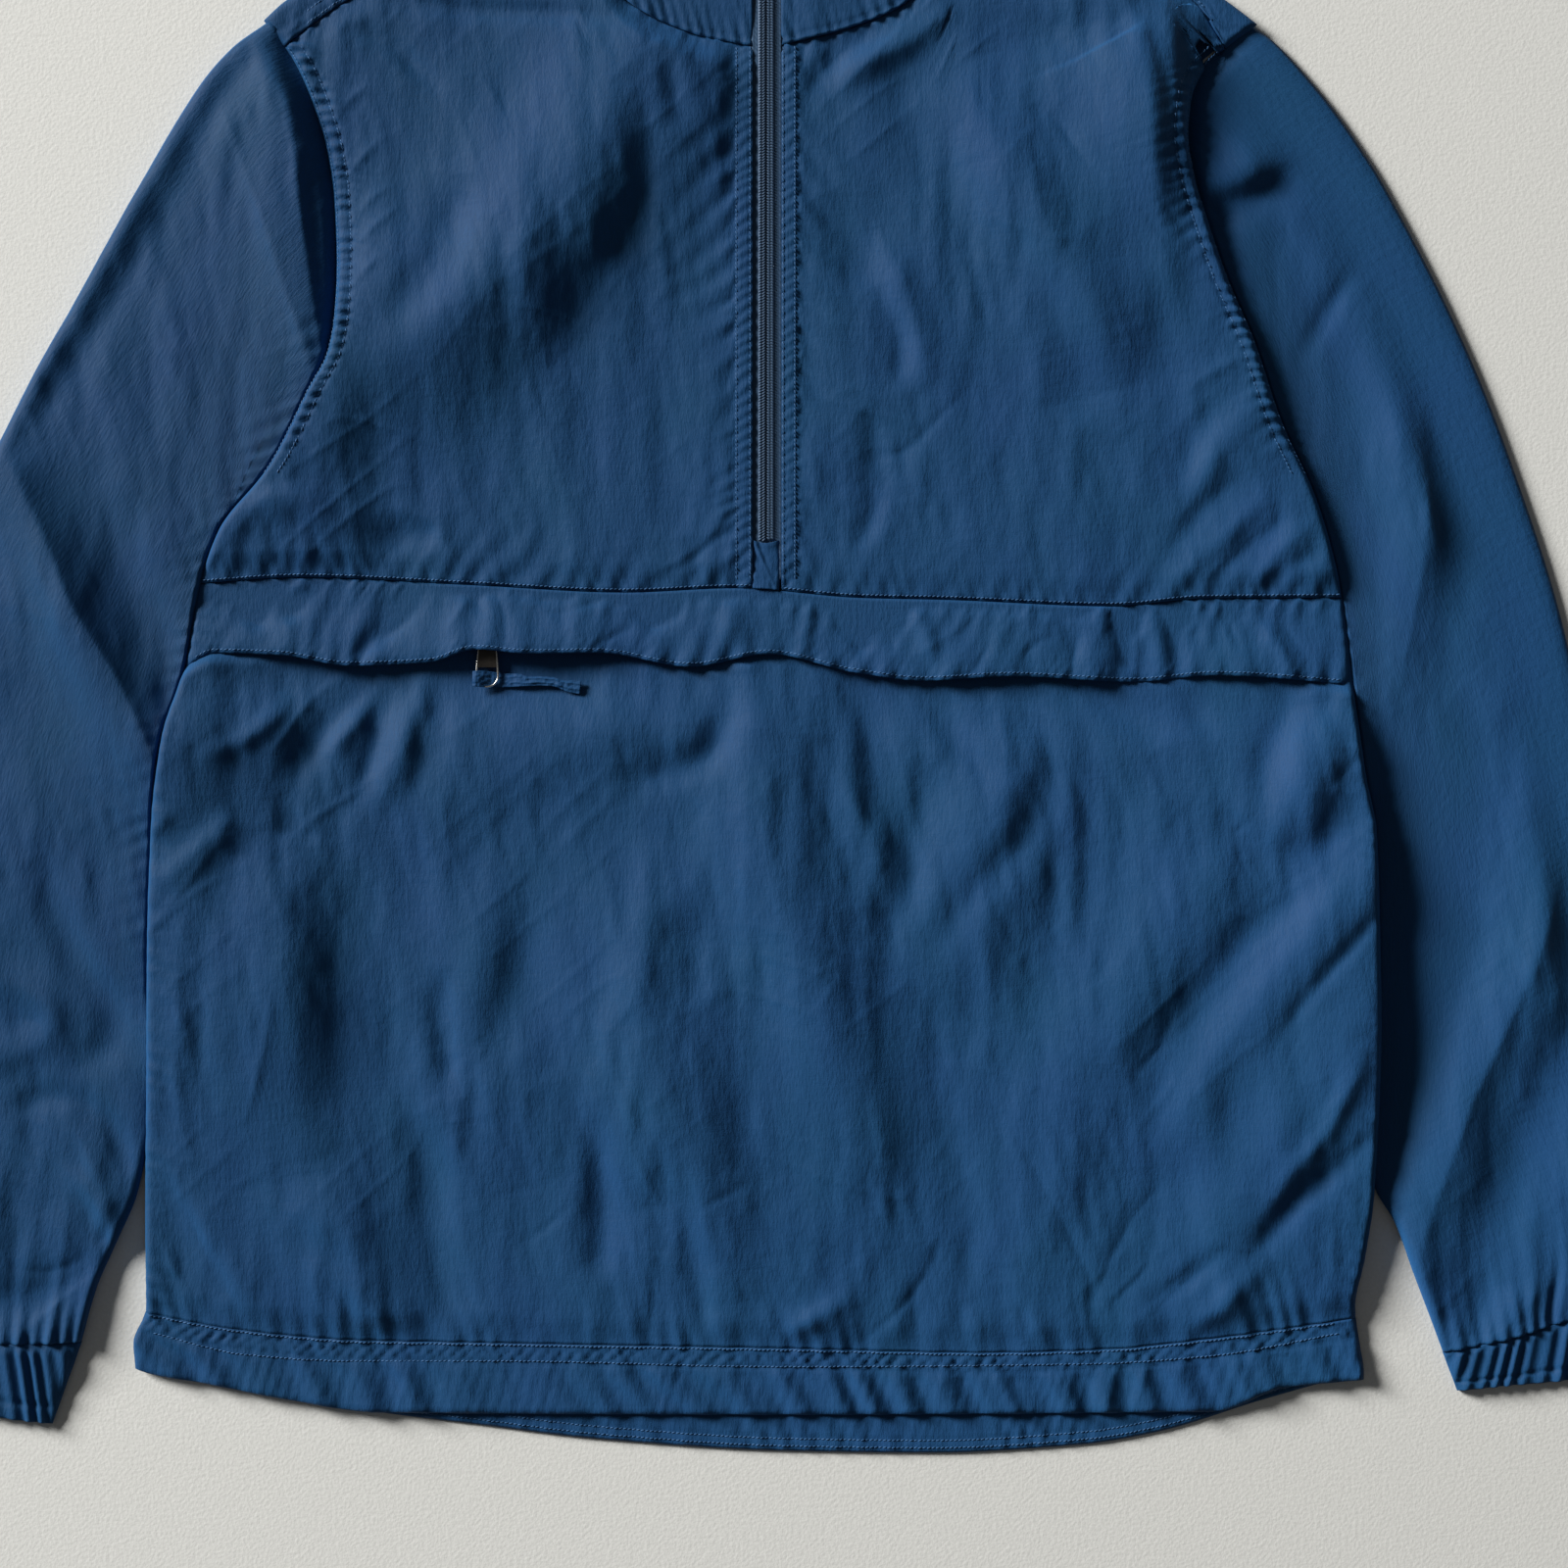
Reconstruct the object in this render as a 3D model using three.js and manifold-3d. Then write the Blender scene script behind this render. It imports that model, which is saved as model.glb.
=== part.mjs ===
// Anorak pullover with a half zip, laid flat on its back, sleeves drawn down beside the body.
// Millimetres. +X is the viewer's right, +Y is towards the collar, +Z is up from the surface.
// The origin is the middle of the whole outline, on the surface that the garment lies on.
import * as THREE from 'three';
import { mergeVertices } from 'three/addons/utils/BufferGeometryUtils.js';
import Module from 'manifold-3d';

// Cloth and gaps
const WALL = 1.2; // one layer of cloth with its air
const SEAM_GAP = 0.9; // between two pieces along a sewn seam
const LAYER_GAP = 0.35; // between two layers that lie on each other
const ARMHOLE_GAP = { left: 1.6, right: 1 }; // between the body's side and the sleeve beside it
const ROLL = 10; // how far in from a side the cloth takes to round up from its edge
const EDGE_TOP = 2.9; // height of a rounded side's rim

// Heights of the front where it is plain
const FRONT_LIE = 6; // the front's outer face between its folds
const FRONT_LOW = 3.1; // the lowest that any trough goes
const POCKET_LIE = 3; // the front's outer face under the pocket flap
const SEAM_LIE = 5; // the front's outer face at a cross seam
const HEM_LIE = 5.4; // the front hem's outer face, over the back hem
const CUFF_LIE = 6.2; // a cuff's upper face at its seam, and at its open end
const CUFF_END_LIE = 5.4;

// Hem, cuffs and collar
const HEM_BAND = 27; // depth of the back hem's elastic casing
const HEM_GATHER = { pitch: 14.5, height: 0.9 };
const HEM_STITCH = 0.3; // how far the folded back hem stands over the back
const CUFF_PLEAT = { pitch: 8, height: 1.1 };
const COLLAR_HEIGHT = 65;
const COLLAR_LEAN = 4; // how far each side of the collar comes in at its top
const BACK_NECK = 341.3; // the back half of the collar, from its seam to its top edge
const BACK_COLLAR_TOP = 402.7;

// Zips
const ZIP = { left: -5.5, right: 8, bottom: 29.5, tape: 0.6, coilWidth: 7.4, coilHeight: 1.2, middle: 0.6 };
const PATCH_TOP = 28.5; // cloth that closes the front below the zip
const POCKET_ZIP = {
  left: -138, right: 142, y: -13, tapeWidth: 12, coilWidth: 5, tape: 0.4, coilHeight: 0.8,
};
const PULL = { width: 8.8, foot: 11.4, thick: 1, pin: 0.5, length: 26 };
const SLIDER = { plate: 0.9, headroom: 2.1, bail: 1.4, gap: 0.25 };
const POCKET_PULL_X = -130;
const FLAP_ARCH = { reach: 34, height: 4.6 }; // the flap rises over the pocket zip's slider

// Side of the body and armhole, from the hem's corner up to the shoulder point
const LEFT_EDGE = [
  { x: -296, y: -357.5 }, { x: -297, y: -347 }, { x: -291, y: -330.5 }, { x: -291.5, y: -283.5 },
  { x: -290.5, y: -222 }, { x: -289.5, y: -154.5 }, { x: -287.5, y: -103 }, { x: -282, y: -61 },
  { x: -272.5, y: -29 }, { x: -266, y: 8 }, { x: -256.5, y: 35 },
  { x: -232, y: 66 }, { x: -214.5, y: 100 }, { x: -205, y: 118 }, { x: -202, y: 134 },
  { x: -201, y: 155 }, { x: -202.5, y: 192 }, { x: -206, y: 215 }, { x: -211.5, y: 233.5 },
  { x: -221, y: 255.5 }, { x: -235.5, y: 275 },
];
const RIGHT_EDGE = [
  { x: 282, y: -357.5 }, { x: 280, y: -347 }, { x: 278, y: -330.5 }, { x: 282.5, y: -307 },
  { x: 286.5, y: -277 }, { x: 289.5, y: -196.5 }, { x: 287.5, y: -107 }, { x: 282.5, y: -79.5 },
  { x: 277, y: -37.5 }, { x: 271, y: 8 }, { x: 264.5, y: 35 }, { x: 258, y: 54 },
  { x: 243.5, y: 85.5 }, { x: 230, y: 124.5 }, { x: 218, y: 152.5 }, { x: 209, y: 178 },
  { x: 202, y: 201 }, { x: 199, y: 219.5 }, { x: 201, y: 238 }, { x: 207, y: 252 },
  { x: 218, y: 263 }, { x: 232, y: 273 },
];

// Seams and free edges that cross the body, from the left side to the right
const CHEST_SEAM = [
  { x: -267, y: 10 }, { x: -218, y: 13 }, { x: -138, y: 9.5 }, { x: -65.5, y: 6 }, { x: -14, y: 8 },
  { x: 44.5, y: 3.5 }, { x: 86.5, y: 2.5 }, { x: 164, y: -0.5 }, { x: 206.5, y: 3 }, { x: 273.5, y: 3.5 },
];
const FLAP_EDGE = [
  { x: -273, y: -30 }, { x: -258, y: -22.5 }, { x: -227, y: -23.5 }, { x: -194.5, y: -28.5 },
  { x: -157, y: -27 }, { x: -135.5, y: -21 }, { x: -110, y: -23 }, { x: -77.5, y: -22.5 },
  { x: -34.5, y: -29 }, { x: 2, y: -23 }, { x: 41.5, y: -31.5 }, { x: 75, y: -35.5 },
  { x: 115, y: -33.5 }, { x: 173.5, y: -36 }, { x: 211, y: -33 }, { x: 279.5, y: -37.5 },
];
const HEM_SEAM = [
  { x: -294.5, y: -331.5 }, { x: -248.5, y: -340 }, { x: -194.5, y: -345 }, { x: -124, y: -346.5 },
  { x: 9, y: -349 }, { x: 103, y: -351 }, { x: 159.5, y: -349.5 }, { x: 209, y: -344.5 },
  { x: 280.5, y: -334.5 },
];
const HEM_EDGE = [
  { x: -299, y: -358 }, { x: -286, y: -362 }, { x: -265, y: -365.5 }, { x: -227, y: -373 },
  { x: -180.5, y: -379.5 }, { x: 9, y: -380.5 }, { x: 211.5, y: -379 }, { x: 244, y: -368 },
  { x: 283, y: -364 },
];
const BACK_HEM_EDGE = [
  { x: -294.5, y: -360 }, { x: -248.5, y: -368.5 }, { x: -180.5, y: -380 }, { x: -135.5, y: -385.5 },
  { x: -77.5, y: -392.5 }, { x: 9, y: -398 }, { x: 79.5, y: -399 }, { x: 150, y: -395 },
  { x: 185.5, y: -389 }, { x: 234.5, y: -374 }, { x: 280.5, y: -361 },
];
// Top of the back, over both shoulders and the back of the neck
const SHOULDER_LINE = [
  { x: -235.5, y: 275 }, { x: -225.5, y: 284 }, { x: -207, y: 295.5 }, { x: -175, y: 310 },
  { x: -138, y: 323.5 }, { x: -87.5, y: 341.5 }, { x: 87.5, y: 341.5 }, { x: 133.5, y: 324.5 },
  { x: 170, y: 309.5 }, { x: 200, y: 295.5 }, { x: 217.5, y: 284 }, { x: 232, y: 273 },
];
// Seam where the back comes over the shoulder and meets the front
const SHOULDER_SEAM_LEFT = [
  { x: -225.5, y: 262.5 }, { x: -218.5, y: 268 }, { x: -195.5, y: 284 }, { x: -161, y: 299 },
  { x: -129, y: 310.5 }, { x: -89.5, y: 326.5 },
];
const SHOULDER_SEAM_RIGHT = [
  { x: 89.5, y: 326.5 }, { x: 124, y: 315.5 }, { x: 156.5, y: 306 }, { x: 188.5, y: 293 },
  { x: 203.5, y: 282 }, { x: 216, y: 262 },
];
// Front neckline, from the side of the neck down to the zip
const NECK_LEFT = [
  { x: -89.5, y: 326.5 }, { x: -83, y: 308 }, { x: -65, y: 284 }, { x: -37, y: 269.5 },
  { x: -13.5, y: 264 }, { x: -5.5, y: 262.5 },
];
const NECK_RIGHT = [
  { x: 8, y: 263 }, { x: 14.5, y: 264.5 }, { x: 41.5, y: 271.5 }, { x: 68, y: 284 },
  { x: 84, y: 308 }, { x: 89.5, y: 326.5 },
];

// Sleeves: the outer edge from shoulder to cuff, and the inner edge where it leaves the body
const LEFT_SLEEVE_OUTER = [
  { x: -237.5, y: 275 }, { x: -251.5, y: 261 }, { x: -270, y: 238 }, { x: -297, y: 192 },
  { x: -322.5, y: 146 }, { x: -348, y: 100 }, { x: -379.5, y: 33.5 }, { x: -400, y: -15 },
  { x: -415, y: -65.5 }, { x: -425.5, y: -121 }, { x: -431, y: -176 }, { x: -432.5, y: -222 },
  { x: -430, y: -268 }, { x: -424.5, y: -309.5 }, { x: -416.5, y: -338 },
];
const LEFT_SLEEVE_INNER = [
  { x: -284, y: -235 }, { x: -290.5, y: -258 }, { x: -295.5, y: -278.5 }, { x: -302.5, y: -295 },
  { x: -314, y: -321 }, { x: -321, y: -346 },
];
const RIGHT_SLEEVE_OUTER = [
  { x: 234, y: 273 }, { x: 243, y: 262 }, { x: 264, y: 238 }, { x: 280.5, y: 215 }, { x: 294.5, y: 192 },
  { x: 318.5, y: 146 }, { x: 339, y: 100 }, { x: 356, y: 54 }, { x: 371, y: 8 }, { x: 382.5, y: -38 },
  { x: 393, y: -84 }, { x: 405, y: -139 }, { x: 416, y: -194.5 }, { x: 425, y: -245 },
  { x: 431.5, y: -286.5 }, { x: 430.5, y: -314 }, { x: 420.5, y: -333.5 },
];
const RIGHT_SLEEVE_INNER = [
  { x: 281, y: -255 }, { x: 287.5, y: -275 }, { x: 296.5, y: -290.5 }, { x: 305, y: -314 },
  { x: 314, y: -337.5 }, { x: 319, y: -351 },
];
// Where each sleeve stops following its armhole and starts down the body
const UNDERARM = { left: 68, right: 86 };
// Cuffs: the seam to the sleeve and the open end, both from the outer side to the inner
const LEFT_CUFF_SEAM = [
  { x: -416.5, y: -338 }, { x: -386.5, y: -344.5 }, { x: -355, y: -347 }, { x: -321, y: -346 },
];
const LEFT_CUFF_END = [
  { x: -410.5, y: -367.5 }, { x: -386.5, y: -375.5 }, { x: -359, y: -382 }, { x: -335, y: -385 },
];
const RIGHT_CUFF_SEAM = [
  { x: 420.5, y: -333.5 }, { x: 377, y: -336.5 }, { x: 349.5, y: -344.5 }, { x: 319, y: -351 },
];
const RIGHT_CUFF_END = [
  { x: 416, y: -360 }, { x: 377, y: -364.5 }, { x: 349.5, y: -367 }, { x: 326, y: -369.5 },
];

// Largest folds of the body, and where each lies. One runs from (x0, y0) to (x1, y1), its middle bowed to the left of that
// line. It adds height along the line, and fades within the reach given for each side.
const BODY_FOLDS = [
  { at: 'chest ridge', x0: -37, y0: 284, x1: -221, y1: 93, bow: 15.5, left: 52, right: 14, height: 13 },
  { at: 'left armhole', x0: -207, y0: 109, x1: -260, y1: 26, bow: 0, left: 28, right: 10, height: 5 },
  { at: 'armhole hollow', x0: -154, y0: 206, x1: -182, y1: 146, bow: 0, left: 13, right: 13, height: -3 },
  { at: 'left shoulder', x0: -152, y0: 242, x1: -200, y1: 196, bow: 0, left: 8, right: 10, height: 2.5 },
  { at: 'to the zip end', x0: -16, y0: 52, x1: -60, y1: 9, bow: 5.5, left: 7, right: 7, height: -2.5 },
  { at: 'left seam', x0: -244, y0: 8, x1: -207, y1: 45, bow: 0, left: 8, right: 10, height: 2.5 },
  { at: 'left middle seam', x0: -188, y0: 54, x1: -142, y1: 8, bow: 0, left: 12, right: 9, height: 3 },
  { at: 'under the ridge', x0: -211, y0: 77, x1: -119, y1: 118, bow: 0, left: 18, right: 18, height: -3 },
  { at: 'right armhole', x0: 181, y0: 284, x1: 194, y1: 201, bow: 2, left: 7, right: 50, height: 7 },
  { at: 'across the right', x0: 55, y0: 242, x1: 154, y1: 95, bow: 3.5, left: 20, right: 20, height: -3.5 },
  { at: 'right swell', x0: 106, y0: 233, x1: 175, y1: 100, bow: 0, left: 26, right: 26, height: 3 },
  { at: 'beside the zip', x0: 57, y0: 86, x1: 46, y1: 17, bow: 0, left: 10, right: 10, height: 3.5 },
  { at: 'short crease', x0: 46, y0: 64, x1: 101, y1: 95, bow: 0, left: 6, right: 7, height: -2 },
  { at: 'right seam 1', x0: 142, y0: 8, x1: 209, y1: 77, bow: 0, left: 10, right: 9, height: 3 },
  { at: 'right seam 2', x0: 184, y0: 8, x1: 239, y1: 77, bow: 0, left: 10, right: 9, height: 3 },
  { at: 'right seam 3', x0: 225, y0: 8, x1: 257, y1: 45, bow: 0, left: 8, right: 8, height: 2.5 },
  { at: 'far left ridge', x0: -227, y0: -98, x1: -221, y1: -282, bow: 0, left: 18, right: 23, height: 4 },
  { at: 'left hollow', x0: -198, y0: -111, x1: -197, y1: -236, bow: 0, left: 12, right: 10, height: -3.5 },
  { at: 'left ridge', x0: -170, y0: -107, x1: -175, y1: -291, bow: 0, left: 14, right: 17, height: 4 },
  { at: 'left hem hollow', x0: -152, y0: -213, x1: -156, y1: -314, bow: 0, left: 10, right: 10, height: -3 },
  { at: 'rising ridge', x0: -184, y0: -121, x1: -18, y1: -58, bow: 6.5, left: 18, right: 25, height: 4.5 },
  { at: 'left of middle', x0: -101, y0: -144, x1: -78, y1: -323, bow: 0, left: 15, right: 15, height: -3 },
  { at: 'middle ridge', x0: 0, y0: -38, x1: 4, y1: -213, bow: -4.5, left: 23, right: 14, height: 5 },
  { at: 'right of middle', x0: 23, y0: -121, x1: 51, y1: -332, bow: 0, left: 11, right: 18, height: -4 },
  { at: 'right ridge', x0: 69, y0: -323, x1: 152, y1: -167, bow: 5.5, left: 15, right: 18, height: 4.5 },
  { at: 'to the right side', x0: 152, y0: -203, x1: 285, y1: -102, bow: 0, left: 20, right: 18, height: 4.5 },
  { at: 'right hollow', x0: 161, y0: -318, x1: 244, y1: -208, bow: 0, left: 12, right: 12, height: -3 },
  { at: 'right hem ridge', x0: 216, y0: -328, x1: 287, y1: -213, bow: 0, left: 11, right: 15, height: 5 },
  { at: 'hem ridge', x0: -290, y0: -252, x1: -216, y1: -332, bow: -3.5, left: 9, right: 10, height: 4.5 },
  { at: 'left side', x0: -273, y0: -130, x1: -274, y1: -259, bow: 0, left: 14, right: 8, height: 4 },
  { at: 'under the flap 1', x0: -260, y0: -84, x1: -207, y1: -36, bow: 0, left: 9, right: 12, height: 3.5 },
  { at: 'under the flap 2', x0: -244, y0: -111, x1: -165, y1: -38, bow: 0, left: 9, right: 12, height: 3 },
  { at: 'lower right swell', x0: 216, y0: -52, x1: 253, y1: -130, bow: 0, left: 18, right: 18, height: 3 },
];
const SLEEVE_FOLDS = [
  { at: 'left shoulder', x0: -238, y0: 252, x1: -208, y1: 104, bow: 0, left: 7, right: 14, height: 6 },
  { at: 'left outer edge', x0: -267, y0: 233, x1: -354, y1: 68, bow: 4.5, left: 10, right: 14, height: -2.5 },
  { at: 'left elbow', x0: -352, y0: 61, x1: -285, y1: -84, bow: -5, left: 20, right: 9, height: 5 },
  { at: 'left forearm 1', x0: -414, y0: -130, x1: -299, y1: -213, bow: 0, left: 18, right: 14, height: 4 },
  { at: 'left forearm 2', x0: -423, y0: -213, x1: -299, y1: -249, bow: 0, left: 11, right: 11, height: 3 },
  { at: 'left cuff fold', x0: -386, y0: -309, x1: -305, y1: -268, bow: 0, left: 11, right: 11, height: 3.5 },
  { at: 'left upper arm', x0: -290, y0: 146, x1: -331, y1: -38, bow: 0, left: 28, right: 28, height: 3 },
  { at: 'right armhole', x0: 209, y0: 196, x1: 267, y1: 219, bow: 3.5, left: 18, right: 7, height: 6 },
  { at: 'upper arm crease', x0: 290, y0: 171, x1: 257, y1: 125, bow: 0, left: 8, right: 8, height: -2.5 },
  { at: 'right arm', x0: 294, y0: 150, x1: 303, y1: -75, bow: 0, left: 20, right: 18, height: 6 },
  { at: 'right outer hollow', x0: 317, y0: 114, x1: 336, y1: 45, bow: 0, left: 9, right: 9, height: -2.5 },
  { at: 'right elbow', x0: 377, y0: -19, x1: 294, y1: -93, bow: 0, left: 14, right: 14, height: 3 },
  { at: 'forearm hollow', x0: 382, y0: -121, x1: 317, y1: -268, bow: 0, left: 18, right: 18, height: -2.5 },
  { at: 'right forearm', x0: 305, y0: -203, x1: 324, y1: -314, bow: 0, left: 18, right: 12, height: 5 },
  { at: 'right cuff fold', x0: 359, y0: -332, x1: 414, y1: -231, bow: 0, left: 12, right: 12, height: 3.5 },
];

// Colours and finishes
const CLOTH = { color: 0x1f3d63, roughness: 0.7, metalness: 0 };
const TAPE = { color: 0x35506f, roughness: 0.8, metalness: 0 };
const COIL = { color: 0x4b627c, roughness: 0.45, metalness: 0 };
const METAL = { color: 0x55565a, roughness: 0.35, metalness: 0.9 };

const garment = new THREE.Group();

function add(name, geometry, finish) {
  const mesh = new THREE.Mesh(geometry, new THREE.MeshStandardMaterial(finish));
  mesh.name = name;
  garment.add(mesh);
  return mesh;
}

const lerp = THREE.MathUtils.lerp;
const smooth = (t) => THREE.MathUtils.smoothstep(t, 0, 1);

// A list of shares from 0 to 1 in even steps, with closer ones at an end whose cloth rounds over.
function shares(count, closeStart, closeEnd) {
  const even = Array.from({ length: count + 1 }, (_, i) => i / count);
  const start = closeStart ? [0.12 / count, 0.45 / count] : [];
  const end = closeEnd ? [1 - 0.45 / count, 1 - 0.12 / count] : [];
  return [...even, ...start, ...end].sort((a, b) => a - b);
}

// A smooth line through a table's rows, read along one column and giving the other. It never
// swings past the rows, and keeps its end value beyond them.
function through(rows, from, to) {
  const sorted = [...rows].sort((a, b) => a[from] - b[from]);
  const steps = sorted.slice(1).map((row, i) => row[from] - sorted[i][from]);
  const rises = steps.map((step, i) => (sorted[i + 1][to] - sorted[i][to]) / step);
  const tangents = sorted.map((_, i) => {
    if (i === 0 || i === steps.length) return rises[Math.min(i, steps.length - 1)];
    const product = rises[i - 1] * rises[i];
    return product <= 0 ? 0 : (2 * product) / (rises[i - 1] + rises[i]);
  });
  return (value) => {
    if (value <= sorted[0][from]) return sorted[0][to];
    if (value >= sorted.at(-1)[from]) return sorted.at(-1)[to];
    const i = sorted.findIndex((row) => row[from] > value) - 1;
    const t = (value - sorted[i][from]) / steps[i];
    const a = sorted[i][to] * (1 + 2 * t) * (1 - t) ** 2 + sorted[i + 1][to] * t * t * (3 - 2 * t);
    return a + steps[i] * (tangents[i] * t * (1 - t) ** 2 - tangents[i + 1] * t * t * (1 - t));
  };
}

const leftEdge = through(LEFT_EDGE, 'y', 'x');
const rightEdge = through(RIGHT_EDGE, 'y', 'x');
const chestSeam = through(CHEST_SEAM, 'x', 'y');
const flapEdge = through(FLAP_EDGE, 'x', 'y');
const hemSeam = through(HEM_SEAM, 'x', 'y');
const hemEdge = through(HEM_EDGE, 'x', 'y');
const backHemEdge = through(BACK_HEM_EDGE, 'x', 'y');
const backHemSeam = (x) => backHemEdge(x) + HEM_BAND;
const shoulderLine = through(SHOULDER_LINE, 'x', 'y');
const frontTopLeft = through([...SHOULDER_SEAM_LEFT, ...NECK_LEFT.slice(1)], 'x', 'y');
const frontTopRight = through([...NECK_RIGHT, ...SHOULDER_SEAM_RIGHT.slice(1)], 'x', 'y');

// Height that one fold adds at a point.
function foldHeight(fold, x, y) {
  const run = { x: fold.x1 - fold.x0, y: fold.y1 - fold.y0 };
  const length = Math.hypot(run.x, run.y);
  const along = ((x - fold.x0) * run.x + (y - fold.y0) * run.y) / length ** 2;
  if (along <= -0.15 || along >= 1.15) return 0;
  const bowed = fold.bow * 4 * along * (1 - along);
  const across = ((y - fold.y0) * run.x - (x - fold.x0) * run.y) / length - bowed; // left is positive
  const reach = across > 0 ? fold.left : fold.right;
  const fade = smooth((along + 0.15) / 0.4) * smooth((1.15 - along) / 0.4);
  return fold.height * fade * Math.exp(-((across / reach) ** 2));
}
const foldsAt = (folds, x, y) => folds.reduce((sum, fold) => sum + foldHeight(fold, x, y), 0);

// Outer face of the chest: flat beside the zip and along its seams, folded between them.
function chestHeight(x, y) {
  const topSeam = x < ZIP.middle ? frontTopLeft(x) : frontTopRight(x);
  const fromZip = Math.abs(x - ZIP.middle) - (ZIP.right - ZIP.left) / 2;
  const fromSeam = Math.min(y - chestSeam(x), topSeam - y);
  const calm = smooth(fromZip / 26) * smooth((fromSeam - 3) / 20);
  const lie = lerp(SEAM_LIE, FRONT_LIE, smooth(fromSeam / 14));
  return Math.max(FRONT_LOW, lie + calm * foldsAt(BODY_FOLDS, x, y));
}

// Outer face of the lower front: level under the flap, folded below it, drawn down to the hem.
function lowerHeight(x, y) {
  const belowFlap = flapEdge(x) - y;
  const aboveHem = y - hemSeam(x);
  const lie = lerp(POCKET_LIE, FRONT_LIE, smooth(belowFlap / 26));
  const calm = smooth(belowFlap / 20) * smooth((aboveHem + 6) / 24);
  const level = lie + calm * foldsAt(BODY_FOLDS, x, y);
  return belowFlap <= 0 ? POCKET_LIE : Math.max(POCKET_LIE, level);
}

const sleeveHeight = (x, y) => Math.max(FRONT_LOW + 1, FRONT_LIE + foldsAt(SLEEVE_FOLDS, x, y));

// Closed wall between an outer and an inner grid of points, rows of equal length. A ring's rows
// close on themselves, and its two ends stay open.
function wall(outer, inner, ring = false) {
  const rowCount = outer.length;
  const columnCount = outer[0].length;
  const at = (face, row, column) => (face * rowCount + row) * columnCount + (column % columnCount);
  const faces = [];
  const quad = (a, b, c, d) => faces.push(a, b, c, a, c, d);
  const spans = ring ? columnCount : columnCount - 1;
  const lastRow = rowCount - 1;
  const lastColumn = columnCount - 1;
  for (let row = 0; row < lastRow; row += 1) {
    for (let column = 0; column < spans; column += 1) {
      quad(at(0, row, column), at(0, row, column + 1), at(0, row + 1, column + 1), at(0, row + 1, column));
      quad(at(1, row, column), at(1, row + 1, column), at(1, row + 1, column + 1), at(1, row, column + 1));
    }
    if (ring) continue;
    const next = row + 1;
    quad(at(0, row, 0), at(0, next, 0), at(1, next, 0), at(1, row, 0));
    quad(at(0, row, lastColumn), at(1, row, lastColumn), at(1, next, lastColumn), at(0, next, lastColumn));
  }
  for (let column = 0; column < spans; column += 1) {
    const next = column + 1;
    quad(at(0, 0, column), at(1, 0, column), at(1, 0, next), at(0, 0, next));
    quad(at(0, lastRow, column), at(0, lastRow, next), at(1, lastRow, next), at(1, lastRow, column));
  }
  return solid([...outer.flat(), ...inner.flat()], faces);
}

// Geometry of a closed body, turned so that its faces point out.
function solid(points, faces) {
  let volume = 0;
  const side = new THREE.Vector3();
  for (let i = 0; i < faces.length; i += 3) {
    const [a, b, c] = [points[faces[i]], points[faces[i + 1]], points[faces[i + 2]]];
    volume += side.crossVectors(a, b).dot(c);
  }
  const geometry = new THREE.BufferGeometry().setFromPoints(points);
  geometry.setIndex(volume < 0 ? [...faces].reverse() : faces);
  geometry.computeVertexNormals();
  return geometry;
}

// Plan point of a panel between a left and a right side, each an x for a y, and a low and a high
// edge, each a y for an x.
function planPoint(sides, u, v) {
  let y = (sides.low(0) + sides.high(0)) / 2;
  let x = 0;
  for (let pass = 0; pass < 30; pass += 1) {
    x = lerp(sides.left(y), sides.right(y), u);
    y = lerp(sides.low(x), sides.high(x), v);
  }
  return { x, y };
}

// How far the cloth has rounded up at a distance in from its side, from 0 at the rim to 1.
const rounded = (inward) => Math.sqrt(1 - (1 - THREE.MathUtils.clamp(inward / ROLL, 0, 1)) ** 2);

// Steepness of a height function, as the length of its slope beside 1 of plan.
function slant(height, x, y) {
  const step = 2;
  const gx = (height(x + step, y) - height(x - step, y)) / (2 * step);
  const gy = (height(x, y + step) - height(x, y - step)) / (2 * step);
  return Math.min(Math.hypot(1, gx, gy), 1.35);
}

// Outer points of a panel, whose sides round down where the panel says so.
function panelFace(panel) {
  return panel.rows.map((v) => panel.columns.map((u) => {
    const { x, y } = planPoint(panel, u, v);
    const leftIn = panel.roundLeft ? x - panel.left(y) : ROLL;
    const rightIn = panel.roundRight ? panel.right(y) - x : ROLL;
    const share = rounded(Math.min(leftIn, rightIn));
    return new THREE.Vector3(x, y, lerp(EDGE_TOP, panel.height(x, y), share));
  }));
}

// The same points on the inner face, a wall lower and never under the floor given.
function innerFace(face, height, floor) {
  return face.map((row) => row.map((p) => {
    const under = p.z - WALL * slant(height, p.x, p.y);
    return new THREE.Vector3(p.x, p.y, Math.max(under, floor));
  }));
}

const BACK_TOP = WALL;
const FRONT_FLOOR = BACK_TOP + LAYER_GAP;

function frontPanel(name, panel) {
  const face = panelFace(panel);
  add(name, wall(face, innerFace(face, panel.height, FRONT_FLOOR)), CLOTH);
}

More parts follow.
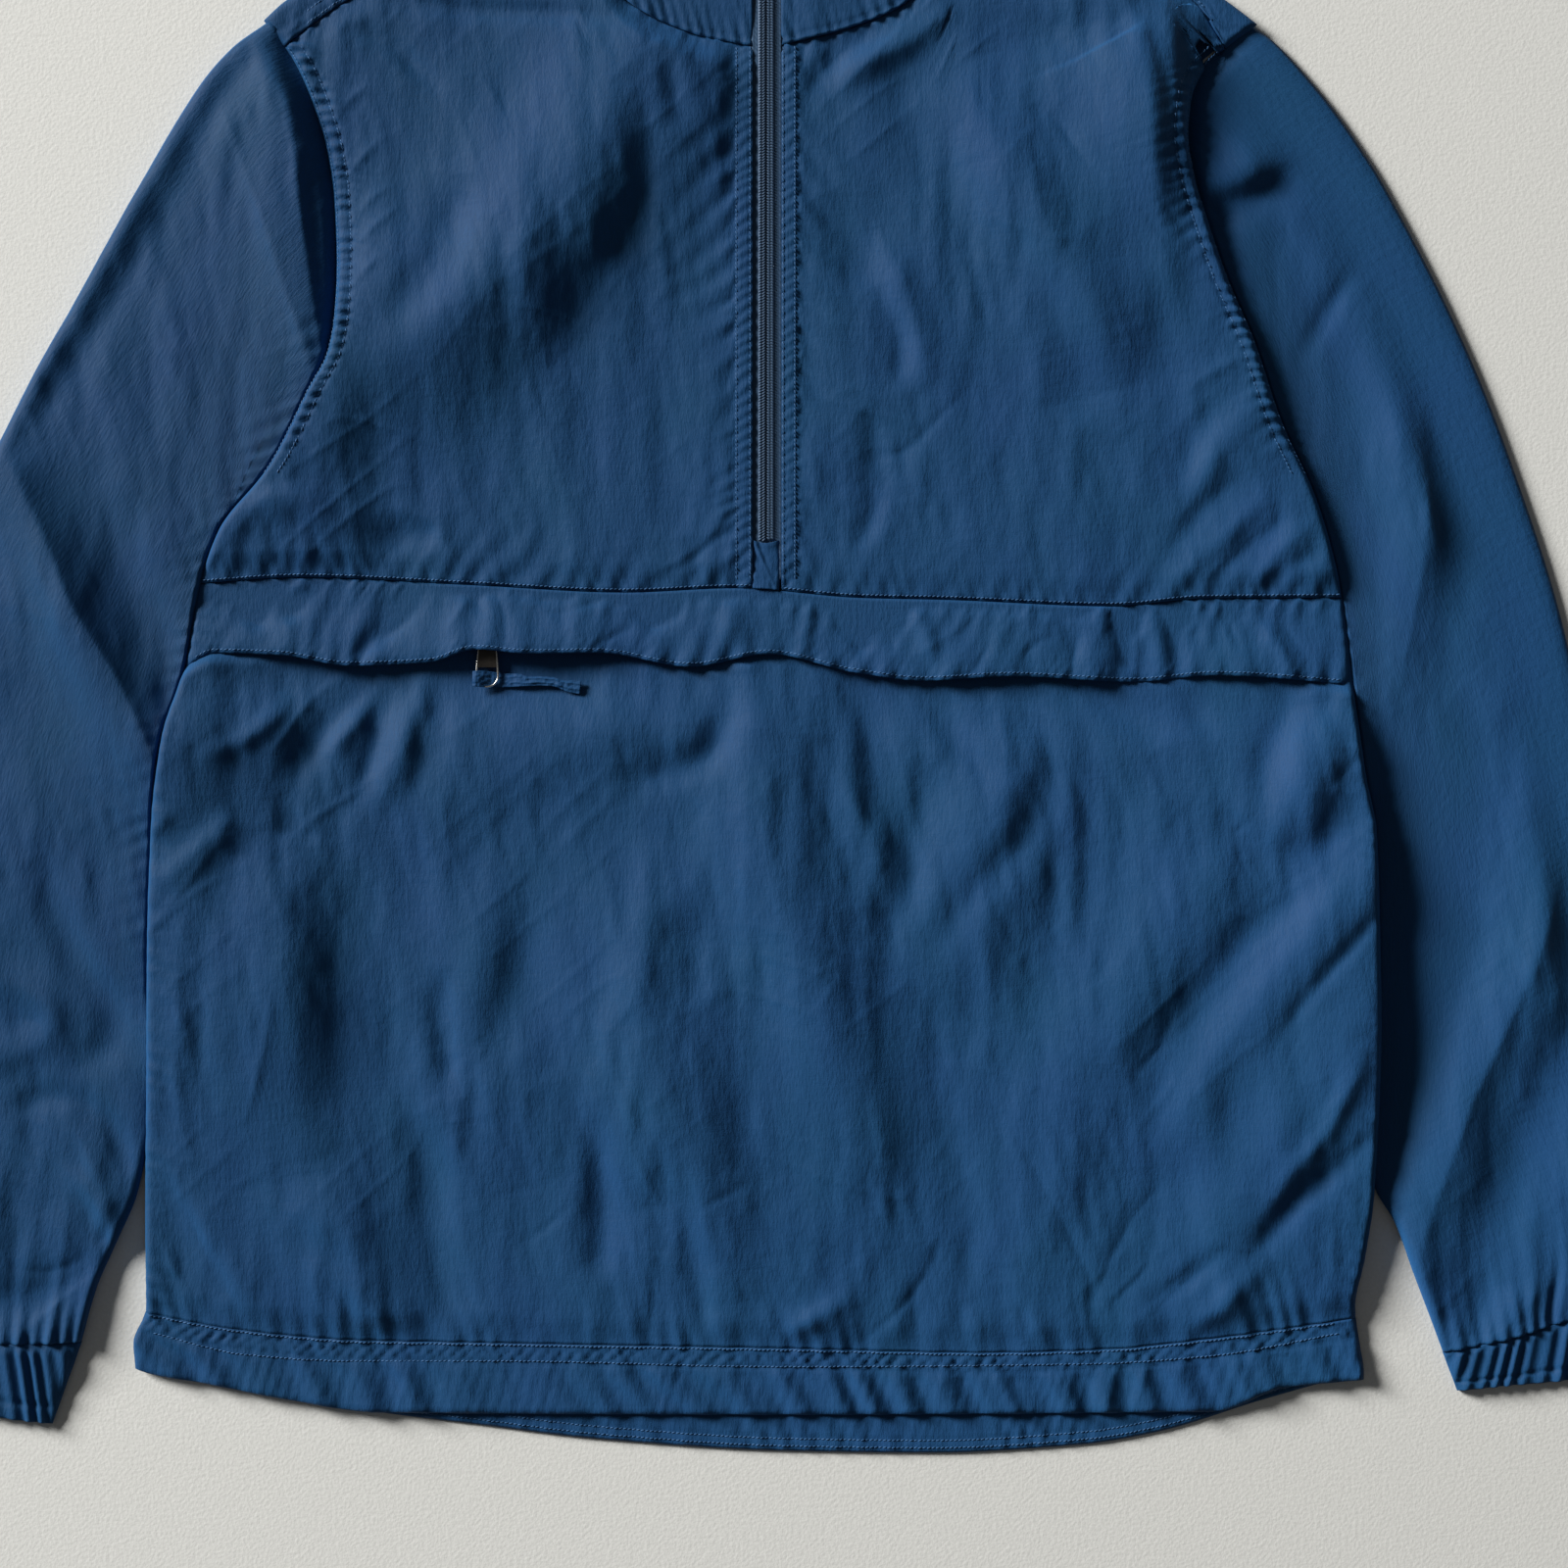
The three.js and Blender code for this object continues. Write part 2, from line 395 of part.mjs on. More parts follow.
// Back and its hem, flat on the surface. The back stops just short of the sleeves beside it.
const BACK_INSET = 2.5;
function buildBack() {
  const sides = { left: (y) => leftEdge(y) + BACK_INSET, right: (y) => rightEdge(y) - BACK_INSET };
  const levelWall = (panel, top) => {
    const outer = panel.rows.map((v) => panel.columns.map((u) => {
      const { x, y } = planPoint(panel, u, v);
      return new THREE.Vector3(x, y, top(x, y, v));
    }));
    return wall(outer, outer.map((row) => row.map((p) => new THREE.Vector3(p.x, p.y, 0))));
  };
  const back = {
    ...sides,
    low: (x) => backHemSeam(x) + SEAM_GAP,
    high: (x) => shoulderLine(x) - 1,
    columns: shares(10),
    rows: shares(16),
  };
  add('back_panel', levelWall(back, () => BACK_TOP), CLOTH);
  const hem = { ...sides, low: backHemEdge, high: backHemSeam, columns: shares(120), rows: shares(1) };
  const rise = 0.6 * HEM_GATHER.height;
  const gathered = (x, y, v) => BACK_TOP + HEM_STITCH + rise * gather(x, 1.7) * (1 - 0.6 * v);
  add('back_hem', levelWall(hem, gathered), CLOTH);
}

// One uneven run of gathers along x, between 0 and 1.
function gather(x, start) {
  const drift = 0.34 * Math.sin(x / 23 + start) + 0.2 * Math.sin(x / 9.5 + 2 * start);
  const size = 0.72 + 0.28 * Math.sin(x / 31 + 3 * start);
  return size * (0.5 + 0.5 * Math.sin(2 * Math.PI * (x / HEM_GATHER.pitch + drift)));
}

function buildFrontHem() {
  const height = (x, y) => {
    const inBand = smooth((hemSeam(x) - y) / 10);
    return HEM_LIE + HEM_GATHER.height * (2 * gather(x, 0) - 1) * lerp(0.35, 1, inBand);
  };
  const panel = {
    left: leftEdge, right: rightEdge, low: hemEdge, high: (x) => hemSeam(x) - SEAM_GAP,
    columns: shares(120, true, true), rows: shares(2), height, roundLeft: true, roundRight: true,
  };
  const face = panelFace(panel);
  const floor = BACK_TOP + HEM_STITCH + HEM_GATHER.height + LAYER_GAP;
  add('front_hem', wall(face, innerFace(face, height, floor)), CLOTH);
}

const FLAP_ROWS = 2;

// Lower front up to the chest seam, with its top strip level under the pocket flap.
function buildLowerFront() {
  const columns = shares(31, true, true);
  const sides = { left: leftEdge, right: rightEdge, roundLeft: true, roundRight: true, columns };
  const body = { ...sides, low: hemSeam, high: flapEdge, rows: shares(16), height: lowerHeight };
  const seam = (x) => chestSeam(x) - SEAM_GAP;
  const underFlap = { ...sides, low: flapEdge, high: seam, rows: shares(FLAP_ROWS), height: lowerHeight };
  const stripFace = panelFace(underFlap);
  const face = [...panelFace(body), ...stripFace.slice(1)];
  add('front_lower', wall(face, innerFace(face, lowerHeight, FRONT_FLOOR)), CLOTH);
  return stripFace;
}

// Pocket flap: the lower front's top strip moved out, its free edge lifting in the waves that show.
function buildFlap(stripFace) {
  const columnCount = stripFace[0].length;
  const inner = stripFace.map((row, r) => row.map((p, c) => {
    const free = 1 - r / FLAP_ROWS;
    const fromSide = Math.min(c, columnCount - 1 - c) / 4;
    const wave = 0.5 + 0.5 * Math.sin(p.x / 21 + 0.8 * Math.sin(p.x / 47));
    const arch = FLAP_ARCH.height * Math.exp(-(((p.x - POCKET_PULL_X) / FLAP_ARCH.reach) ** 2));
    const overZip = smooth((p.x - POCKET_ZIP.left + 40) / 40) * smooth((POCKET_ZIP.right + 40 - p.x) / 40);
    const lift = (0.6 + 1.7 * overZip + 1.6 * wave * free) * smooth(fromSide) + arch;
    const held = r === FLAP_ROWS ? 0.25 : 1;
    return new THREE.Vector3(p.x, p.y, p.z + LAYER_GAP + lift * held);
  }));
  const outer = inner.map((row) => row.map((p) => new THREE.Vector3(p.x, p.y, p.z + WALL)));
  add('pocket_flap', wall(outer, inner), CLOTH);
}

function buildChest() {
  const low = (x) => chestSeam(x) + SEAM_GAP;
  const shared = { low, rows: shares(19), height: chestHeight };
  frontPanel('chest_left', {
    ...shared, left: leftEdge, right: () => ZIP.left, high: frontTopLeft,
    columns: shares(16, true, false), roundLeft: true,
  });
  frontPanel('chest_right', {
    ...shared, left: () => ZIP.right, right: rightEdge, high: frontTopRight,
    columns: shares(16, false, true), roundRight: true,
  });
}

// The back comes over each shoulder to a seam on the front. This is the strip that shows there.
function buildShoulders() {
  const height = (x, y) => {
    const inward = shoulderLine(x) - y;
    return lerp(EDGE_TOP, SEAM_LIE, rounded(inward * 0.8));
  };
  const shared = { high: (x) => shoulderLine(x) - 0.5, columns: shares(9), rows: [0, 0.5, 0.85, 1], height };
  const neckGap = 1.5;
  frontPanel('shoulder_left', {
    ...shared, left: leftEdge, right: () => SHOULDER_SEAM_LEFT.at(-1).x - neckGap,
    low: (x) => frontTopLeft(x) + SEAM_GAP, roundLeft: true,
  });
  frontPanel('shoulder_right', {
    ...shared, left: () => SHOULDER_SEAM_RIGHT[0].x + neckGap, right: rightEdge,
    low: (x) => frontTopRight(x) + SEAM_GAP, roundRight: true,
  });
}

// Stand collar: the two front halves stand up from the neckline seam and lie on the back half.
function buildCollar() {
  const lift = SEAM_LIE + LAYER_GAP + WALL; // the collar starts on top of the neckline seam
  const half = (name, neckRows, side) => {
    const neck = new THREE.SplineCurve(neckRows.map((row) => new THREE.Vector2(row.x, row.y)));
    const ends = side < 0 ? shares(9, true, false) : shares(9, false, true);
    const face = shares(4).map((v) => ends.map((u) => {
      const p = neck.getPointAt(u);
      const fromSide = (side < 0 ? u : 1 - u) * neck.getLength();
      const x = p.x - side * COLLAR_LEAN * v * Math.abs(p.x / neckRows[side < 0 ? 0 : neckRows.length - 1].x);
      const top = lift + 1.4 * Math.sin(Math.PI * v) * rounded(fromSide);
      return new THREE.Vector3(x, p.y + COLLAR_HEIGHT * v, top);
    }));
    const inner = face.map((row) => row.map((p) => new THREE.Vector3(p.x, p.y, p.z - WALL)));
    add(name, wall(face, inner), CLOTH);
  };
  half('collar_front_left', NECK_LEFT, -1);
  half('collar_front_right', NECK_RIGHT, 1);
  const sideX = -SHOULDER_SEAM_LEFT.at(-1).x;
  const lean = (y) => sideX - COLLAR_LEAN * smooth((y - BACK_NECK) / COLLAR_HEIGHT);
  const topEdge = (x) => BACK_COLLAR_TOP - 3 * (x / sideX) ** 2;
  const back = { left: (y) => -lean(y), right: lean, low: () => BACK_NECK, high: topEdge };
  const top = shares(4).map((v) => shares(8).map((u) => {
    const p = planPoint(back, u, v);
    return new THREE.Vector3(p.x, p.y, BACK_TOP);
  }));
  add('collar_back', wall(top, top.map((row) => row.map((p) => new THREE.Vector3(p.x, p.y, 0)))), CLOTH);
}

// Plan point between four border curves, each giving [x, y] for a share from 0 to 1: start and end
// run across, near and far run along.
function coons(border, u, t) {
  const mix = (axis) => {
    const across = lerp(border.start(u)[axis], border.end(u)[axis], t);
    const along = lerp(border.near(t)[axis], border.far(t)[axis], u);
    const startLine = lerp(border.start(0)[axis], border.start(1)[axis], u);
    const endLine = lerp(border.end(0)[axis], border.end(1)[axis], u);
    return across + along - lerp(startLine, endLine, t);
  };
  return { x: mix(0), y: mix(1) };
}

function curveOf(rows) {
  const curve = new THREE.SplineCurve(rows.map((row) => new THREE.Vector2(row.x, row.y)));
  return (t) => curve.getPointAt(THREE.MathUtils.clamp(t, 0, 1)).toArray();
}

// Unit plan vector from one side of a tube into it.
function inwardFrom(side, other, t) {
  const [before, after] = [side(t - 0.01), side(t + 0.01)];
  const normal = new THREE.Vector2(after[1] - before[1], before[0] - after[0]).normalize();
  const across = new THREE.Vector2(other(t)[0] - side(t)[0], other(t)[1] - side(t)[1]);
  return normal.dot(across) < 0 ? normal.negate() : normal;
}

// Flattened tube: a domed upper layer and a level lower layer in one ring, open at both ends.
function flatTube(border, upper, lengthwise, height) {
  const inset = 1.4;
  const under = [0.985, 0.5, 0.015];
  const outer = [];
  const inner = [];
  for (const t of lengthwise) {
    const from = coons(border, 0, t);
    const to = coons(border, 1, t);
    const width = Math.hypot(to.x - from.x, to.y - from.y);
    const point = (u, z) => {
      const p = coons(border, u, t);
      return new THREE.Vector3(p.x, p.y, z);
    };
    const tops = upper.map((u) => {
      const p = coons(border, u, t);
      const share = rounded(Math.min(u, 1 - u) * width);
      return lerp(EDGE_TOP, height(p.x, p.y, t), share);
    });
    const topAt = (u) => {
      const i = Math.max(1, upper.findIndex((value) => value >= u - 1e-9));
      const part = (u - upper[i - 1]) / (upper[i] - upper[i - 1]);
      return lerp(tops[i - 1], tops[i], part);
    };
    const [nearIn, farIn] = [inwardFrom(border.near, border.far, t), inwardFrom(border.far, border.near, t)];
    const drawnIn = (u) => 0.5 + (u - 0.5) * (1 - (2 * inset) / width);
    const innerPoint = (u, z) => {
      const share = inset * Math.abs(2 * u - 1);
      const { x, y } = u < 0.5 ? nearIn : farIn;
      return point(u, z).add(new THREE.Vector3(x * share, y * share, 0));
    };
    const innerTop = (u) => {
      const thick = WALL * slant((x, y) => height(x, y, t), point(u, 0).x, point(u, 0).y);
      return Math.max(topAt(drawnIn(u)) - thick, WALL + 0.4);
    };
    outer.push([...upper.map((u, i) => point(u, tops[i])), ...under.map((u) => point(u, 0))]);
    inner.push([...upper.map((u) => innerPoint(u, innerTop(u))), ...under.map((u) => innerPoint(u, WALL))]);
  }
  return wall(outer, inner, true);
}

const SLEEVE_ACROSS = [0, 0.02, 0.07, 0.18, 0.3, 0.42, 0.55, 0.68, 0.81, 0.93, 0.98, 1];

function buildSleeve(name, side, edge, gap, underarm, outerRows, innerRows, cuffRows) {
  const top = outerRows[0].y;
  const inward = through(innerRows, 'y', 'x');
  const foot = cuffRows.at(-1).y;
  const cuff = curveOf(cuffRows);
  const border = {
    start: (u) => {
      const y = lerp(top, underarm, u);
      return [edge(y) + side * gap, y];
    },
    end: cuff,
    near: curveOf(outerRows),
    far: (t) => {
      const y = lerp(underarm, foot, THREE.MathUtils.clamp(t, 0, 1));
      const besideBody = edge(y) + side * gap;
      const free = inward(y);
      return [y < innerRows[0].y ? side * Math.max(side * besideBody, side * free) : besideBody, y];
    },
  };
  const gathers = (x, t) => 1.1 * smooth((t - 0.86) / 0.14) * Math.sin(x / 2.4);
  const height = (x, y, t) => sleeveHeight(x, y) + gathers(x, t);
  add(name, flatTube(border, SLEEVE_ACROSS, shares(29), height), CLOTH);
}

function buildCuff(name, seamRows, endRows) {
  const seam = curveOf(seamRows);
  const end = curveOf(endRows);
  const start = (u) => [seam(u)[0], seam(u)[1] - SEAM_GAP];
  const side = (u) => (t) => [lerp(start(u)[0], end(u)[0], t), lerp(start(u)[1], end(u)[1], t)];
  const border = { start, end, near: side(0), far: side(1) };
  const turn = (x) => (2 * Math.PI * x) / CUFF_PLEAT.pitch + 0.9 * Math.sin(x / 17);
  const height = (x, y, t) => lerp(CUFF_LIE, CUFF_END_LIE, t) + CUFF_PLEAT.height * Math.sin(turn(x));
  add(name, flatTube(border, shares(34, true, true), shares(2), height), CLOTH);
}

// Straight flat strip with square corners, between two heights.
function strip(x0, x1, y0, y1, z0, z1) {
  const shape = new THREE.Shape();
  shape.moveTo(x0, y0);
  shape.lineTo(x1, y0);
  shape.lineTo(x1, y1);
  shape.lineTo(x0, y1);
  shape.closePath();
  const geometry = new THREE.ExtrudeGeometry(shape, { depth: z1 - z0, bevelEnabled: false });
  return geometry.translate(0, 0, z0);
}

// Front zip, closed from the chest seam to the top of the collar, between the two front edges.
function buildFrontZip() {
  const inset = 0.5;
  const collarTop = NECK_LEFT.at(-1).y + COLLAR_HEIGHT - 1;
  const tapeTop = FRONT_LIE - 0.5;
  const tapeLow = tapeTop - ZIP.tape;
  add('zip_tape', strip(ZIP.left + inset, ZIP.right - inset, ZIP.bottom, collarTop, tapeLow, tapeTop), TAPE);
  const coilLow = tapeTop + 0.3;
  const coilTop = coilLow + ZIP.coilHeight;
  const half = ZIP.coilWidth / 2;
  const [coilLeft, coilRight] = [ZIP.middle - half, ZIP.middle + half];
  add('zip_coil', strip(coilLeft, coilRight, ZIP.bottom + 1, collarTop - 1, coilLow, coilTop), COIL);
  const patchLow = chestSeam(0) + SEAM_GAP + 0.4;
  const [patchLeft, patchRight] = [ZIP.left + inset, ZIP.right - inset];
  add('zip_end_patch', strip(patchLeft, patchRight, patchLow, PATCH_TOP, tapeTop - WALL, tapeTop), CLOTH);
  return { top: coilTop, end: collarTop };
}

// Zip of the front pocket, on the lower front and under the flap.
function buildPocketZip() {
  const { left, right, y, tapeWidth, coilWidth } = POCKET_ZIP;
  const tapeLow = POCKET_LIE + 0.3;
  const tapeTop = tapeLow + POCKET_ZIP.tape;
  add('pocket_zip_tape', strip(left, right, y - tapeWidth / 2, y + tapeWidth / 2, tapeLow, tapeTop), TAPE);
  const coilLow = tapeTop + 0.3;
  const coilTop = coilLow + POCKET_ZIP.coilHeight;
  const half = coilWidth / 2;
  add('pocket_zip_coil', strip(left + 2, right - 2, y - half, y + half, coilLow, coilTop), COIL);
  return coilTop;
}

// Two closed bodies joined into one.
const wasm = await Module();
wasm.setup();
function joined(first, second) {
  const [a, b] = [first, second].map((geometry) => {
    const bare = geometry.clone();
    bare.deleteAttribute('normal');
    bare.deleteAttribute('uv');
    const merged = mergeVertices(bare, 1e-4);
    const vertProperties = new Float32Array(merged.attributes.position.array);
    const triVerts = new Uint32Array(merged.index.array);
    return new wasm.Manifold(new wasm.Mesh({ numProp: 3, vertProperties, triVerts }));
  });
  const mesh = a.add(b).getMesh();
  const geometry = new THREE.BufferGeometry();
  geometry.setAttribute('position', new THREE.BufferAttribute(new Float32Array(mesh.vertProperties), 3));
  geometry.setIndex([...mesh.triVerts]);
  geometry.computeVertexNormals();
  return geometry;
}

function roundedOutline(points, radius) {
  const shape = new THREE.Shape();
  const count = points.length;
  points.forEach(([x, y], i) => {
    const [px, py] = points[(i + count - 1) % count];
    const [nx, ny] = points[(i + 1) % count];
    const toPrevious = Math.min(radius / Math.hypot(px - x, py - y), 0.5);
    const toNext = Math.min(radius / Math.hypot(nx - x, ny - y), 0.5);
    const start = [lerp(x, px, toPrevious), lerp(y, py, toPrevious)];
    if (i === 0) shape.moveTo(...start);
    else shape.lineTo(...start);
    shape.quadraticCurveTo(x, y, lerp(x, nx, toNext), lerp(y, ny, toNext));
  });
  shape.closePath();
  return shape;
}

// Zip slider about the pull's pin: a shouldered plate on the coil, and a bail that arches over the
// pin along Y. The plate's long side lies along the zip.
function sliderGeometry(alongX) {
  const side = [[2.8, 4.6], [4.1, 1.5], [3.6, -4], [1.6, -5]];
  const shoulder = [...side.map(([x, y]) => [-x, y]), ...[...side].reverse()];
  const outline = shoulder.map(([x, y]) => (alongX ? [y, -x] : [x, y]));
  const below = SLIDER.headroom / 2;
  const plate = new THREE.ExtrudeGeometry(roundedOutline(outline, 1), {
    depth: SLIDER.plate, bevelEnabled: false, curveSegments: 3,
  });
  plate.translate(0, 0, -below - SLIDER.plate);
  const [inner, outer, foot, top] = [1.9, 2.8, -below - 0.3, below];
  const arch = new THREE.Shape();
  arch.moveTo(-outer, foot);
  arch.lineTo(-outer, top);
  arch.lineTo(-inner, top + 0.7);
  arch.lineTo(inner, top + 0.7);
  arch.lineTo(outer, top);
  arch.lineTo(outer, foot);
  arch.lineTo(inner, foot);
  arch.lineTo(inner, top);
  arch.lineTo(-inner, top);
  arch.lineTo(-inner, foot);
  arch.closePath();
  const bail = new THREE.ExtrudeGeometry(arch, { depth: SLIDER.bail, bevelEnabled: false });
  bail.translate(0, 0, -SLIDER.bail / 2);
  bail.applyMatrix4(new THREE.Matrix4().makeBasis(
    new THREE.Vector3(0, 1, 0), new THREE.Vector3(0, 0, 1), new THREE.Vector3(1, 0, 0),
  ));
  return joined(plate, bail);
}

// Pull about its pin, hanging towards -Y: a plate with a window at its head, whose top bar is the
// pin, and a round loop at its foot.
function pullGeometry() {
  const { width, foot, thick, pin, length } = PULL;
  const rim = 1.1;
  const loopTop = -length + 9.5;
  const middle = -length + foot / 2;
  const outline = new THREE.Shape();
  outline.moveTo(-width / 2, pin);
  outline.lineTo(-foot / 2, middle);
  outline.absarc(0, middle, foot / 2, Math.PI, 2 * Math.PI, false);
  outline.lineTo(width / 2, pin);
  outline.closePath();
  const window = new THREE.Path();
  window.moveTo(-width / 2 + rim, -pin);
  window.lineTo(width / 2 - rim, -pin);
  window.lineTo(width / 2 - rim, -pin - 4.6);
  window.lineTo(-width / 2 + rim, -pin - 4.6);
  window.closePath();
  const loop = new THREE.Path();
  loop.moveTo(-foot / 2 + rim, loopTop);
  loop.lineTo(foot / 2 - rim, loopTop);
  loop.lineTo(foot / 2 - rim, middle);
  loop.absarc(0, middle, foot / 2 - rim, 0, -Math.PI, true);
  loop.closePath();
  outline.holes.push(window, loop);
  const plate = { depth: thick, bevelEnabled: false, curveSegments: 8 };
  return new THREE.ExtrudeGeometry(outline, plate).translate(0, 0, -thick / 2);
}

// One zip's slider and pull, with the slider resting on the coil.
function addSlider(sliderName, pullName, x, y, coilTop, alongX) {
  const pinHeight = coilTop + SLIDER.gap + SLIDER.plate + SLIDER.headroom / 2;
  add(sliderName, sliderGeometry(alongX), METAL).position.set(x, y, pinHeight);
  add(pullName, pullGeometry(), METAL).position.set(x, y, pinHeight);
  return pinHeight;
}

// Strip of the garment's own cloth tied through the pocket pull's loop. Rows run from its fold over
// the pull to the knot and the free ends: place, width and the height of its middle over the pin.
const RIBBON_THICK = 1.1;
const RIBBON = [
  { x: -6.6, y: -21.6, width: 7.4, rise: 1.6 }, { x: -2, y: -21.8, width: 7.8, rise: 1.6 },
  { x: 3, y: -22, width: 7.4, rise: 1.6 }, { x: 7.5, y: -22.6, width: 6, rise: 1.2 },
  { x: 12, y: -22.8, width: 5, rise: 0.9 }, { x: 18, y: -22.6, width: 5.6, rise: 0.9 },
  { x: 25, y: -22.2, width: 5.6, rise: 1.1 }, { x: 31, y: -23, width: 4.6, rise: 1.2 },
  { x: 34, y: -24, width: 4.2, rise: 1.4 }, { x: 38, y: -25, width: 5.4, rise: 1.2 },
  { x: 43.5, y: -25.8, width: 6, rise: 1.1 },
];
function ribbonGeometry() {
  const rows = RIBBON.map((row, i) => {
    const before = RIBBON[Math.max(i - 1, 0)];
    const after = RIBBON[Math.min(i + 1, RIBBON.length - 1)];
    const run = new THREE.Vector2(after.x - before.x, after.y - before.y).normalize();
    return [-1, -0.5, 0, 0.5, 1].map((share) => {
      const out = (share * row.width) / 2;
      const crown = 0.35 * (1 - share * share);
      return new THREE.Vector3(row.x - run.y * out, row.y + run.x * out, row.rise + RIBBON_THICK / 2 + crown);
    });
  });
  const lower = rows.map((row) => row.map((p) => new THREE.Vector3(p.x, p.y, p.z - RIBBON_THICK)));
  return wall(rows, lower);
}

buildBack();
buildFrontHem();
buildFlap(buildLowerFront());
buildChest();
buildShoulders();
buildCollar();
const leftRows = [LEFT_SLEEVE_OUTER, LEFT_SLEEVE_INNER, LEFT_CUFF_SEAM];
const rightRows = [RIGHT_SLEEVE_OUTER, RIGHT_SLEEVE_INNER, RIGHT_CUFF_SEAM];
buildSleeve('sleeve_left', -1, leftEdge, ARMHOLE_GAP.left, UNDERARM.left, ...leftRows);
buildSleeve('sleeve_right', 1, rightEdge, ARMHOLE_GAP.right, UNDERARM.right, ...rightRows);
buildCuff('cuff_left', LEFT_CUFF_SEAM, LEFT_CUFF_END);
buildCuff('cuff_right', RIGHT_CUFF_SEAM, RIGHT_CUFF_END);

const frontZip = buildFrontZip();
const SLIDER_BELOW_TOP = 8; // the closed slider's pin, down from the top of the zip
addSlider('zip_slider', 'zip_pull', ZIP.middle, frontZip.end - SLIDER_BELOW_TOP, frontZip.top, false);
const pocketCoilTop = buildPocketZip();
const pinHeight = addSlider('pocket_slider', 'pocket_pull', POCKET_PULL_X, POCKET_ZIP.y, pocketCoilTop, true);
add('pocket_pull_ribbon', ribbonGeometry(), CLOTH).position.set(POCKET_PULL_X, POCKET_ZIP.y, pinHeight);

export default garment;
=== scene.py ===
import math
from collections import namedtuple

import bmesh
import bpy
import numpy as np
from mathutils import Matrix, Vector


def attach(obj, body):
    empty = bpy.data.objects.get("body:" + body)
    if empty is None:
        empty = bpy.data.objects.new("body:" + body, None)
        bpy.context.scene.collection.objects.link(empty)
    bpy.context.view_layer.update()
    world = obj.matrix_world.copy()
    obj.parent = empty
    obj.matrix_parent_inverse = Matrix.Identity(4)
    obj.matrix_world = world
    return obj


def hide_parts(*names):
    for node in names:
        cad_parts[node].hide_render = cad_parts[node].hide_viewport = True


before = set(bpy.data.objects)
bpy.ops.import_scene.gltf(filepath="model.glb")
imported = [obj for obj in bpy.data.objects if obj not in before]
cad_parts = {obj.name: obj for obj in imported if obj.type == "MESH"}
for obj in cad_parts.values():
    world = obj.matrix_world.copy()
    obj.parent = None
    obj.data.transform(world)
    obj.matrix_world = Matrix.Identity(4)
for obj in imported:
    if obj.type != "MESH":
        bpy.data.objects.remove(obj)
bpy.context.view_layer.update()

# Camera
# It looks straight down at the lower front, with the collar and the outer sides of the sleeves left
# outside the picture.
MM = 0.001
VIEW_CENTRE = (9.2, -84.0)
VIEW_WIDTH = 736.0
LENS = 70.0
SENSOR = 36.0
CLOTH_LEVEL = 6.0  # level of the cloth that the view's width is measured at


def placed(name, data):
    """Object with this data, put in the scene."""
    item = bpy.data.objects.new(name, data)
    bpy.context.scene.collection.objects.link(item)
    return item


eye = placed("camera", bpy.data.cameras.new("camera"))
eye.data.lens = LENS
eye.data.sensor_width = SENSOR
eye_height = CLOTH_LEVEL + VIEW_WIDTH * LENS / SENSOR
eye.location = (VIEW_CENTRE[0] * MM, VIEW_CENTRE[1] * MM, eye_height * MM)
bpy.context.scene.camera = eye

# Surface and light
# A pale, faintly mottled surface. One large soft light stands low at the upper left and a weak even
# light fills the hollows.
LIGHT_FROM = (-0.86, 0.51)
LIGHT_HEIGHT = 21.0  # degrees over the surface
LIGHT_AWAY = 12.0
LIGHT_SIZE = 3.8
LIGHT_POWER = 3080.0
LIGHT_COLOUR = (1.0, 0.995, 0.985)
FILL = 0.07
FILL_COLOUR = (0.97, 0.985, 1.0, 1)
FLOOR_COLOUR = (0.765, 0.762, 0.724)
FLOOR_VARIES = 0.10
FLOOR_HALF = 4.0
FLOOR_LEVEL = -0.0003
FIRST_COLOUR, SECOND_COLOUR, MIXED_COLOUR = 6, 7, 2  # the mix node's colour sockets


def solid_of(name, points, faces):
    mesh = bpy.data.meshes.new(name)
    mesh.from_pydata([tuple(p) for p in points], [], faces)
    mesh.validate()
    return placed(name, mesh)


def new_material(name):
    material = bpy.data.materials.new(name)
    material.use_nodes = True
    return material, material.node_tree.nodes, material.node_tree.links


def set_inputs(node, values):
    for label, value in values.items():
        node.inputs[label].default_value = value


def speckle(nodes, links, place, scale, detail):
    """Fine noise from 0 to 1."""
    noise = nodes.new("ShaderNodeTexNoise")
    set_inputs(noise, {"Scale": scale, "Detail": detail})
    links.new(place, noise.inputs["Vector"])
    return noise.outputs["Fac"]


def blend(nodes, links, factor, first, second):
    """Colour between two others."""
    mix = nodes.new("ShaderNodeMix")
    mix.data_type = "RGBA"
    mix.inputs[FIRST_COLOUR].default_value = (*first, 1)
    mix.inputs[SECOND_COLOUR].default_value = (*second, 1)
    links.new(factor, mix.inputs[0])
    return mix.outputs[MIXED_COLOUR]


def varied(nodes, links, factor, colour, vary):
    """Colour that gets a share darker and lighter."""
    return blend(nodes, links, factor, [(1 - vary) * c for c in colour], [(1 + vary) * c for c in colour])


def bump_from(nodes, links, height, strength, distance):
    bump = nodes.new("ShaderNodeBump")
    set_inputs(bump, {"Strength": strength, "Distance": distance})
    links.new(height, bump.inputs["Height"])
    links.new(bump.outputs["Normal"], nodes["Principled BSDF"].inputs["Normal"])


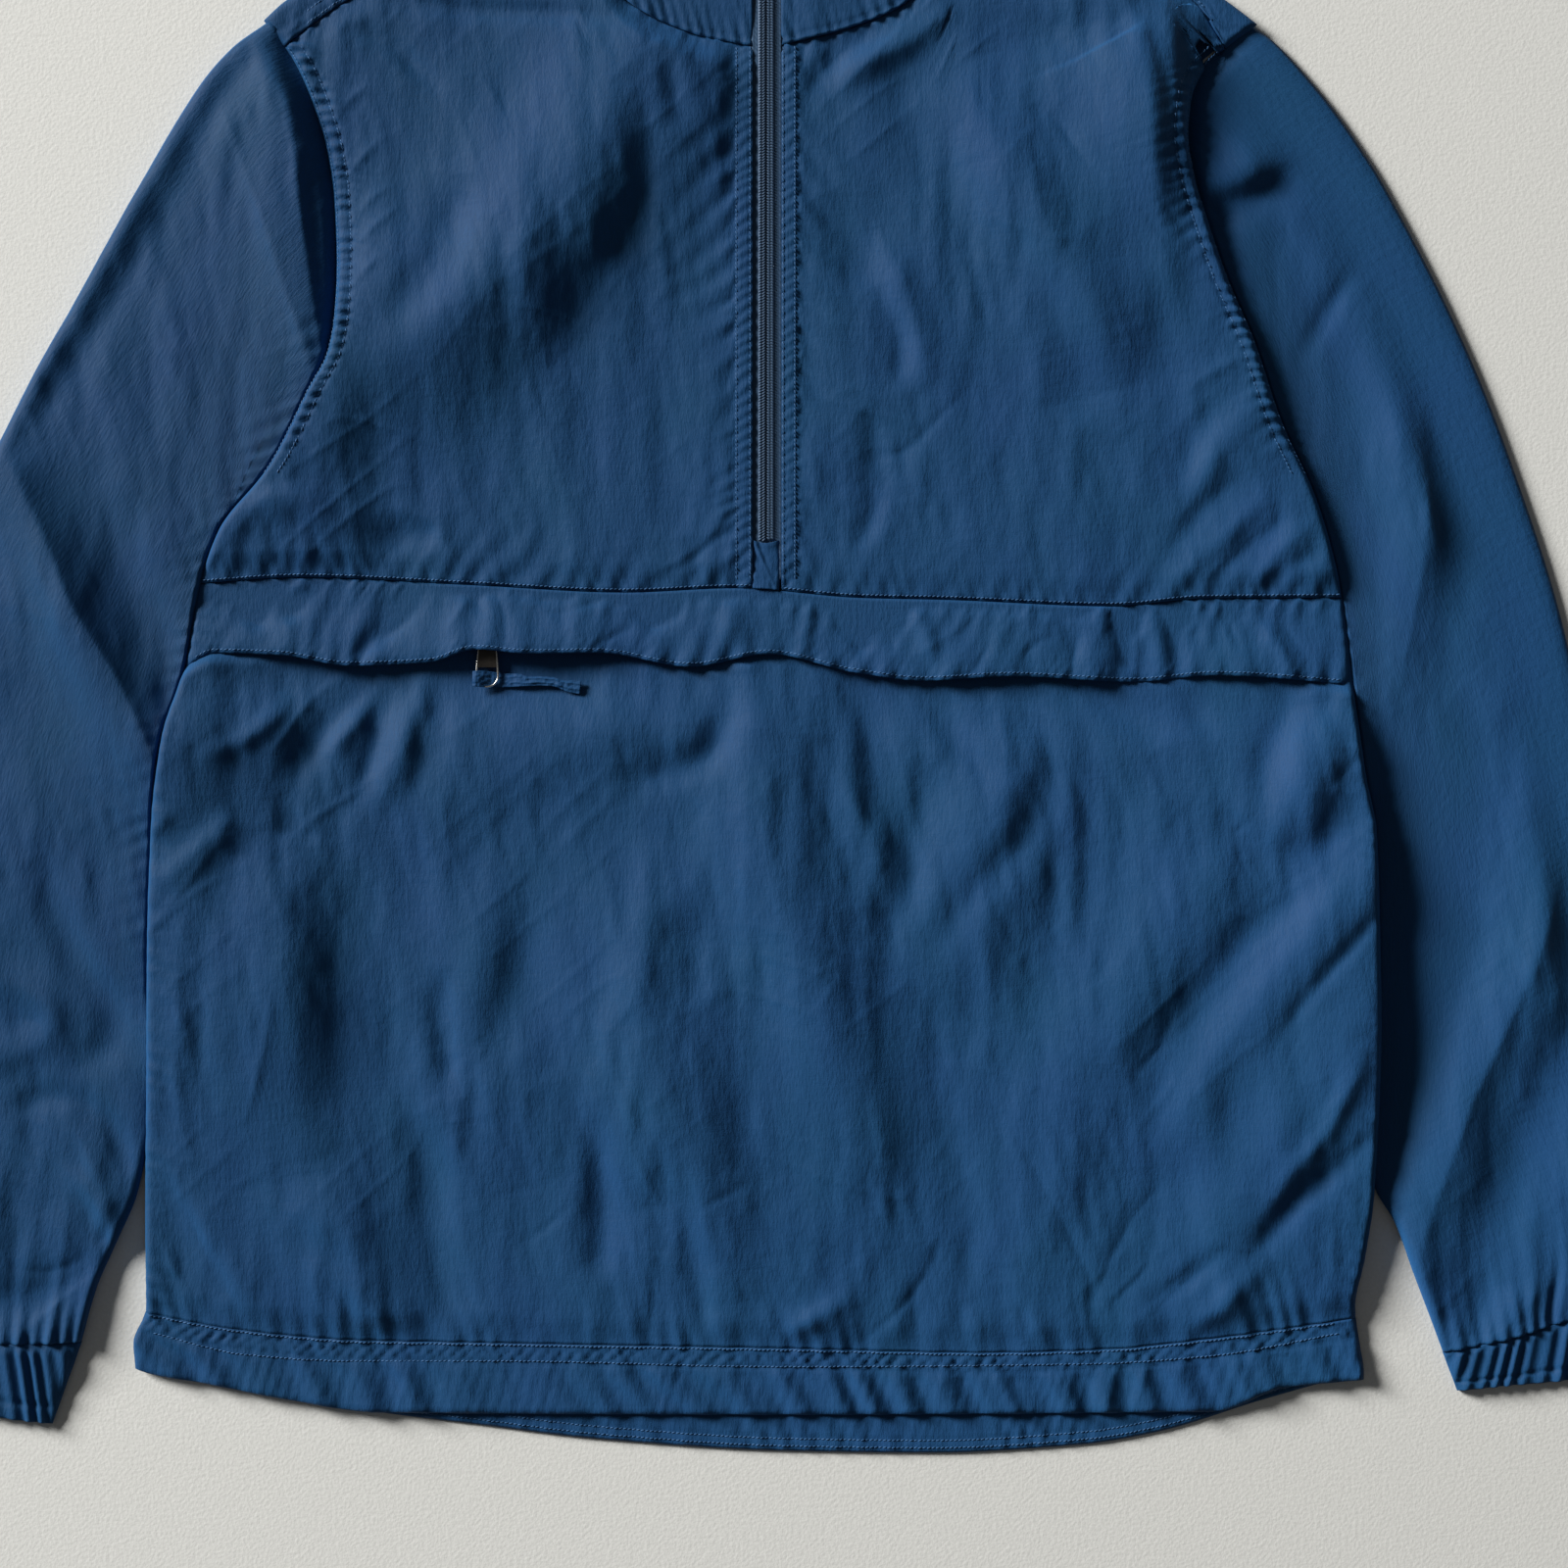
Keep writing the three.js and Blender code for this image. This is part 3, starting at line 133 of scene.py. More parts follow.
corners = [(x * FLOOR_HALF, y * FLOOR_HALF, FLOOR_LEVEL) for x, y in ((-1, -1), (1, -1), (1, 1), (-1, 1))]
floor = solid_of("floor", corners, [(0, 1, 2, 3)])
surface, nodes, links = new_material("pale_surface")
shader = nodes["Principled BSDF"]
set_inputs(shader, {"Roughness": 0.9, "Specular IOR Level": 0.2})
place = nodes.new("ShaderNodeTexCoord").outputs["Object"]
mottle = speckle(nodes, links, place, scale=620.0, detail=4.0)
links.new(varied(nodes, links, mottle, FLOOR_COLOUR, FLOOR_VARIES), shader.inputs["Base Color"])
bump_from(nodes, links, mottle, strength=0.25, distance=0.0006)
floor.data.materials.append(surface)

lamp = placed("window_light", bpy.data.lights.new("window_light", "AREA"))
lamp.data.shape = "SQUARE"
lamp.data.size = LIGHT_SIZE
lamp.data.energy = LIGHT_POWER
lamp.data.color = LIGHT_COLOUR
rise = math.radians(LIGHT_HEIGHT)
towards = Vector((LIGHT_FROM[0] * math.cos(rise), LIGHT_FROM[1] * math.cos(rise), math.sin(rise)))
lamp.location = towards * LIGHT_AWAY + Vector((VIEW_CENTRE[0] * MM, VIEW_CENTRE[1] * MM, 0))
lamp.rotation_euler = towards.to_track_quat("Z", "Y").to_euler()
sky = bpy.data.worlds.new("sky")
sky.use_nodes = True
set_inputs(sky.node_tree.nodes["Background"], {"Color": FILL_COLOUR, "Strength": FILL})
bpy.context.scene.world = sky
bpy.context.scene.view_settings.view_transform = "Standard"

# Cloth
# Light crinkled nylon, dark blue. Threads run along each piece, where the cloth has fine crinkles and
# long soft streaks, and the dye looks a little greener or more violet from place to place.
CLOTH_GREEN = (0.0145, 0.0860, 0.2100)
CLOTH_VIOLET = (0.0165, 0.0820, 0.2260)

# Crinkle group: from a place on the cloth in metres it gives a height for bump, painted crinkle shade and a
# dye value for colour.
crinkle = bpy.data.node_groups.new("crinkled_weave", "ShaderNodeTree")
crinkle.interface.new_socket(name="Place", in_out="INPUT", socket_type="NodeSocketVector")
for label in ("Crinkle", "Weave"):
    strength = crinkle.interface.new_socket(name=label, in_out="INPUT", socket_type="NodeSocketFloat")
    strength.default_value = 1.0
for label in ("Height", "Shade", "Dye"):
    crinkle.interface.new_socket(name=label, in_out="OUTPUT", socket_type="NodeSocketFloat")
entry = crinkle.nodes.new("NodeGroupInput")
result = crinkle.nodes.new("NodeGroupOutput")


def math_node(operation, *values):
    node = crinkle.nodes.new("ShaderNodeMath")
    node.operation = operation
    for slot, value in zip(node.inputs, values):
        if isinstance(value, (int, float)):
            slot.default_value = value
        else:
            crinkle.links.new(value, slot)
    return node.outputs[0]


def plus(first, second):
    return math_node("ADD", first, second)


def times(first, second):
    return math_node("MULTIPLY", first, second)


def stretched_noise(across, along, detail, rough):
    """Noise with cells of the given size in metres, across and along the threads."""
    squeeze = crinkle.nodes.new("ShaderNodeMapping")
    set_inputs(squeeze, {"Scale": (1 / across, 1 / along, 1 / across)})
    crinkle.links.new(entry.outputs["Place"], squeeze.inputs["Vector"])
    noise = crinkle.nodes.new("ShaderNodeTexNoise")
    noise.noise_dimensions = "2D"
    set_inputs(noise, {"Scale": 1.0, "Detail": detail, "Roughness": rough})
    crinkle.links.new(squeeze.outputs["Vector"], noise.inputs["Vector"])
    return math_node("SUBTRACT", noise.outputs["Fac"], 0.5)


fine = stretched_noise(across=0.0015, along=0.0050, detail=4.0, rough=0.65)
streak = stretched_noise(across=0.0060, along=0.0600, detail=2.0, rough=0.5)
cross = stretched_noise(across=0.0100, along=0.0026, detail=2.0, rough=0.5)
grain = stretched_noise(across=0.0005, along=0.0005, detail=2.0, rough=0.7)
cloud = stretched_noise(across=0.0450, along=0.0700, detail=2.0, rough=0.5)
crinkled = times(plus(times(fine, 0.9), plus(times(streak, 0.35), times(cross, 0.30))),
                 entry.outputs["Crinkle"])
woven = times(times(grain, 0.22), entry.outputs["Weave"])
crinkle.links.new(plus(crinkled, woven), result.inputs["Height"])
# Painted shade: the colour is made lighter where the crinkles and streaks stand high and darker in their
# troughs, and the grain adds the weave's own uneven tone.
painted_shade_and_weave_tone = plus(times(streak, 0.10), plus(times(fine, 0.16), times(grain, 0.5)))
crinkle.links.new(plus(painted_shade_and_weave_tone, 1.0), result.inputs["Shade"])
crinkle.links.new(plus(times(cloud, 1.6), 0.5), result.inputs["Dye"])

nylon, nodes, links = new_material("blue_nylon")
shader = nodes["Principled BSDF"]
set_inputs(shader, {"Specular IOR Level": 0.13, "Diffuse Roughness": 1.0, "Sheen Weight": 0.02,
                    "Sheen Roughness": 0.45, "Sheen Tint": (0.62, 0.78, 1.0, 1)})
grain_map = nodes.new("ShaderNodeUVMap")
grain_map.uv_map = "Grain"
weave = nodes.new("ShaderNodeGroup")
weave.node_tree = crinkle
links.new(grain_map.outputs["UV"], weave.inputs["Place"])
shaded = nodes.new("ShaderNodeVectorMath")
shaded.operation = "SCALE"
links.new(blend(nodes, links, weave.outputs["Dye"], CLOTH_GREEN, CLOTH_VIOLET), shaded.inputs[0])
# The painted crinkle shade scales the base colour.
links.new(weave.outputs["Shade"], shaded.inputs["Scale"])
links.new(shaded.outputs["Vector"], shader.inputs["Base Color"])
rough = nodes.new("ShaderNodeMapRange")
set_inputs(rough, {"From Min": 0.8, "From Max": 1.2, "To Min": 0.58, "To Max": 0.70})
links.new(weave.outputs["Shade"], rough.inputs["Value"])
links.new(rough.outputs["Result"], shader.inputs["Roughness"])
bump_from(nodes, links, weave.outputs["Height"], strength=0.8, distance=0.00048)

# Back panel
# The whole back of the body in one piece of cloth, flat on the surface under everything else. It is
# sewn to the front down both sides and folds over the shoulders.
WALL = 0.7  # cloth with its air
BACK_INSET = 5.0  # the back stays this far inside the front's side seams
BACK_LIE = 0.9
LEFT_EDGE = [
    (-296, -357.5), (-297, -347), (-291, -330.5), (-291.5, -283.5), (-290.5, -222), (-289.5, -154.5),
    (-287.5, -103), (-282, -61), (-272.5, -29), (-266, 8), (-256.5, 35), (-232, 66), (-214.5, 100),
    (-205, 118), (-202, 134), (-201, 155), (-202.5, 192), (-206, 215), (-211.5, 233.5), (-221, 255.5),
    (-235.5, 275),
]
RIGHT_EDGE = [
    (282, -357.5), (280, -347), (278, -330.5), (282.5, -307), (286.5, -277), (289.5, -196.5),
    (287.5, -107), (282.5, -79.5), (277, -37.5), (271, 8), (264.5, 35), (258, 54), (243.5, 85.5),
    (230, 124.5), (218, 152.5), (209, 178), (202, 201), (199, 219.5), (201, 238), (207, 252),
    (218, 263), (232, 273),
]
BACK_HEM_EDGE = [
    (-294.5, -360), (-248.5, -368.5), (-180.5, -380), (-135.5, -385.5), (-77.5, -392.5), (9, -398),
    (79.5, -399), (150, -395), (185.5, -389), (234.5, -374), (280.5, -361),
]
SHOULDER_LINE = [
    (-235.5, 275), (-225.5, 284), (-207, 295.5), (-175, 310), (-138, 323.5), (-87.5, 341.5),
    (87.5, 341.5), (133.5, 324.5), (170, 309.5), (200, 295.5), (217.5, 284), (232, 273),
]
HEM_BAND = 27.0
KEEP = 4  # the hidden inner layer has a point for every fourth of the outer one
CROWDING, CROWD_FADE = 0.9, 3.0  # how strongly points crowd at a rounded end, and over how many points
PLAN_ROUNDS = 30


def through(rows, turned=False):
    """Smooth line through (x, y) rows that never swings past them: y for an x, or x for a y if turned."""
    rows = sorted((b, a) if turned else (a, b) for a, b in rows)
    start, height = (np.array(column, float) for column in zip(*rows))
    step = np.diff(start)
    rise = np.diff(height) / step
    product = rise[:-1] * rise[1:]
    both = np.where(product > 0, rise[:-1] + rise[1:], 1)
    tangent = np.concatenate([rise[:1], np.where(product > 0, 2 * product / both, 0), rise[-1:]])

    def line(value):
        value = np.clip(value, start[0], start[-1])
        i = np.clip(np.searchsorted(start, value, side="right") - 1, 0, len(step) - 1)
        t = (value - start[i]) / step[i]
        s = 1 - t
        held = height[i] * (1 + 2 * t) * s * s + height[i + 1] * t * t * (3 - 2 * t)
        return held + step[i] * (tangent[i] * t * s * s - tangent[i + 1] * t * t * s)

    return line


def smooth(t):
    t = np.clip(t, 0, 1)
    return t * t * (3 - 2 * t)


def shares(length, spacing, close_start=False, close_end=False):
    """Shares from 0 to 1, about a spacing apart over a length, closer where an end rounds over."""
    count = KEEP * max(1, round(length / spacing / KEEP))
    even = np.arange(count + 1) / count
    pull = CROWDING / count
    crowd_start = pull * np.exp(-even * count / CROWD_FADE) * (even > 0) if close_start else 0
    crowd_end = pull * np.exp(-(1 - even) * count / CROWD_FADE) * (even < 1) if close_end else 0
    return even - crowd_start * CROWDING + crowd_end * CROWDING


def plan(left, right, low, high, u, v):
    """Plan points between two sides, each an x for a y, and two edges, each a y for an x."""
    u, v = np.meshgrid(u, v)
    x = np.zeros_like(u)
    y = np.full_like(u, (low(0.0) + high(0.0)) / 2)
    for _ in range(PLAN_ROUNDS):
        x = left(y) + (right(y) - left(y)) * u
        y = low(x) + (high(x) - low(x)) * v
    return x, y


def lowest_near(z, reach=4):
    """Lowest height within a few points each way."""
    for axis in (0, 1):
        padded = np.pad(z, [(reach, reach) if a == axis else (0, 0) for a in (0, 1)], mode="edge")
        count = z.shape[axis]
        z = np.min([np.take(padded, range(k, k + count), axis) for k in range(2 * reach + 1)], axis=0)
    return z


def listed(*grids):
    """Grids of coordinates as one list of points."""
    return np.stack(grids, -1).reshape(-1, len(grids))


def thinned(*grids):
    """Grids with only the points that the inner layer keeps."""
    return [grid[::KEEP, ::KEEP] for grid in grids]


def numbered(outer, inner):
    """Numbers of the outer grid's points, and of the inner grid's, which follow them."""
    first = np.arange(outer.size).reshape(outer.shape)
    return first, outer.size + np.arange(inner.size).reshape(inner.shape)


def finish_cloth(name, points, faces, grain, material):
    item = solid_of(name, np.asarray(points) * MM, faces)
    mesh = item.data
    layer = mesh.uv_layers.new(name="Grain")
    corner = np.empty(len(mesh.loops), int)
    mesh.loops.foreach_get("vertex_index", corner)
    layer.data.foreach_set("uv", (np.asarray(grain) * MM)[corner].ravel())
    mesh.shade_smooth()
    mesh.materials.append(material)
    solid = bmesh.new()
    solid.from_mesh(mesh)
    if solid.calc_volume(signed=True) < 0:
        mesh.flip_normals()
    solid.free()
    return item


def cloth(name, x, y, z, floor, material=nylon, thick=WALL):
    """Panel of cloth: a fine outer face, a plain inner face a wall under it, closed round its rim."""
    inner_x, inner_y, under = thinned(x, y, np.maximum(lowest_near(z) - thick, floor))
    outer, inner = numbered(x, inner_x)
    quad = lambda k: np.stack([k[:-1, :-1], k[:-1, 1:], k[1:, 1:], k[1:, :-1]], -1).reshape(-1, 4)
    faces = quad(outer).tolist() + quad(inner)[:, ::-1].tolist()
    for c in range(inner.shape[1] - 1):
        span = slice(c * KEEP, (c + 1) * KEEP + 1)
        faces.append([inner[0, c], inner[0, c + 1], *outer[0, span][::-1]])
        faces.append([inner[-1, c + 1], inner[-1, c], *outer[-1, span]])
    for r in range(inner.shape[0] - 1):
        span = slice(r * KEEP, (r + 1) * KEEP + 1)
        faces.append([inner[r, 0], *outer[span, 0], inner[r + 1, 0]])
        faces.append([inner[r + 1, -1], *outer[span, -1][::-1], inner[r, -1]])
    points = np.concatenate([listed(x, y, z), listed(inner_x, inner_y, under)])
    grain = np.concatenate([listed(x, y), listed(inner_x, inner_y)])
    return finish_cloth(name, points, faces, grain, material)


def flat_area(x, y):
    """Area in plan of a grid of points, in square metres."""
    ax, ay = x[1:, 1:] - x[:-1, :-1], y[1:, 1:] - y[:-1, :-1]
    bx, by = x[1:, :-1] - x[:-1, 1:], y[1:, :-1] - y[:-1, 1:]
    return float(np.abs(ax * by - ay * bx).sum() / 2) * MM * MM


def tell_kit(item, node=None, body="garment"):
    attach(item, body)
    if node:
        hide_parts(node)


def declare(item, node, area, body="garment"):
    tell_kit(item, node, body)


left_edge = through(LEFT_EDGE, turned=True)
right_edge = through(RIGHT_EDGE, turned=True)
back_hem_edge = through(BACK_HEM_EDGE)
shoulder_line = through(SHOULDER_LINE)


def back_hem_seam(x):
    return back_hem_edge(x) + HEM_BAND


back_left = lambda y: left_edge(y) + BACK_INSET
back_right = lambda y: right_edge(y) - BACK_INSET
x, y = plan(back_left, back_right, lambda x: back_hem_seam(x) + 0.2, lambda x: shoulder_line(x) - 3,
            shares(560, 9), shares(700, 9))
back_panel = cloth("back_cloth", x, y, np.full_like(x, BACK_LIE), 0.0)
declare(back_panel, "back_panel", flat_area(x, y))

# Back hem
# The back's lower edge, turned up and sewn down over flat elastic. It hangs 15 to 20 mm below the
# front's hem, gathers unevenly, and has two rows of stitches close to its edge.
HEM_SEAM = [
    (-294.5, -331.5), (-248.5, -340), (-194.5, -345), (-124, -346.5), (9, -349), (103, -351),
    (159.5, -349.5), (209, -344.5), (280.5, -334.5),
]
HEM_EDGE = [
    (-299, -358), (-286, -362), (-265, -365.5), (-227, -373), (-180.5, -379.5), (9, -380.5),
    (211.5, -379), (244, -368), (283, -364),
]
hem_seam = through(HEM_SEAM)
hem_edge = through(HEM_EDGE)


def drift(x, y, across, along, seed):
    """Smooth uneven values from -1 to 1, with cells of the given size."""
    side = 256
    cells = np.random.default_rng(seed).uniform(-1, 1, (side, side))
    u, v = np.asarray(x) / across, np.asarray(y) / along
    i, j = np.floor(u).astype(int), np.floor(v).astype(int)
    s, t = smooth(u - i), smooth(v - j)
    at = lambda a, b: cells[(i + a) % side, (j + b) % side]
    return (at(0, 0) * (1 - s) + at(1, 0) * s) * (1 - t) + (at(0, 1) * (1 - s) + at(1, 1) * s) * t


def pucker(along, away, *rows):
    """Small uneven waves that stand off a seam, for rows of pitch, height, reach, lean and seed."""
    total = 0
    for pitch, height, reach, lean, seed in rows:
        turn = (along + lean * away) / pitch + 0.55 * drift(along, away, 2.6 * pitch, 40, seed)
        size = 0.55 + 0.45 * drift(along, 0, 1.7 * pitch, 1, seed + 1)
        reached = reach * (1 + 0.5 * drift(along, 0, 2.2 * pitch, 1, seed + 2))
        fade = np.exp(-np.maximum(away, 0) / reached)
        total = total + height * size * fade * np.sin(2 * np.pi * turn)
    return total


def hem_gather(x, y, seed):
    """Diagonal gathers of an elastic casing, uneven and about 14 mm apart."""
    wave = pucker(x + 0.45 * y, 0, (14.5, 1.0, 1, 0, seed))
    return wave + pucker(x - 0.3 * y, 0, (6.5, 0.5, 1, 0, seed + 7))


def groove(away, middle, width):
    """1 along a sewn line, fading to 0 over a width to both sides."""
    return np.exp(-((away - middle) / width) ** 2)


def back_hem_height(x, y):
    from_edge = y - back_hem_edge(x)
    rolled = smooth((from_edge + 0.4) / 2.4)
    stitched = groove(from_edge, 6.0, 1.3) + groove(from_edge, 2.6, 0.9) * 0.6
    return BACK_LIE + rolled * (1.2 + 0.55 * hem_gather(x, y, 31)) - 0.35 * stitched


x, y = plan(back_left, back_right, back_hem_edge, lambda x: back_hem_seam(x) - 0.2,
            shares(560, 1.5), shares(HEM_BAND, 1.3))
back_hem = cloth("back_hem_cloth", x, y, back_hem_height(x, y), 0.0)
declare(back_hem, "back_hem", flat_area(x, y))

# Lower front
# One panel from the chest seam down to the hem, in front of the big pocket. Its top strip lies level
# under the pocket flap. Below that the loose cloth lies in long soft folds.
FRONT_FLOOR = 1.7  # the front's inner face comes no lower
FRONT_LIE = 7.0
FRONT_LOW = 2.6  # its outer face hardly comes lower
POCKET_LIE = 3.0
SEAM_LIE = 5.4
ROLL = 3.6  # radius that the body's sides round down over
RIM = 1.9
BODY_FINE = 1.5
SEAM_GAP = 0.15  # cloth starts this far from its seam line
HEM_GAP = 0.02
FLAP_LAP = 0.9  # the lower front ends this far under the flap
SIDE_PUCKERS_LEFT = (9, 0.7, 7, 0.4, 41)
SIDE_PUCKERS_RIGHT = (8, 0.7, 7, -0.4, 47)
HEM_PUCKERS = [(11, 1.0, 13, 0.25, 53), (23, 0.9, 26, -0.2, 57)]
CHEST_SEAM = [
    (-267, 10), (-218, 13), (-138, 9.5), (-65.5, 6), (-14, 8), (44.5, 3.5), (86.5, 2.5), (164, -0.5),
    (206.5, 3), (273.5, 3.5),
]
FLAP_EDGE = [
    (-273, -30), (-258, -22.5), (-227, -23.5), (-194.5, -28.5), (-157, -27), (-135.5, -21),
    (-110, -23), (-77.5, -22.5), (-34.5, -29), (2, -23), (41.5, -31.5), (75, -35.5), (115, -33.5),
    (173.5, -36), (211, -33), (279.5, -37.5),
]
FOLD_GAIN = 1.5
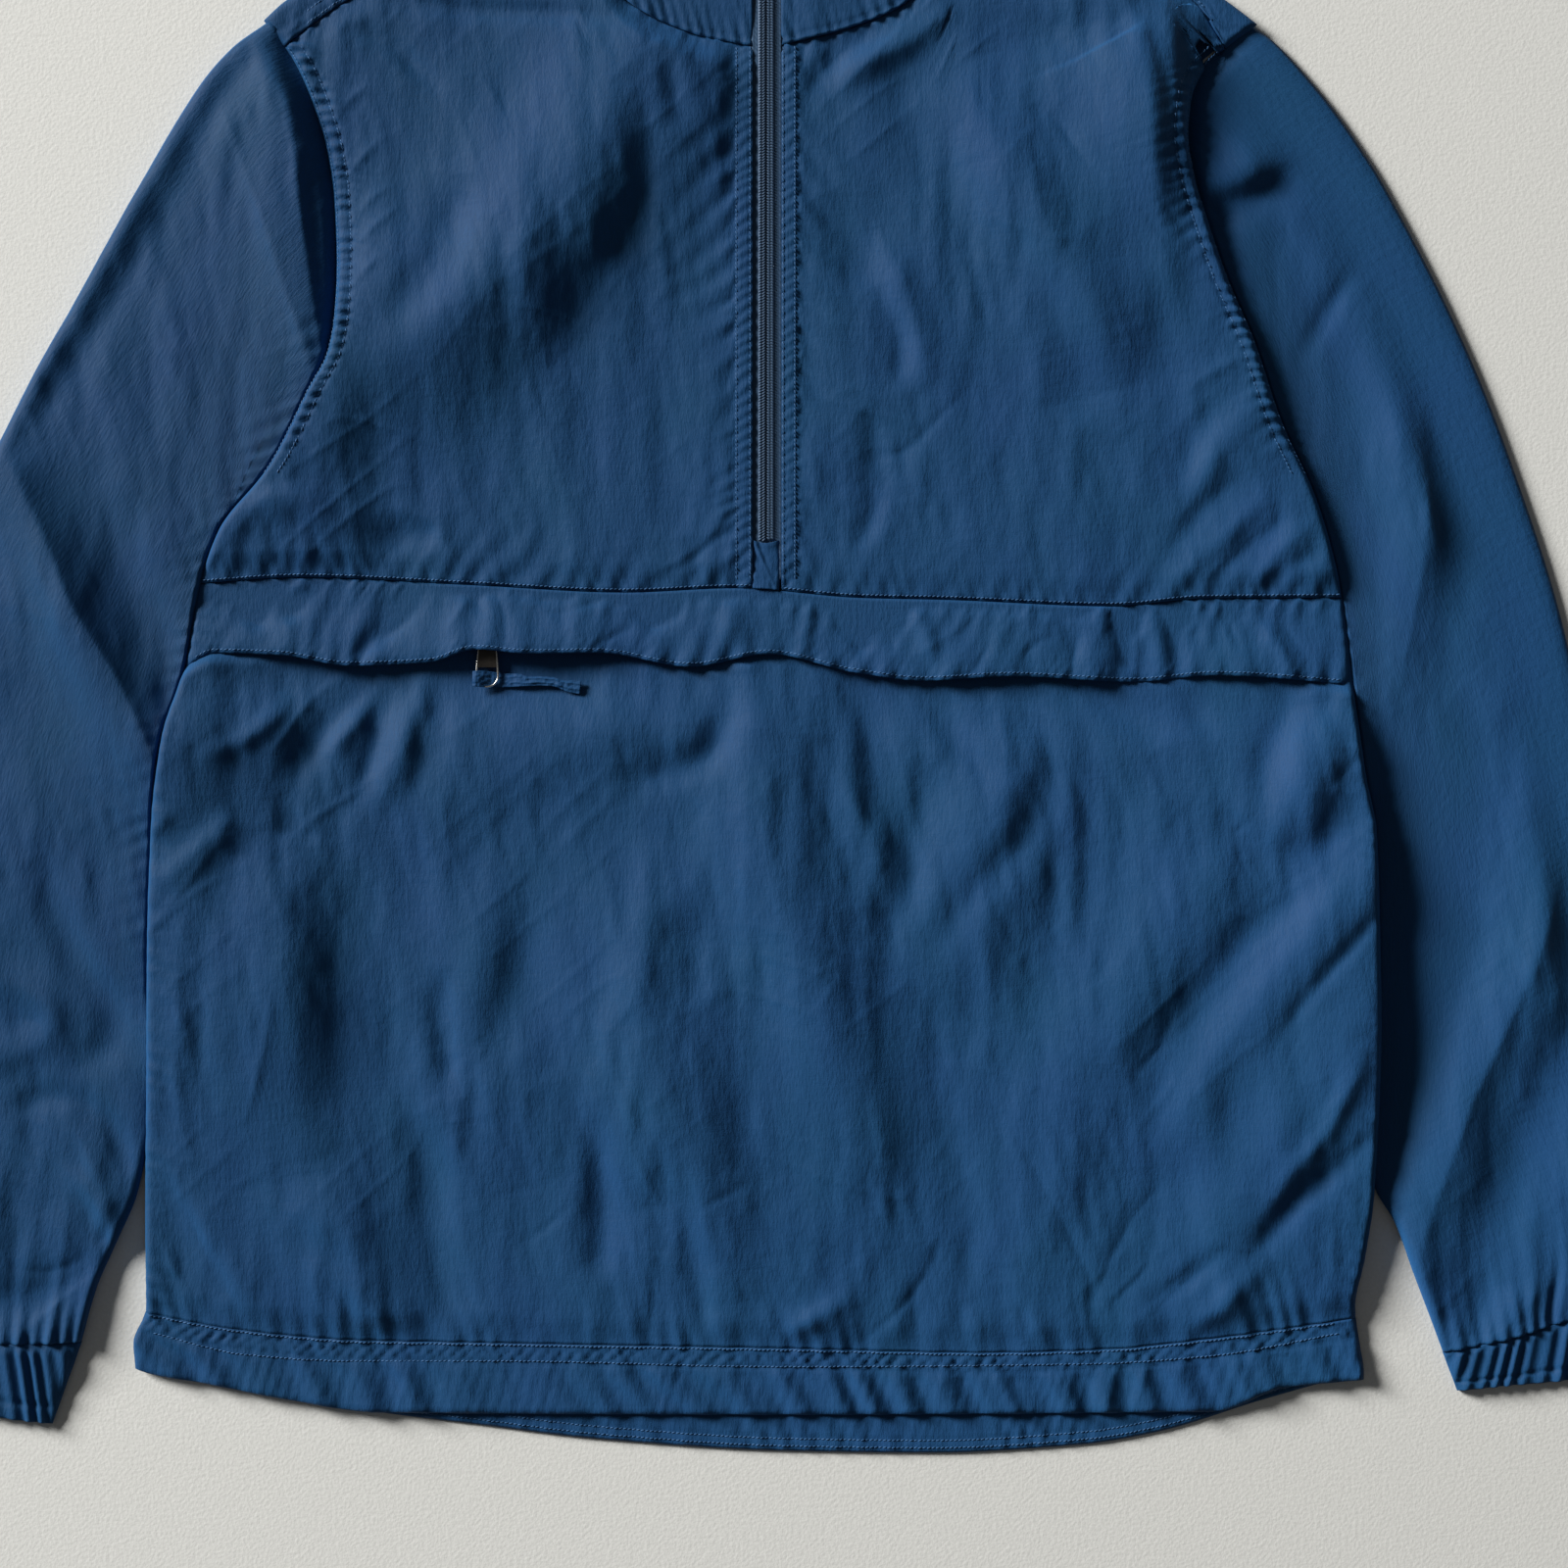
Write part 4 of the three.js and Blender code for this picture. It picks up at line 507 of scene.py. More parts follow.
# A fold's left and right say how far it fades to each side of its line. Its crest is 0 for a round
# fold, above 0 for a thin one with a crest this wide, and below 0 for one that is thin on its left.
Fold = namedtuple("Fold", "place left right crest line")
LOWER_FOLDS = [
    Fold("left ridge", 19.3, 48.3, 0, [
        (-221, -107, 2.2), (-222, -130, 5.5), (-224, -158, 7.5), (-225, -185, 7.8), (-224, -208, 6.1),
        (-221, -236, 3.5), (-215, -268, 0.9),
    ]),
    Fold("right edge lift", 18.4, 50.6, 0, [
        (273, -33, 3), (283, -84, 4.5), (286, -153, 5.4), (286, -222, 5.4), (284, -282, 3.4),
        (281, -328, 1.4),
    ]),
    Fold("under the flap", 15.6, 15.6, 0, [
        (-259, -41, -1.5), (-235, -35, -2.2), (-207, -33, -1.2), (-166, -38, -0.9), (-101, -41, -1.2),
        (-64, -40, -0.8),
    ]),
    Fold("swell 1", 21.2, 27.6, 0, [
        (-110, -121, 0), (-124, -158, 3), (-126, -194, 4), (-121, -236, 3), (-110, -273, 0),
    ]),
    Fold("swell 2", 18.4, 25.8, 0, [
        (-41, -112, 0), (-55, -153, 4), (-60, -199, 5.4), (-56, -245, 4), (-51, -282, 0),
    ]),
    Fold("swell 3", 20.2, 25.8, 0, [
        (-22, -158, 0), (-29, -204, 4), (-27, -250, 4.9), (-20, -296, 2.7), (-17, -328, 0),
    ]),
    Fold("swell 4", 22.1, 27.6, 0, [
        (129, -38, 1.1), (124, -79, 3.9), (106, -121, 4.3), (92, -158, 3.2), (85, -194, 0),
    ]),
    Fold("swell 6", 23.0, 27.6, 0, [
        (230, -70, 0.8), (221, -107, 2.9), (202, -144, 3.7), (175, -181, 3.6), (152, -222, 3.2),
        (138, -268, 2.4), (129, -314, 0.8),
    ]),
    Fold("swell 7", 18.4, 21.2, 0, [(253, -47, 1.4), (251, -79, 5.4), (247, -107, 4), (235, -125, 0)]),
    Fold("swell 8", 18.4, 23.0, 0, [(-207, -259, 1.4), (-198, -296, 4.6), (-184, -328, 2.7)]),
    Fold("flap fold 1", 5.1, 5.5, 0, [(-221, -38, 0), (-230, -53, 1.5), (-244, -64, 1.6), (-264, -72, 0)]),
    Fold("flap fold 2", 4.6, 4.1, 0.6, [
        (-197, -32, 0.4), (-213, -45, 0.8), (-224, -60, 0.8), (-232, -71, 0),
    ]),
    Fold("flap valley 2", 6.4, 8.3, 0, [
        (-185, -33, -0.5), (-200, -51, -2.1), (-215, -71, -2.1), (-224, -87, -0.5),
    ]),
    Fold("flap fold 3", 4.6, 5.5, 0, [(-177, -32, 0.5), (-187, -48, 1.3), (-195, -59, 1.5), (-208, -74, 0)]),
    Fold("flap valley 3", 5.1, 5.5, 0, [
        (-180, -45, -0.6), (-184, -68, -1.6), (-190, -88, -1.1), (-201, -103, 0),
    ]),
    Fold("flap fold 4", 7.4, 7.4, 0, [(-157, -33, 0.8), (-167, -56, 2.4), (-174, -79, 2.4), (-182, -99, 0)]),
    Fold("side bulge", 41.4, 13.8, 0, [
        (-271, -20, 7), (-276, -47, 9), (-282, -72, 9), (-286, -94, 8), (-290, -112, 6), (-292, -144, 5),
        (-292, -176, 4), (-290, -213, 2),
    ]),
    Fold("left triangle", 6.4, 8.3, 0, [
        (-286, -134, 0.6), (-271, -122, 1.7), (-254, -107, 2.1), (-247, -97, 0),
    ]),
    Fold("triangle line 1", 2.3, 2.3, 0.4, [(-288, -154, 0.2), (-271, -133, 0.4), (-250, -105, 0)]),
    Fold("triangle line 2", 2.3, 2.3, 0.4, [(-288, -154, 0.3), (-267, -136, 0.4), (-247, -123, 0)]),
    Fold("edge nick", 3.2, 4.1, 0, [(-290, -110, 0.6), (-280, -101, 0.8), (-277, -92, 0)]),
    Fold("fine line 1", 2.3, 2.3, 0.4, [
        (-229, -120, 0), (-212, -101, 0.4), (-192, -88, 0.4), (-171, -71, 0),
    ]),
    Fold("side facet", 11.0, 15.6, 0.6, [
        (-267, -137, 0.2), (-271, -151, 0.9), (-273, -176, 1), (-274, -204, 1), (-273, -245, 0.7),
        (-264, -262, 0.4),
    ]),
    Fold("side hollow", 6.4, 5.5, 0, [
        (-263, -148, -0.3), (-262, -181, -0.7), (-263, -213, -0.7), (-261, -240, 0),
    ]),
    Fold("fine line 2", 2.8, 3.2, 0.5, [
        (-227, -169, 0), (-231, -194, 0.5), (-238, -227, 0.5), (-245, -246, 0),
    ]),
    Fold("soft hollow 1", 6.4, 6.4, 0, [
        (-150, -169, 0), (-152, -190, -2.1), (-149, -213, -2.1), (-146, -232, 0),
    ]),
    Fold("soft hollow 2", 12.0, 12.0, 0, [
        (-107, -121, 0), (-114, -158, -2), (-123, -194, -2.6), (-127, -224, 0),
    ]),
    Fold("rising ridge", 29.4, 20.2, 0, [
        (-177, -111, 0.4), (-152, -91, 1.5), (-120, -75, 2.2), (-83, -62, 2.4), (-46, -55, 2.1),
        (-27, -43, 0.9),
    ]),
    Fold("under the rising ridge", 7.4, 8.3, 0, [
        (-16, -36, -0.9), (-18, -56, -2.4), (-30, -73, -2), (-60, -83, -0.9),
    ]),
    Fold("long fold", 27.6, 28.5, 0, [
        (-3, -33, 2), (-1, -68, 4), (3, -107, 5.6), (10, -135, 6), (20, -160, 6.4), (28, -185, 6.4),
        (33, -213, 6.2), (38, -236, 5.6), (40, -261, 4.4), (37, -291, 3), (35, -330, 1),
    ]),
    Fold("flap valley 5", 8.3, 7.4, 0, [
        (40, -32, -1.2), (48, -47, -2.4), (53, -70, -1.9), (58, -98, -1.2), (63, -123, 0),
    ]),
    Fold("ridge 5", 7.4, 7.4, 0, [(32, -66, 0), (45, -98, 2.4), (54, -122, 2), (58, -145, 0)]),
    Fold("valley 6", 7.8, 7.8, 0, [
        (79, -70, 0), (73, -98, -2), (67, -130, -2), (60, -158, -1), (55, -181, 0),
    ]),
    Fold("valley 7", 9.2, 9.2, 0, [
        (115, -35, -1), (127, -57, -2.8), (132, -79, -2.8), (122, -107, -2.2), (101, -132, -2),
        (82, -158, -1),
    ]),
    Fold("valley 8", 6.9, 6.9, 0, [(82, -38, 0), (87, -56, -2.2), (101, -75, -1.6), (116, -85, 0)]),
    Fold("flap valley 9", 6.9, 6.9, 0, [(144, -33, -0.8), (161, -44, -2.2), (178, -57, -1), (185, -66, 0)]),
    Fold("flap valley 10", 5.5, 5.5, 0, [(194, -38, 0), (203, -51, -1.4), (213, -63, 0)]),
    Fold("strong valley", 9.2, 8.3, 0, [
        (246, -32, -1.7), (245, -52, -2.6), (238, -70, -2.4), (236, -86, -1.8), (243, -107, -0.6),
        (248, -130, 0),
    ]),
    Fold("corner valley", 4.6, 5.5, 0, [(268, -32, -1.2), (264, -47, -1.1), (262, -58, 0)]),
    Fold("corner line", 2.3, 2.3, 0.4, [(261, -89, 0), (272, -78, -0.4), (283, -67, -0.3)]),
    Fold("side dip", 12.0, 12.0, 0, [
        (272, -84, -1), (263, -107, -2.6), (244, -117, -2.2), (217, -107, -1.6),
    ]),
    Fold("star 1", 1.8, 1.8, 0.4, [(216, -110, 0), (222, -106, -0.4), (229, -97, 0)]),
    Fold("star 2", 1.8, 1.8, 0.4, [(222, -106, 0), (224, -121, -0.4), (231, -132, 0)]),
    Fold("diagonal valley", 10.1, 10.1, 0, [
        (273, -124, -0.4), (242, -141, -1.1), (224, -158, -1.2), (212, -177, -1), (186, -204, -0.7),
        (160, -224, -0.4),
    ]),
    Fold("diagonal ridge", 18.4, 12.0, 0, [
        (286, -114, 1.5), (263, -144, 3.3), (239, -176, 3.5), (213, -213, 3), (194, -245, 2.2),
        (185, -270, 0),
    ]),
    Fold("side wedge", 3.7, 4.6, 0, [
        (285, -145, -0.5), (274, -160, -1.2), (260, -176, -1), (244, -197, -0.5), (234, -215, 0),
    ]),
    Fold("lower right fold", 20.2, 20.2, 0, [
        (277, -190, 0.9), (268, -204, 1.8), (250, -231, 2.2), (231, -263, 2.2), (215, -291, 2),
        (201, -314, 1.5), (189, -332, 0.7),
    ]),
    Fold("fold beside it", 5.1, 5.1, 0, [
        (279, -210, 0.5), (270, -231, 1.6), (260, -250, 1.6), (244, -268, 0.9), (229, -292, 0),
    ]),
    Fold("valley beside it", 6.0, 6.0, 0, [
        (284, -249, -0.7), (263, -268, -1.9), (244, -286, -1.9), (224, -315, -1),
    ]),
    Fold("fine fold 1", 2.8, 2.8, 0.4, [
        (112, -239, 0), (129, -268, -0.5), (143, -296, -0.5), (155, -319, -0.4),
    ]),
    Fold("fine fold 2", 3.2, 3.2, 0.5, [(193, -181, 0), (187, -204, -0.6), (171, -223, 0)]),
    Fold("fine fold 3", 2.3, 2.3, 0.4, [(191, -213, 0), (190, -227, 0.4), (169, -252, 0)]),
    Fold("fine fold 4", 3.2, 2.8, 0.5, [(190, -267, 0), (171, -291, -0.5), (155, -324, -0.5)]),
    Fold("fine fold 5", 3.2, 3.2, 0.5, [(179, -299, 0), (180, -309, -0.6), (165, -327, -0.3)]),
    Fold("fine fold 6", 4.6, 4.6, 0, [(213, -304, -0.6), (199, -316, -1.5), (186, -325, -0.6)]),
    Fold("fine fold 7", 2.3, 2.3, 0.4, [(160, -252, 0), (166, -270, -0.4), (170, -289, 0)]),
    Fold("hem crease 1", 3.2, 3.2, 0.5, [
        (45, -347, -0.3), (62, -332, -0.6), (75, -315, -0.6), (86, -291, 0),
    ]),
    Fold("faint line 1", 2.3, 2.3, 0.4, [(-37, -287, 0), (-21, -278, -0.4), (-4, -270, 0)]),
    Fold("faint line 2", 2.3, 2.3, 0.4, [(-118, -303, 0), (-101, -291, -0.4), (-87, -278, 0)]),
    Fold("hem crease 2", 4.1, 4.1, 0.4, [(-53, -308, 0), (-52, -325, -0.8), (-54, -347, -0.5)]),
    Fold("hem crease 3", 2.8, 2.8, 0.4, [(-64, -286, 0), (-61, -301, 0.5), (-60, -314, 0)]),
    Fold("hollow 11", 6.9, 6.9, 0, [
        (-83, -231, 0), (-77, -259, -1.9), (-75, -286, -2.2), (-77, -306, -1.5), (-83, -315, 0),
    ]),
    Fold("hollow 12", 10.1, 10.1, 0, [
        (-164, -239, 0), (-157, -268, -3.2), (-156, -296, -3.2), (-150, -324, -2.2), (-143, -344, 0),
    ]),
    Fold("hem crease 4", 3.2, 3.2, 0.4, [(-108, -324, 0), (-108, -336, -0.6), (-107, -347, -0.4)]),
    Fold("hem crease 5", 3.7, 3.7, 0.4, [(-87, -322, 0), (-85, -335, -0.7), (-85, -348, -0.5)]),
    Fold("hem crease 6", 3.2, 3.2, 0.4, [(-125, -331, 0), (-129, -340, -0.6), (-132, -348, -0.4)]),
    Fold("hem crease 7", 4.1, 4.1, 0.4, [(-163, -331, 0), (-159, -339, -0.8), (-156, -349, -0.4)]),
    Fold("hollow 13", 6.0, 6.0, 0, [(-37, -281, 0), (-33, -305, -1.9), (-30, -328, -1.6), (-28, -345, 0)]),
    Fold("bottom left fold", 15.6, 12.0, 0, [
        (-290, -251, 0.4), (-274, -273, 0.9), (-260, -296, 1.2), (-244, -321, 1.2), (-228, -340, 0.4),
    ]),
    Fold("bottom left hollow", 4.6, 11.0, 0, [
        (-283, -266, -0.5), (-271, -289, -1.5), (-260, -309, -1.5), (-249, -328, -1),
    ]),
    Fold("curved line", 3.2, 3.2, 0.5, [(-285, -289, 0), (-278, -309, 0.6), (-265, -330, 0)]),
    Fold("hem fold 1", 4.1, 3.7, 0.6, [(-197, -314, 0), (-183, -330, 0.7), (-169, -343, 0.3)]),
    Fold("hem hollow 1", 4.1, 4.1, 0, [(-205, -314, 0), (-192, -334, -1.3), (-182, -345, -0.6)]),
    Fold("thin line 3", 2.3, 2.3, 0.4, [
        (-205, -299, 0), (-211, -314, 0.4), (-207, -330, 0.4), (-199, -343, 0),
    ]),
    Fold("long shade", 9.2, 9.2, 0, [(-223, -289, 0), (-205, -303, -1.6), (-186, -316, 0)]),
    Fold("hem fold 2", 5.5, 6.4, 0, [(9, -347, 0), (19, -337, 1.8), (32, -329, 1.6), (40, -322, 0)]),
    Fold("hem crease 8", 3.2, 3.2, 0.4, [(69, -319, 0), (71, -335, -0.6), (73, -347, -0.3)]),
    Fold("hem crease 9", 4.1, 4.1, 0.4, [(97, -328, 0), (101, -338, 0.8), (103, -348, 0)]),
    Fold("right hem fold", 6.4, 6.4, 0, [(239, -296, 0), (222, -319, 2.1), (205, -338, 1.3)]),
    Fold("right hem crease", 4.1, 4.1, 0.4, [(153, -317, -0.3), (153, -332, -0.8), (154, -348, -0.6)]),
    Fold("right side crease", 3.7, 3.7, 0.4, [(284, -309, -0.5), (279, -322, -0.7), (272, -333, -0.3)]),
    Fold("right hollow", 15.6, 20.7, 0, [
        (239, -33, -1.2), (242, -56, -2.4), (243, -84, -2.2), (239, -107, -0.8),
    ]),
]


def smooth_path(points, parts=5):
    """Smooth path through points, with their heights."""
    points = np.array(points, float)
    p = np.vstack([2 * points[0] - points[1], points, 2 * points[-1] - points[-2]])
    t = np.arange(parts)[:, None] / parts
    spans = [b + 0.5 * t * (c - a + t * (2 * a - 5 * b + 4 * c - d + t * (3 * (b - c) + d - a)))
             for a, b, c, d in zip(p, p[1:], p[2:], p[3:])]
    return np.vstack([*spans, points[-1:]])


def relief(x, y, folds):
    """Height that folds add at points. A fold fades to the left and the right of its line."""
    total = np.zeros_like(x)
    for fold in folds:
        path = smooth_path(fold.line)
        widest = 3 * max(fold.left, fold.right)
        low, high = path.min(0) - widest, path.max(0) + widest
        near = (x > low[0]) & (x < high[0]) & (y > low[1]) & (y < high[1])
        if not near.any():
            continue
        start, run = path[:-1], np.diff(path, axis=0)
        dx, dy = x[near][:, None] - start[:, 0], y[near][:, None] - start[:, 1]
        t = np.clip((dx * run[:, 0] + dy * run[:, 1]) / (run[:, :2] ** 2).sum(1), 0, 1)
        dx, dy = dx - t * run[:, 0], dy - t * run[:, 1]
        nearest = (dx * dx + dy * dy).argmin(1)
        pick = lambda values: np.take_along_axis(values, nearest[:, None], 1)[:, 0]
        t, dx, dy = pick(t), pick(dx), pick(dy)
        step = run[nearest]
        away = np.hypot(dx, dy)
        leftness = (step[:, 0] * dy - step[:, 1] * dx) / np.hypot(step[:, 0], step[:, 1]) / (away + 1e-6)
        reach = fold.right + (fold.left - fold.right) * smooth(0.5 + 0.5 * leftness)
        height = start[nearest, 2] + t * step[:, 2]
        soft = np.exp(-(away / reach) ** 2)
        edge = abs(fold.crest)
        sharp = np.exp(-(np.sqrt(away * away + edge * edge) - edge) / (0.7 * reach))
        sharpness = 1.0 * (fold.crest > 0) if fold.crest >= 0 else smooth(0.5 + 0.5 * leftness)
        total[near] += FOLD_GAIN * height * (soft + (sharp - soft) * sharpness)
    return total


chest_seam = through(CHEST_SEAM)
flap_edge = through(FLAP_EDGE)


def rounded(inward, roll=ROLL):
    """How far the cloth has rounded up, from 0 at its rim to 1 a roll in."""
    return np.sqrt(1 - (1 - np.clip(inward / roll, 0, 1)) ** 2)


def soft_floor(z, lowest):
    """Height that flattens out as it nears the lowest there is."""
    soft = 1.6
    return lowest + soft * np.logaddexp(0, (z - lowest) / soft)


def side_round(x, y, z, roll=ROLL):
    """The body's sides round down to their seams, with small puckers along them."""
    from_left, from_right = x - left_edge(y), right_edge(y) - x
    share = np.minimum(rounded(from_left, roll), rounded(from_right, roll))
    puckers = pucker(y, from_left, SIDE_PUCKERS_LEFT) + pucker(y, from_right, SIDE_PUCKERS_RIGHT)
    return RIM + (z + puckers - RIM) * share


def creases(x, y, size, seed):
    """Thin soft ridges that run in three slanting directions and come and go."""
    total = 0
    for k, turn in enumerate((0.35, 1.25, 2.3)):
        u = x * math.cos(turn) + y * math.sin(turn)
        v = y * math.cos(turn) - x * math.sin(turn)
        line = 1 - np.abs(drift(u, v, size, 4.2 * size, seed + k))
        total = total + line ** 6 * np.maximum(drift(x, y, 3 * size, 3 * size, seed + 5 + k) + 0.15, 0)
    return total


def crumple(x, y, seed):
    """Small uneven wrinkles that all of the loose cloth has, along its threads more than across."""
    broad = drift(x + 0.15 * y, y, 17, 60, seed + 4) * 1.1
    long_waves = drift(x, y, 8, 34, seed) * 0.75
    waves = drift(x + 0.2 * y, y, 5.0, 14, seed + 1) * 0.36
    small = drift(x, y - 0.3 * x, 3.0, 5.5, seed + 2) * 0.13
    slack = 0.75 + 0.55 * drift(x, y, 55, 55, seed + 3)
    return broad + (long_waves + waves + small) * slack + 0.45 * creases(x, y, 15, seed + 11)


def lower_height(x, y):
    below_flap = flap_edge(x) - y
    above_hem = y - hem_seam(x)
    lie = POCKET_LIE + (FRONT_LIE - POCKET_LIE) * smooth((below_flap - 3) / 34)
    lie = lie - (FRONT_LIE - SEAM_LIE) * (1 - smooth(above_hem / 14))
    calm = smooth((below_flap + 4) / 10) * smooth((above_hem + 6) / 20)
    z = lie + calm * (relief(x, y, LOWER_FOLDS) + crumple(x, y, 61)) + pucker(x, above_hem, *HEM_PUCKERS)
    return side_round(x, y, soft_floor(z, FRONT_LOW))


x, y = plan(left_edge, right_edge, lambda x: hem_seam(x) + HEM_GAP, lambda x: chest_seam(x) - FLAP_LAP,
            shares(575, BODY_FINE, True, True), shares(345, BODY_FINE))
lower_front = cloth("lower_front_cloth", x, y, lower_height(x, y), FRONT_FLOOR)
declare(lower_front, "front_lower", flat_area(x, y))

# Front hem
# Band turned up and sewn down over elastic, with two rows of zigzag-drawn stitches at its top. The
# elastic draws it into slanting gathers.
HEM_LIE = 5.4
HEM_RIM = 3.1
HEM_ROLL = 3
SEAM_X = np.arange(-300, 300, 0.8)
seam_height = lower_height(SEAM_X[None], hem_seam(SEAM_X)[None] + HEM_GAP)[0]


def front_hem_height(x, y):
    from_seam = hem_seam(x) - y
    from_edge = y - hem_edge(x)
    rolled = rounded(from_edge + 0.2, 2.6)
    between = groove(from_seam, 4.6, 3.4)
    below = smooth((from_seam - 7) / 8)
    zigzag = pucker(x + 0.9 * y, 0, (5.4, 0.5, 1, 0, 71)) + pucker(x - 1.1 * y, 0, (6.6, 0.5, 1, 0, 75))
    rows = groove(from_seam, 0.8, 0.8) + groove(from_seam, 9.2, 0.8)
    wide = pucker(x + 0.55 * y + 7 * drift(x, y, 40, 20, 77), 0, (23, 1.7, 1, 0, 79)) * below
    fine = 0.16 * drift(x + 0.5 * y, y, 3.2, 7, 78) + 0.1 * drift(x - 0.4 * y, y, 1.8, 3.4, 76)
    z = HEM_LIE + 0.42 * hem_gather(x, y, 73) + wide + zigzag * between + fine - 0.4 * rows
    joined = 1 - smooth(from_seam / 3)
    z = z + (np.interp(x, SEAM_X, seam_height) - z) * joined
    return side_round(x, y, HEM_RIM + (np.maximum(z, HEM_RIM + 0.2) - HEM_RIM) * rolled, HEM_ROLL)


x, y = plan(left_edge, right_edge, hem_edge, lambda x: hem_seam(x) - HEM_GAP,
            shares(578, 1.25, True, True), shares(31, 1.2, True))
front_hem = cloth("front_hem_cloth", x, y, front_hem_height(x, y), 2.6)
declare(front_hem, "front_hem", flat_area(x, y))

# Pocket flap
# Long narrow flap over the pocket's zip, sewn into the chest seam along its top and at both sides, and
# turned in and stitched along its free edge. The free edge lifts in uneven waves.
FLAP_LIFTS = [
    (-278, 0.6), (-265, 2.0), (-240, 3.8), (-208, 3.8), (-165, 3.0), (-131, 5.0), (-101, 4.2),
    (-64, 2.6), (-37, 2.0), (-9, 1.2), (18, 1.2), (55, 1.9), (92, 2.2), (124, 2.0), (161, 1.4),
    (193, 1.6), (239, 3.0), (272, 1.0),
]
FLAP_FOLDS = [
    Fold("flap hollow 1", 5.5, 6.0, 0, [(-172, 9, 0), (-168, 2, -1.4), (-177, -11, -1.8), (-190, -23, -1.1)]),
    Fold("flap hollow 2", 4.6, 5.1, 0, [(-216, 8, 0), (-221, -2, -1.5), (-224, -10, 0)]),
    Fold("flap hollow 3", 5.5, 5.5, 0, [(-238, 8, 0), (-240, -3, -1.4), (-235, -13, 0)]),
    Fold("flap fold 1", 3.7, 4.1, 0.6, [(-150, -15, 0), (-143, -3, 0.7), (-138, 6, 0)]),
    Fold("flap crease 1", 2.3, 2.8, 0.4, [(-139, 8, 0), (-134, 1, -0.4), (-129, -7, 0)]),
    Fold("flap crease 2", 4.1, 2.8, 0.4, [(-127, 7, -0.2), (-122, -4, -0.5), (-121, -16, -0.3)]),
    Fold("flap crease 3", 2.3, 2.3, 0.4, [(-101, -5, 0), (-83, -0, -0.4), (-69, 5, 0)]),
    Fold("flap hollow 4", 4.1, 4.6, 0, [(-59, 3, -0.6), (-52, -7, -1.3), (-40, -1, -0.6)]),
    Fold("flap crease 4", 2.3, 2.3, 0.4, [(-83, -22, 0), (-71, -15, -0.4), (-61, -10, 0)]),
    Fold("flap hollow 5", 4.1, 4.1, 0, [(33, 4, 0), (40, -8, -1.3), (46, -19, -1)]),
    Fold("flap hollow 6", 3.2, 3.2, 0.4, [(50, 5, 0), (54, -7, -0.6), (61, -20, -0.3)]),
    Fold("flap crease 5", 2.3, 2.3, 0.4, [(100, -31, -0.3), (104, -21, -0.4), (109, -13, 0)]),
    Fold("flap crease 6", 2.3, 2.8, 0.4, [(119, -30, -0.3), (125, -20, -0.4), (138, -13, 0)]),
    Fold("flap hollow 7", 3.7, 3.7, 0.4, [(149, -10, 0), (146, -21, -0.7), (144, -33, -0.4)]),
    Fold("flap crease 7", 3.2, 3.2, 0.4, [(160, -1, 0), (166, -13, -0.6), (171, -28, -0.5)]),
    Fold("flap crease 8", 2.3, 2.3, 0.4, [(173, 3, -0.3), (175, -9, -0.4), (176, -16, 0)]),
    Fold("flap fold 2", 5.1, 5.1, 0, [(182, -1, 0), (184, -15, 1.4), (187, -31, 0.6)]),
    Fold("flap crease 9", 2.8, 2.8, 0.4, [(215, -0, 0), (220, -13, -0.5), (224, -23, 0)]),
    Fold("flap crease 10", 2.8, 2.8, 0.4, [(240, -1, 0), (247, -14, -0.5), (255, -24, 0)]),
    Fold("flap fold 3", 4.1, 4.1, 0, [(230, -3, 0), (239, -17, 1.2), (247, -31, 0.6)]),
    Fold("flap fold 4", 6.4, 6.4, 0, [(-18, 4, 0), (-16, -10, 1.2), (-13, -21, 0)]),
    Fold("flap fold 5", 4.6, 4.6, 0, [(69, 2, 0), (75, -13, 1.2), (81, -29, 0)]),
]
FLAP_TOP_PUCKERS = [(4.6, 0.6, 4, 0.7, 81), (11, 1.1, 11, 0.3, 83)]
FLAP_LOW_PUCKERS = [(4.8, 0.5, 4, -0.7, 87), (14, 1.1, 13, -0.3, 89)]
flap_lift = through(FLAP_LIFTS)
FLAP_DEEP = 31.0
FLAP_OVER = 0.8  # the flap's least height over the pocket front
POCKET_OPEN = (-178, 182)  # between these the flap stands a little higher, over the pocket's zip
FLAP_ROLL = 3


def flap_height(x, y):
    from_seam = chest_seam(x) - y
    from_free = y - flap_edge(x)
    free = smooth(1 - from_free / FLAP_DEEP)
    over_zip = smooth((x - POCKET_OPEN[0]) / 40) * smooth((POCKET_OPEN[1] - x) / 40)
    lift = FLAP_OVER + 1.9 * over_zip * smooth(from_seam / 9) + 1.35 * flap_lift(x) * free
    top_rows = pucker(x, from_seam, *FLAP_TOP_PUCKERS)
    low_rows = pucker(x, from_free, *FLAP_LOW_PUCKERS)
    stitched = 0.35 * groove(from_free, 1.9, 0.7) + 0.3 * groove(from_seam, 1.6, 0.8)
    z = POCKET_LIE + WALL + lift + 1.5 * relief(x, y, FLAP_FOLDS) + 1.1 * crumple(x, y, 91)
    z = z + top_rows + low_rows - stitched
    z = z - 0.4 * (1 - smooth(from_free / 1.0)) - 0.8 * (1 - smooth(from_seam / 1.4))
    return side_round(x, y, np.maximum(z, POCKET_LIE + WALL + 0.5 + 1.5 * over_zip), FLAP_ROLL)


x, y = plan(left_edge, right_edge, flap_edge, lambda x: chest_seam(x) - SEAM_GAP,
            shares(545, 1.3, True, True), shares(FLAP_DEEP, 1.2))
pocket_flap = cloth("pocket_flap_cloth", x, y, flap_height(x, y), 3.1)
declare(pocket_flap, "pocket_flap", flat_area(x, y))

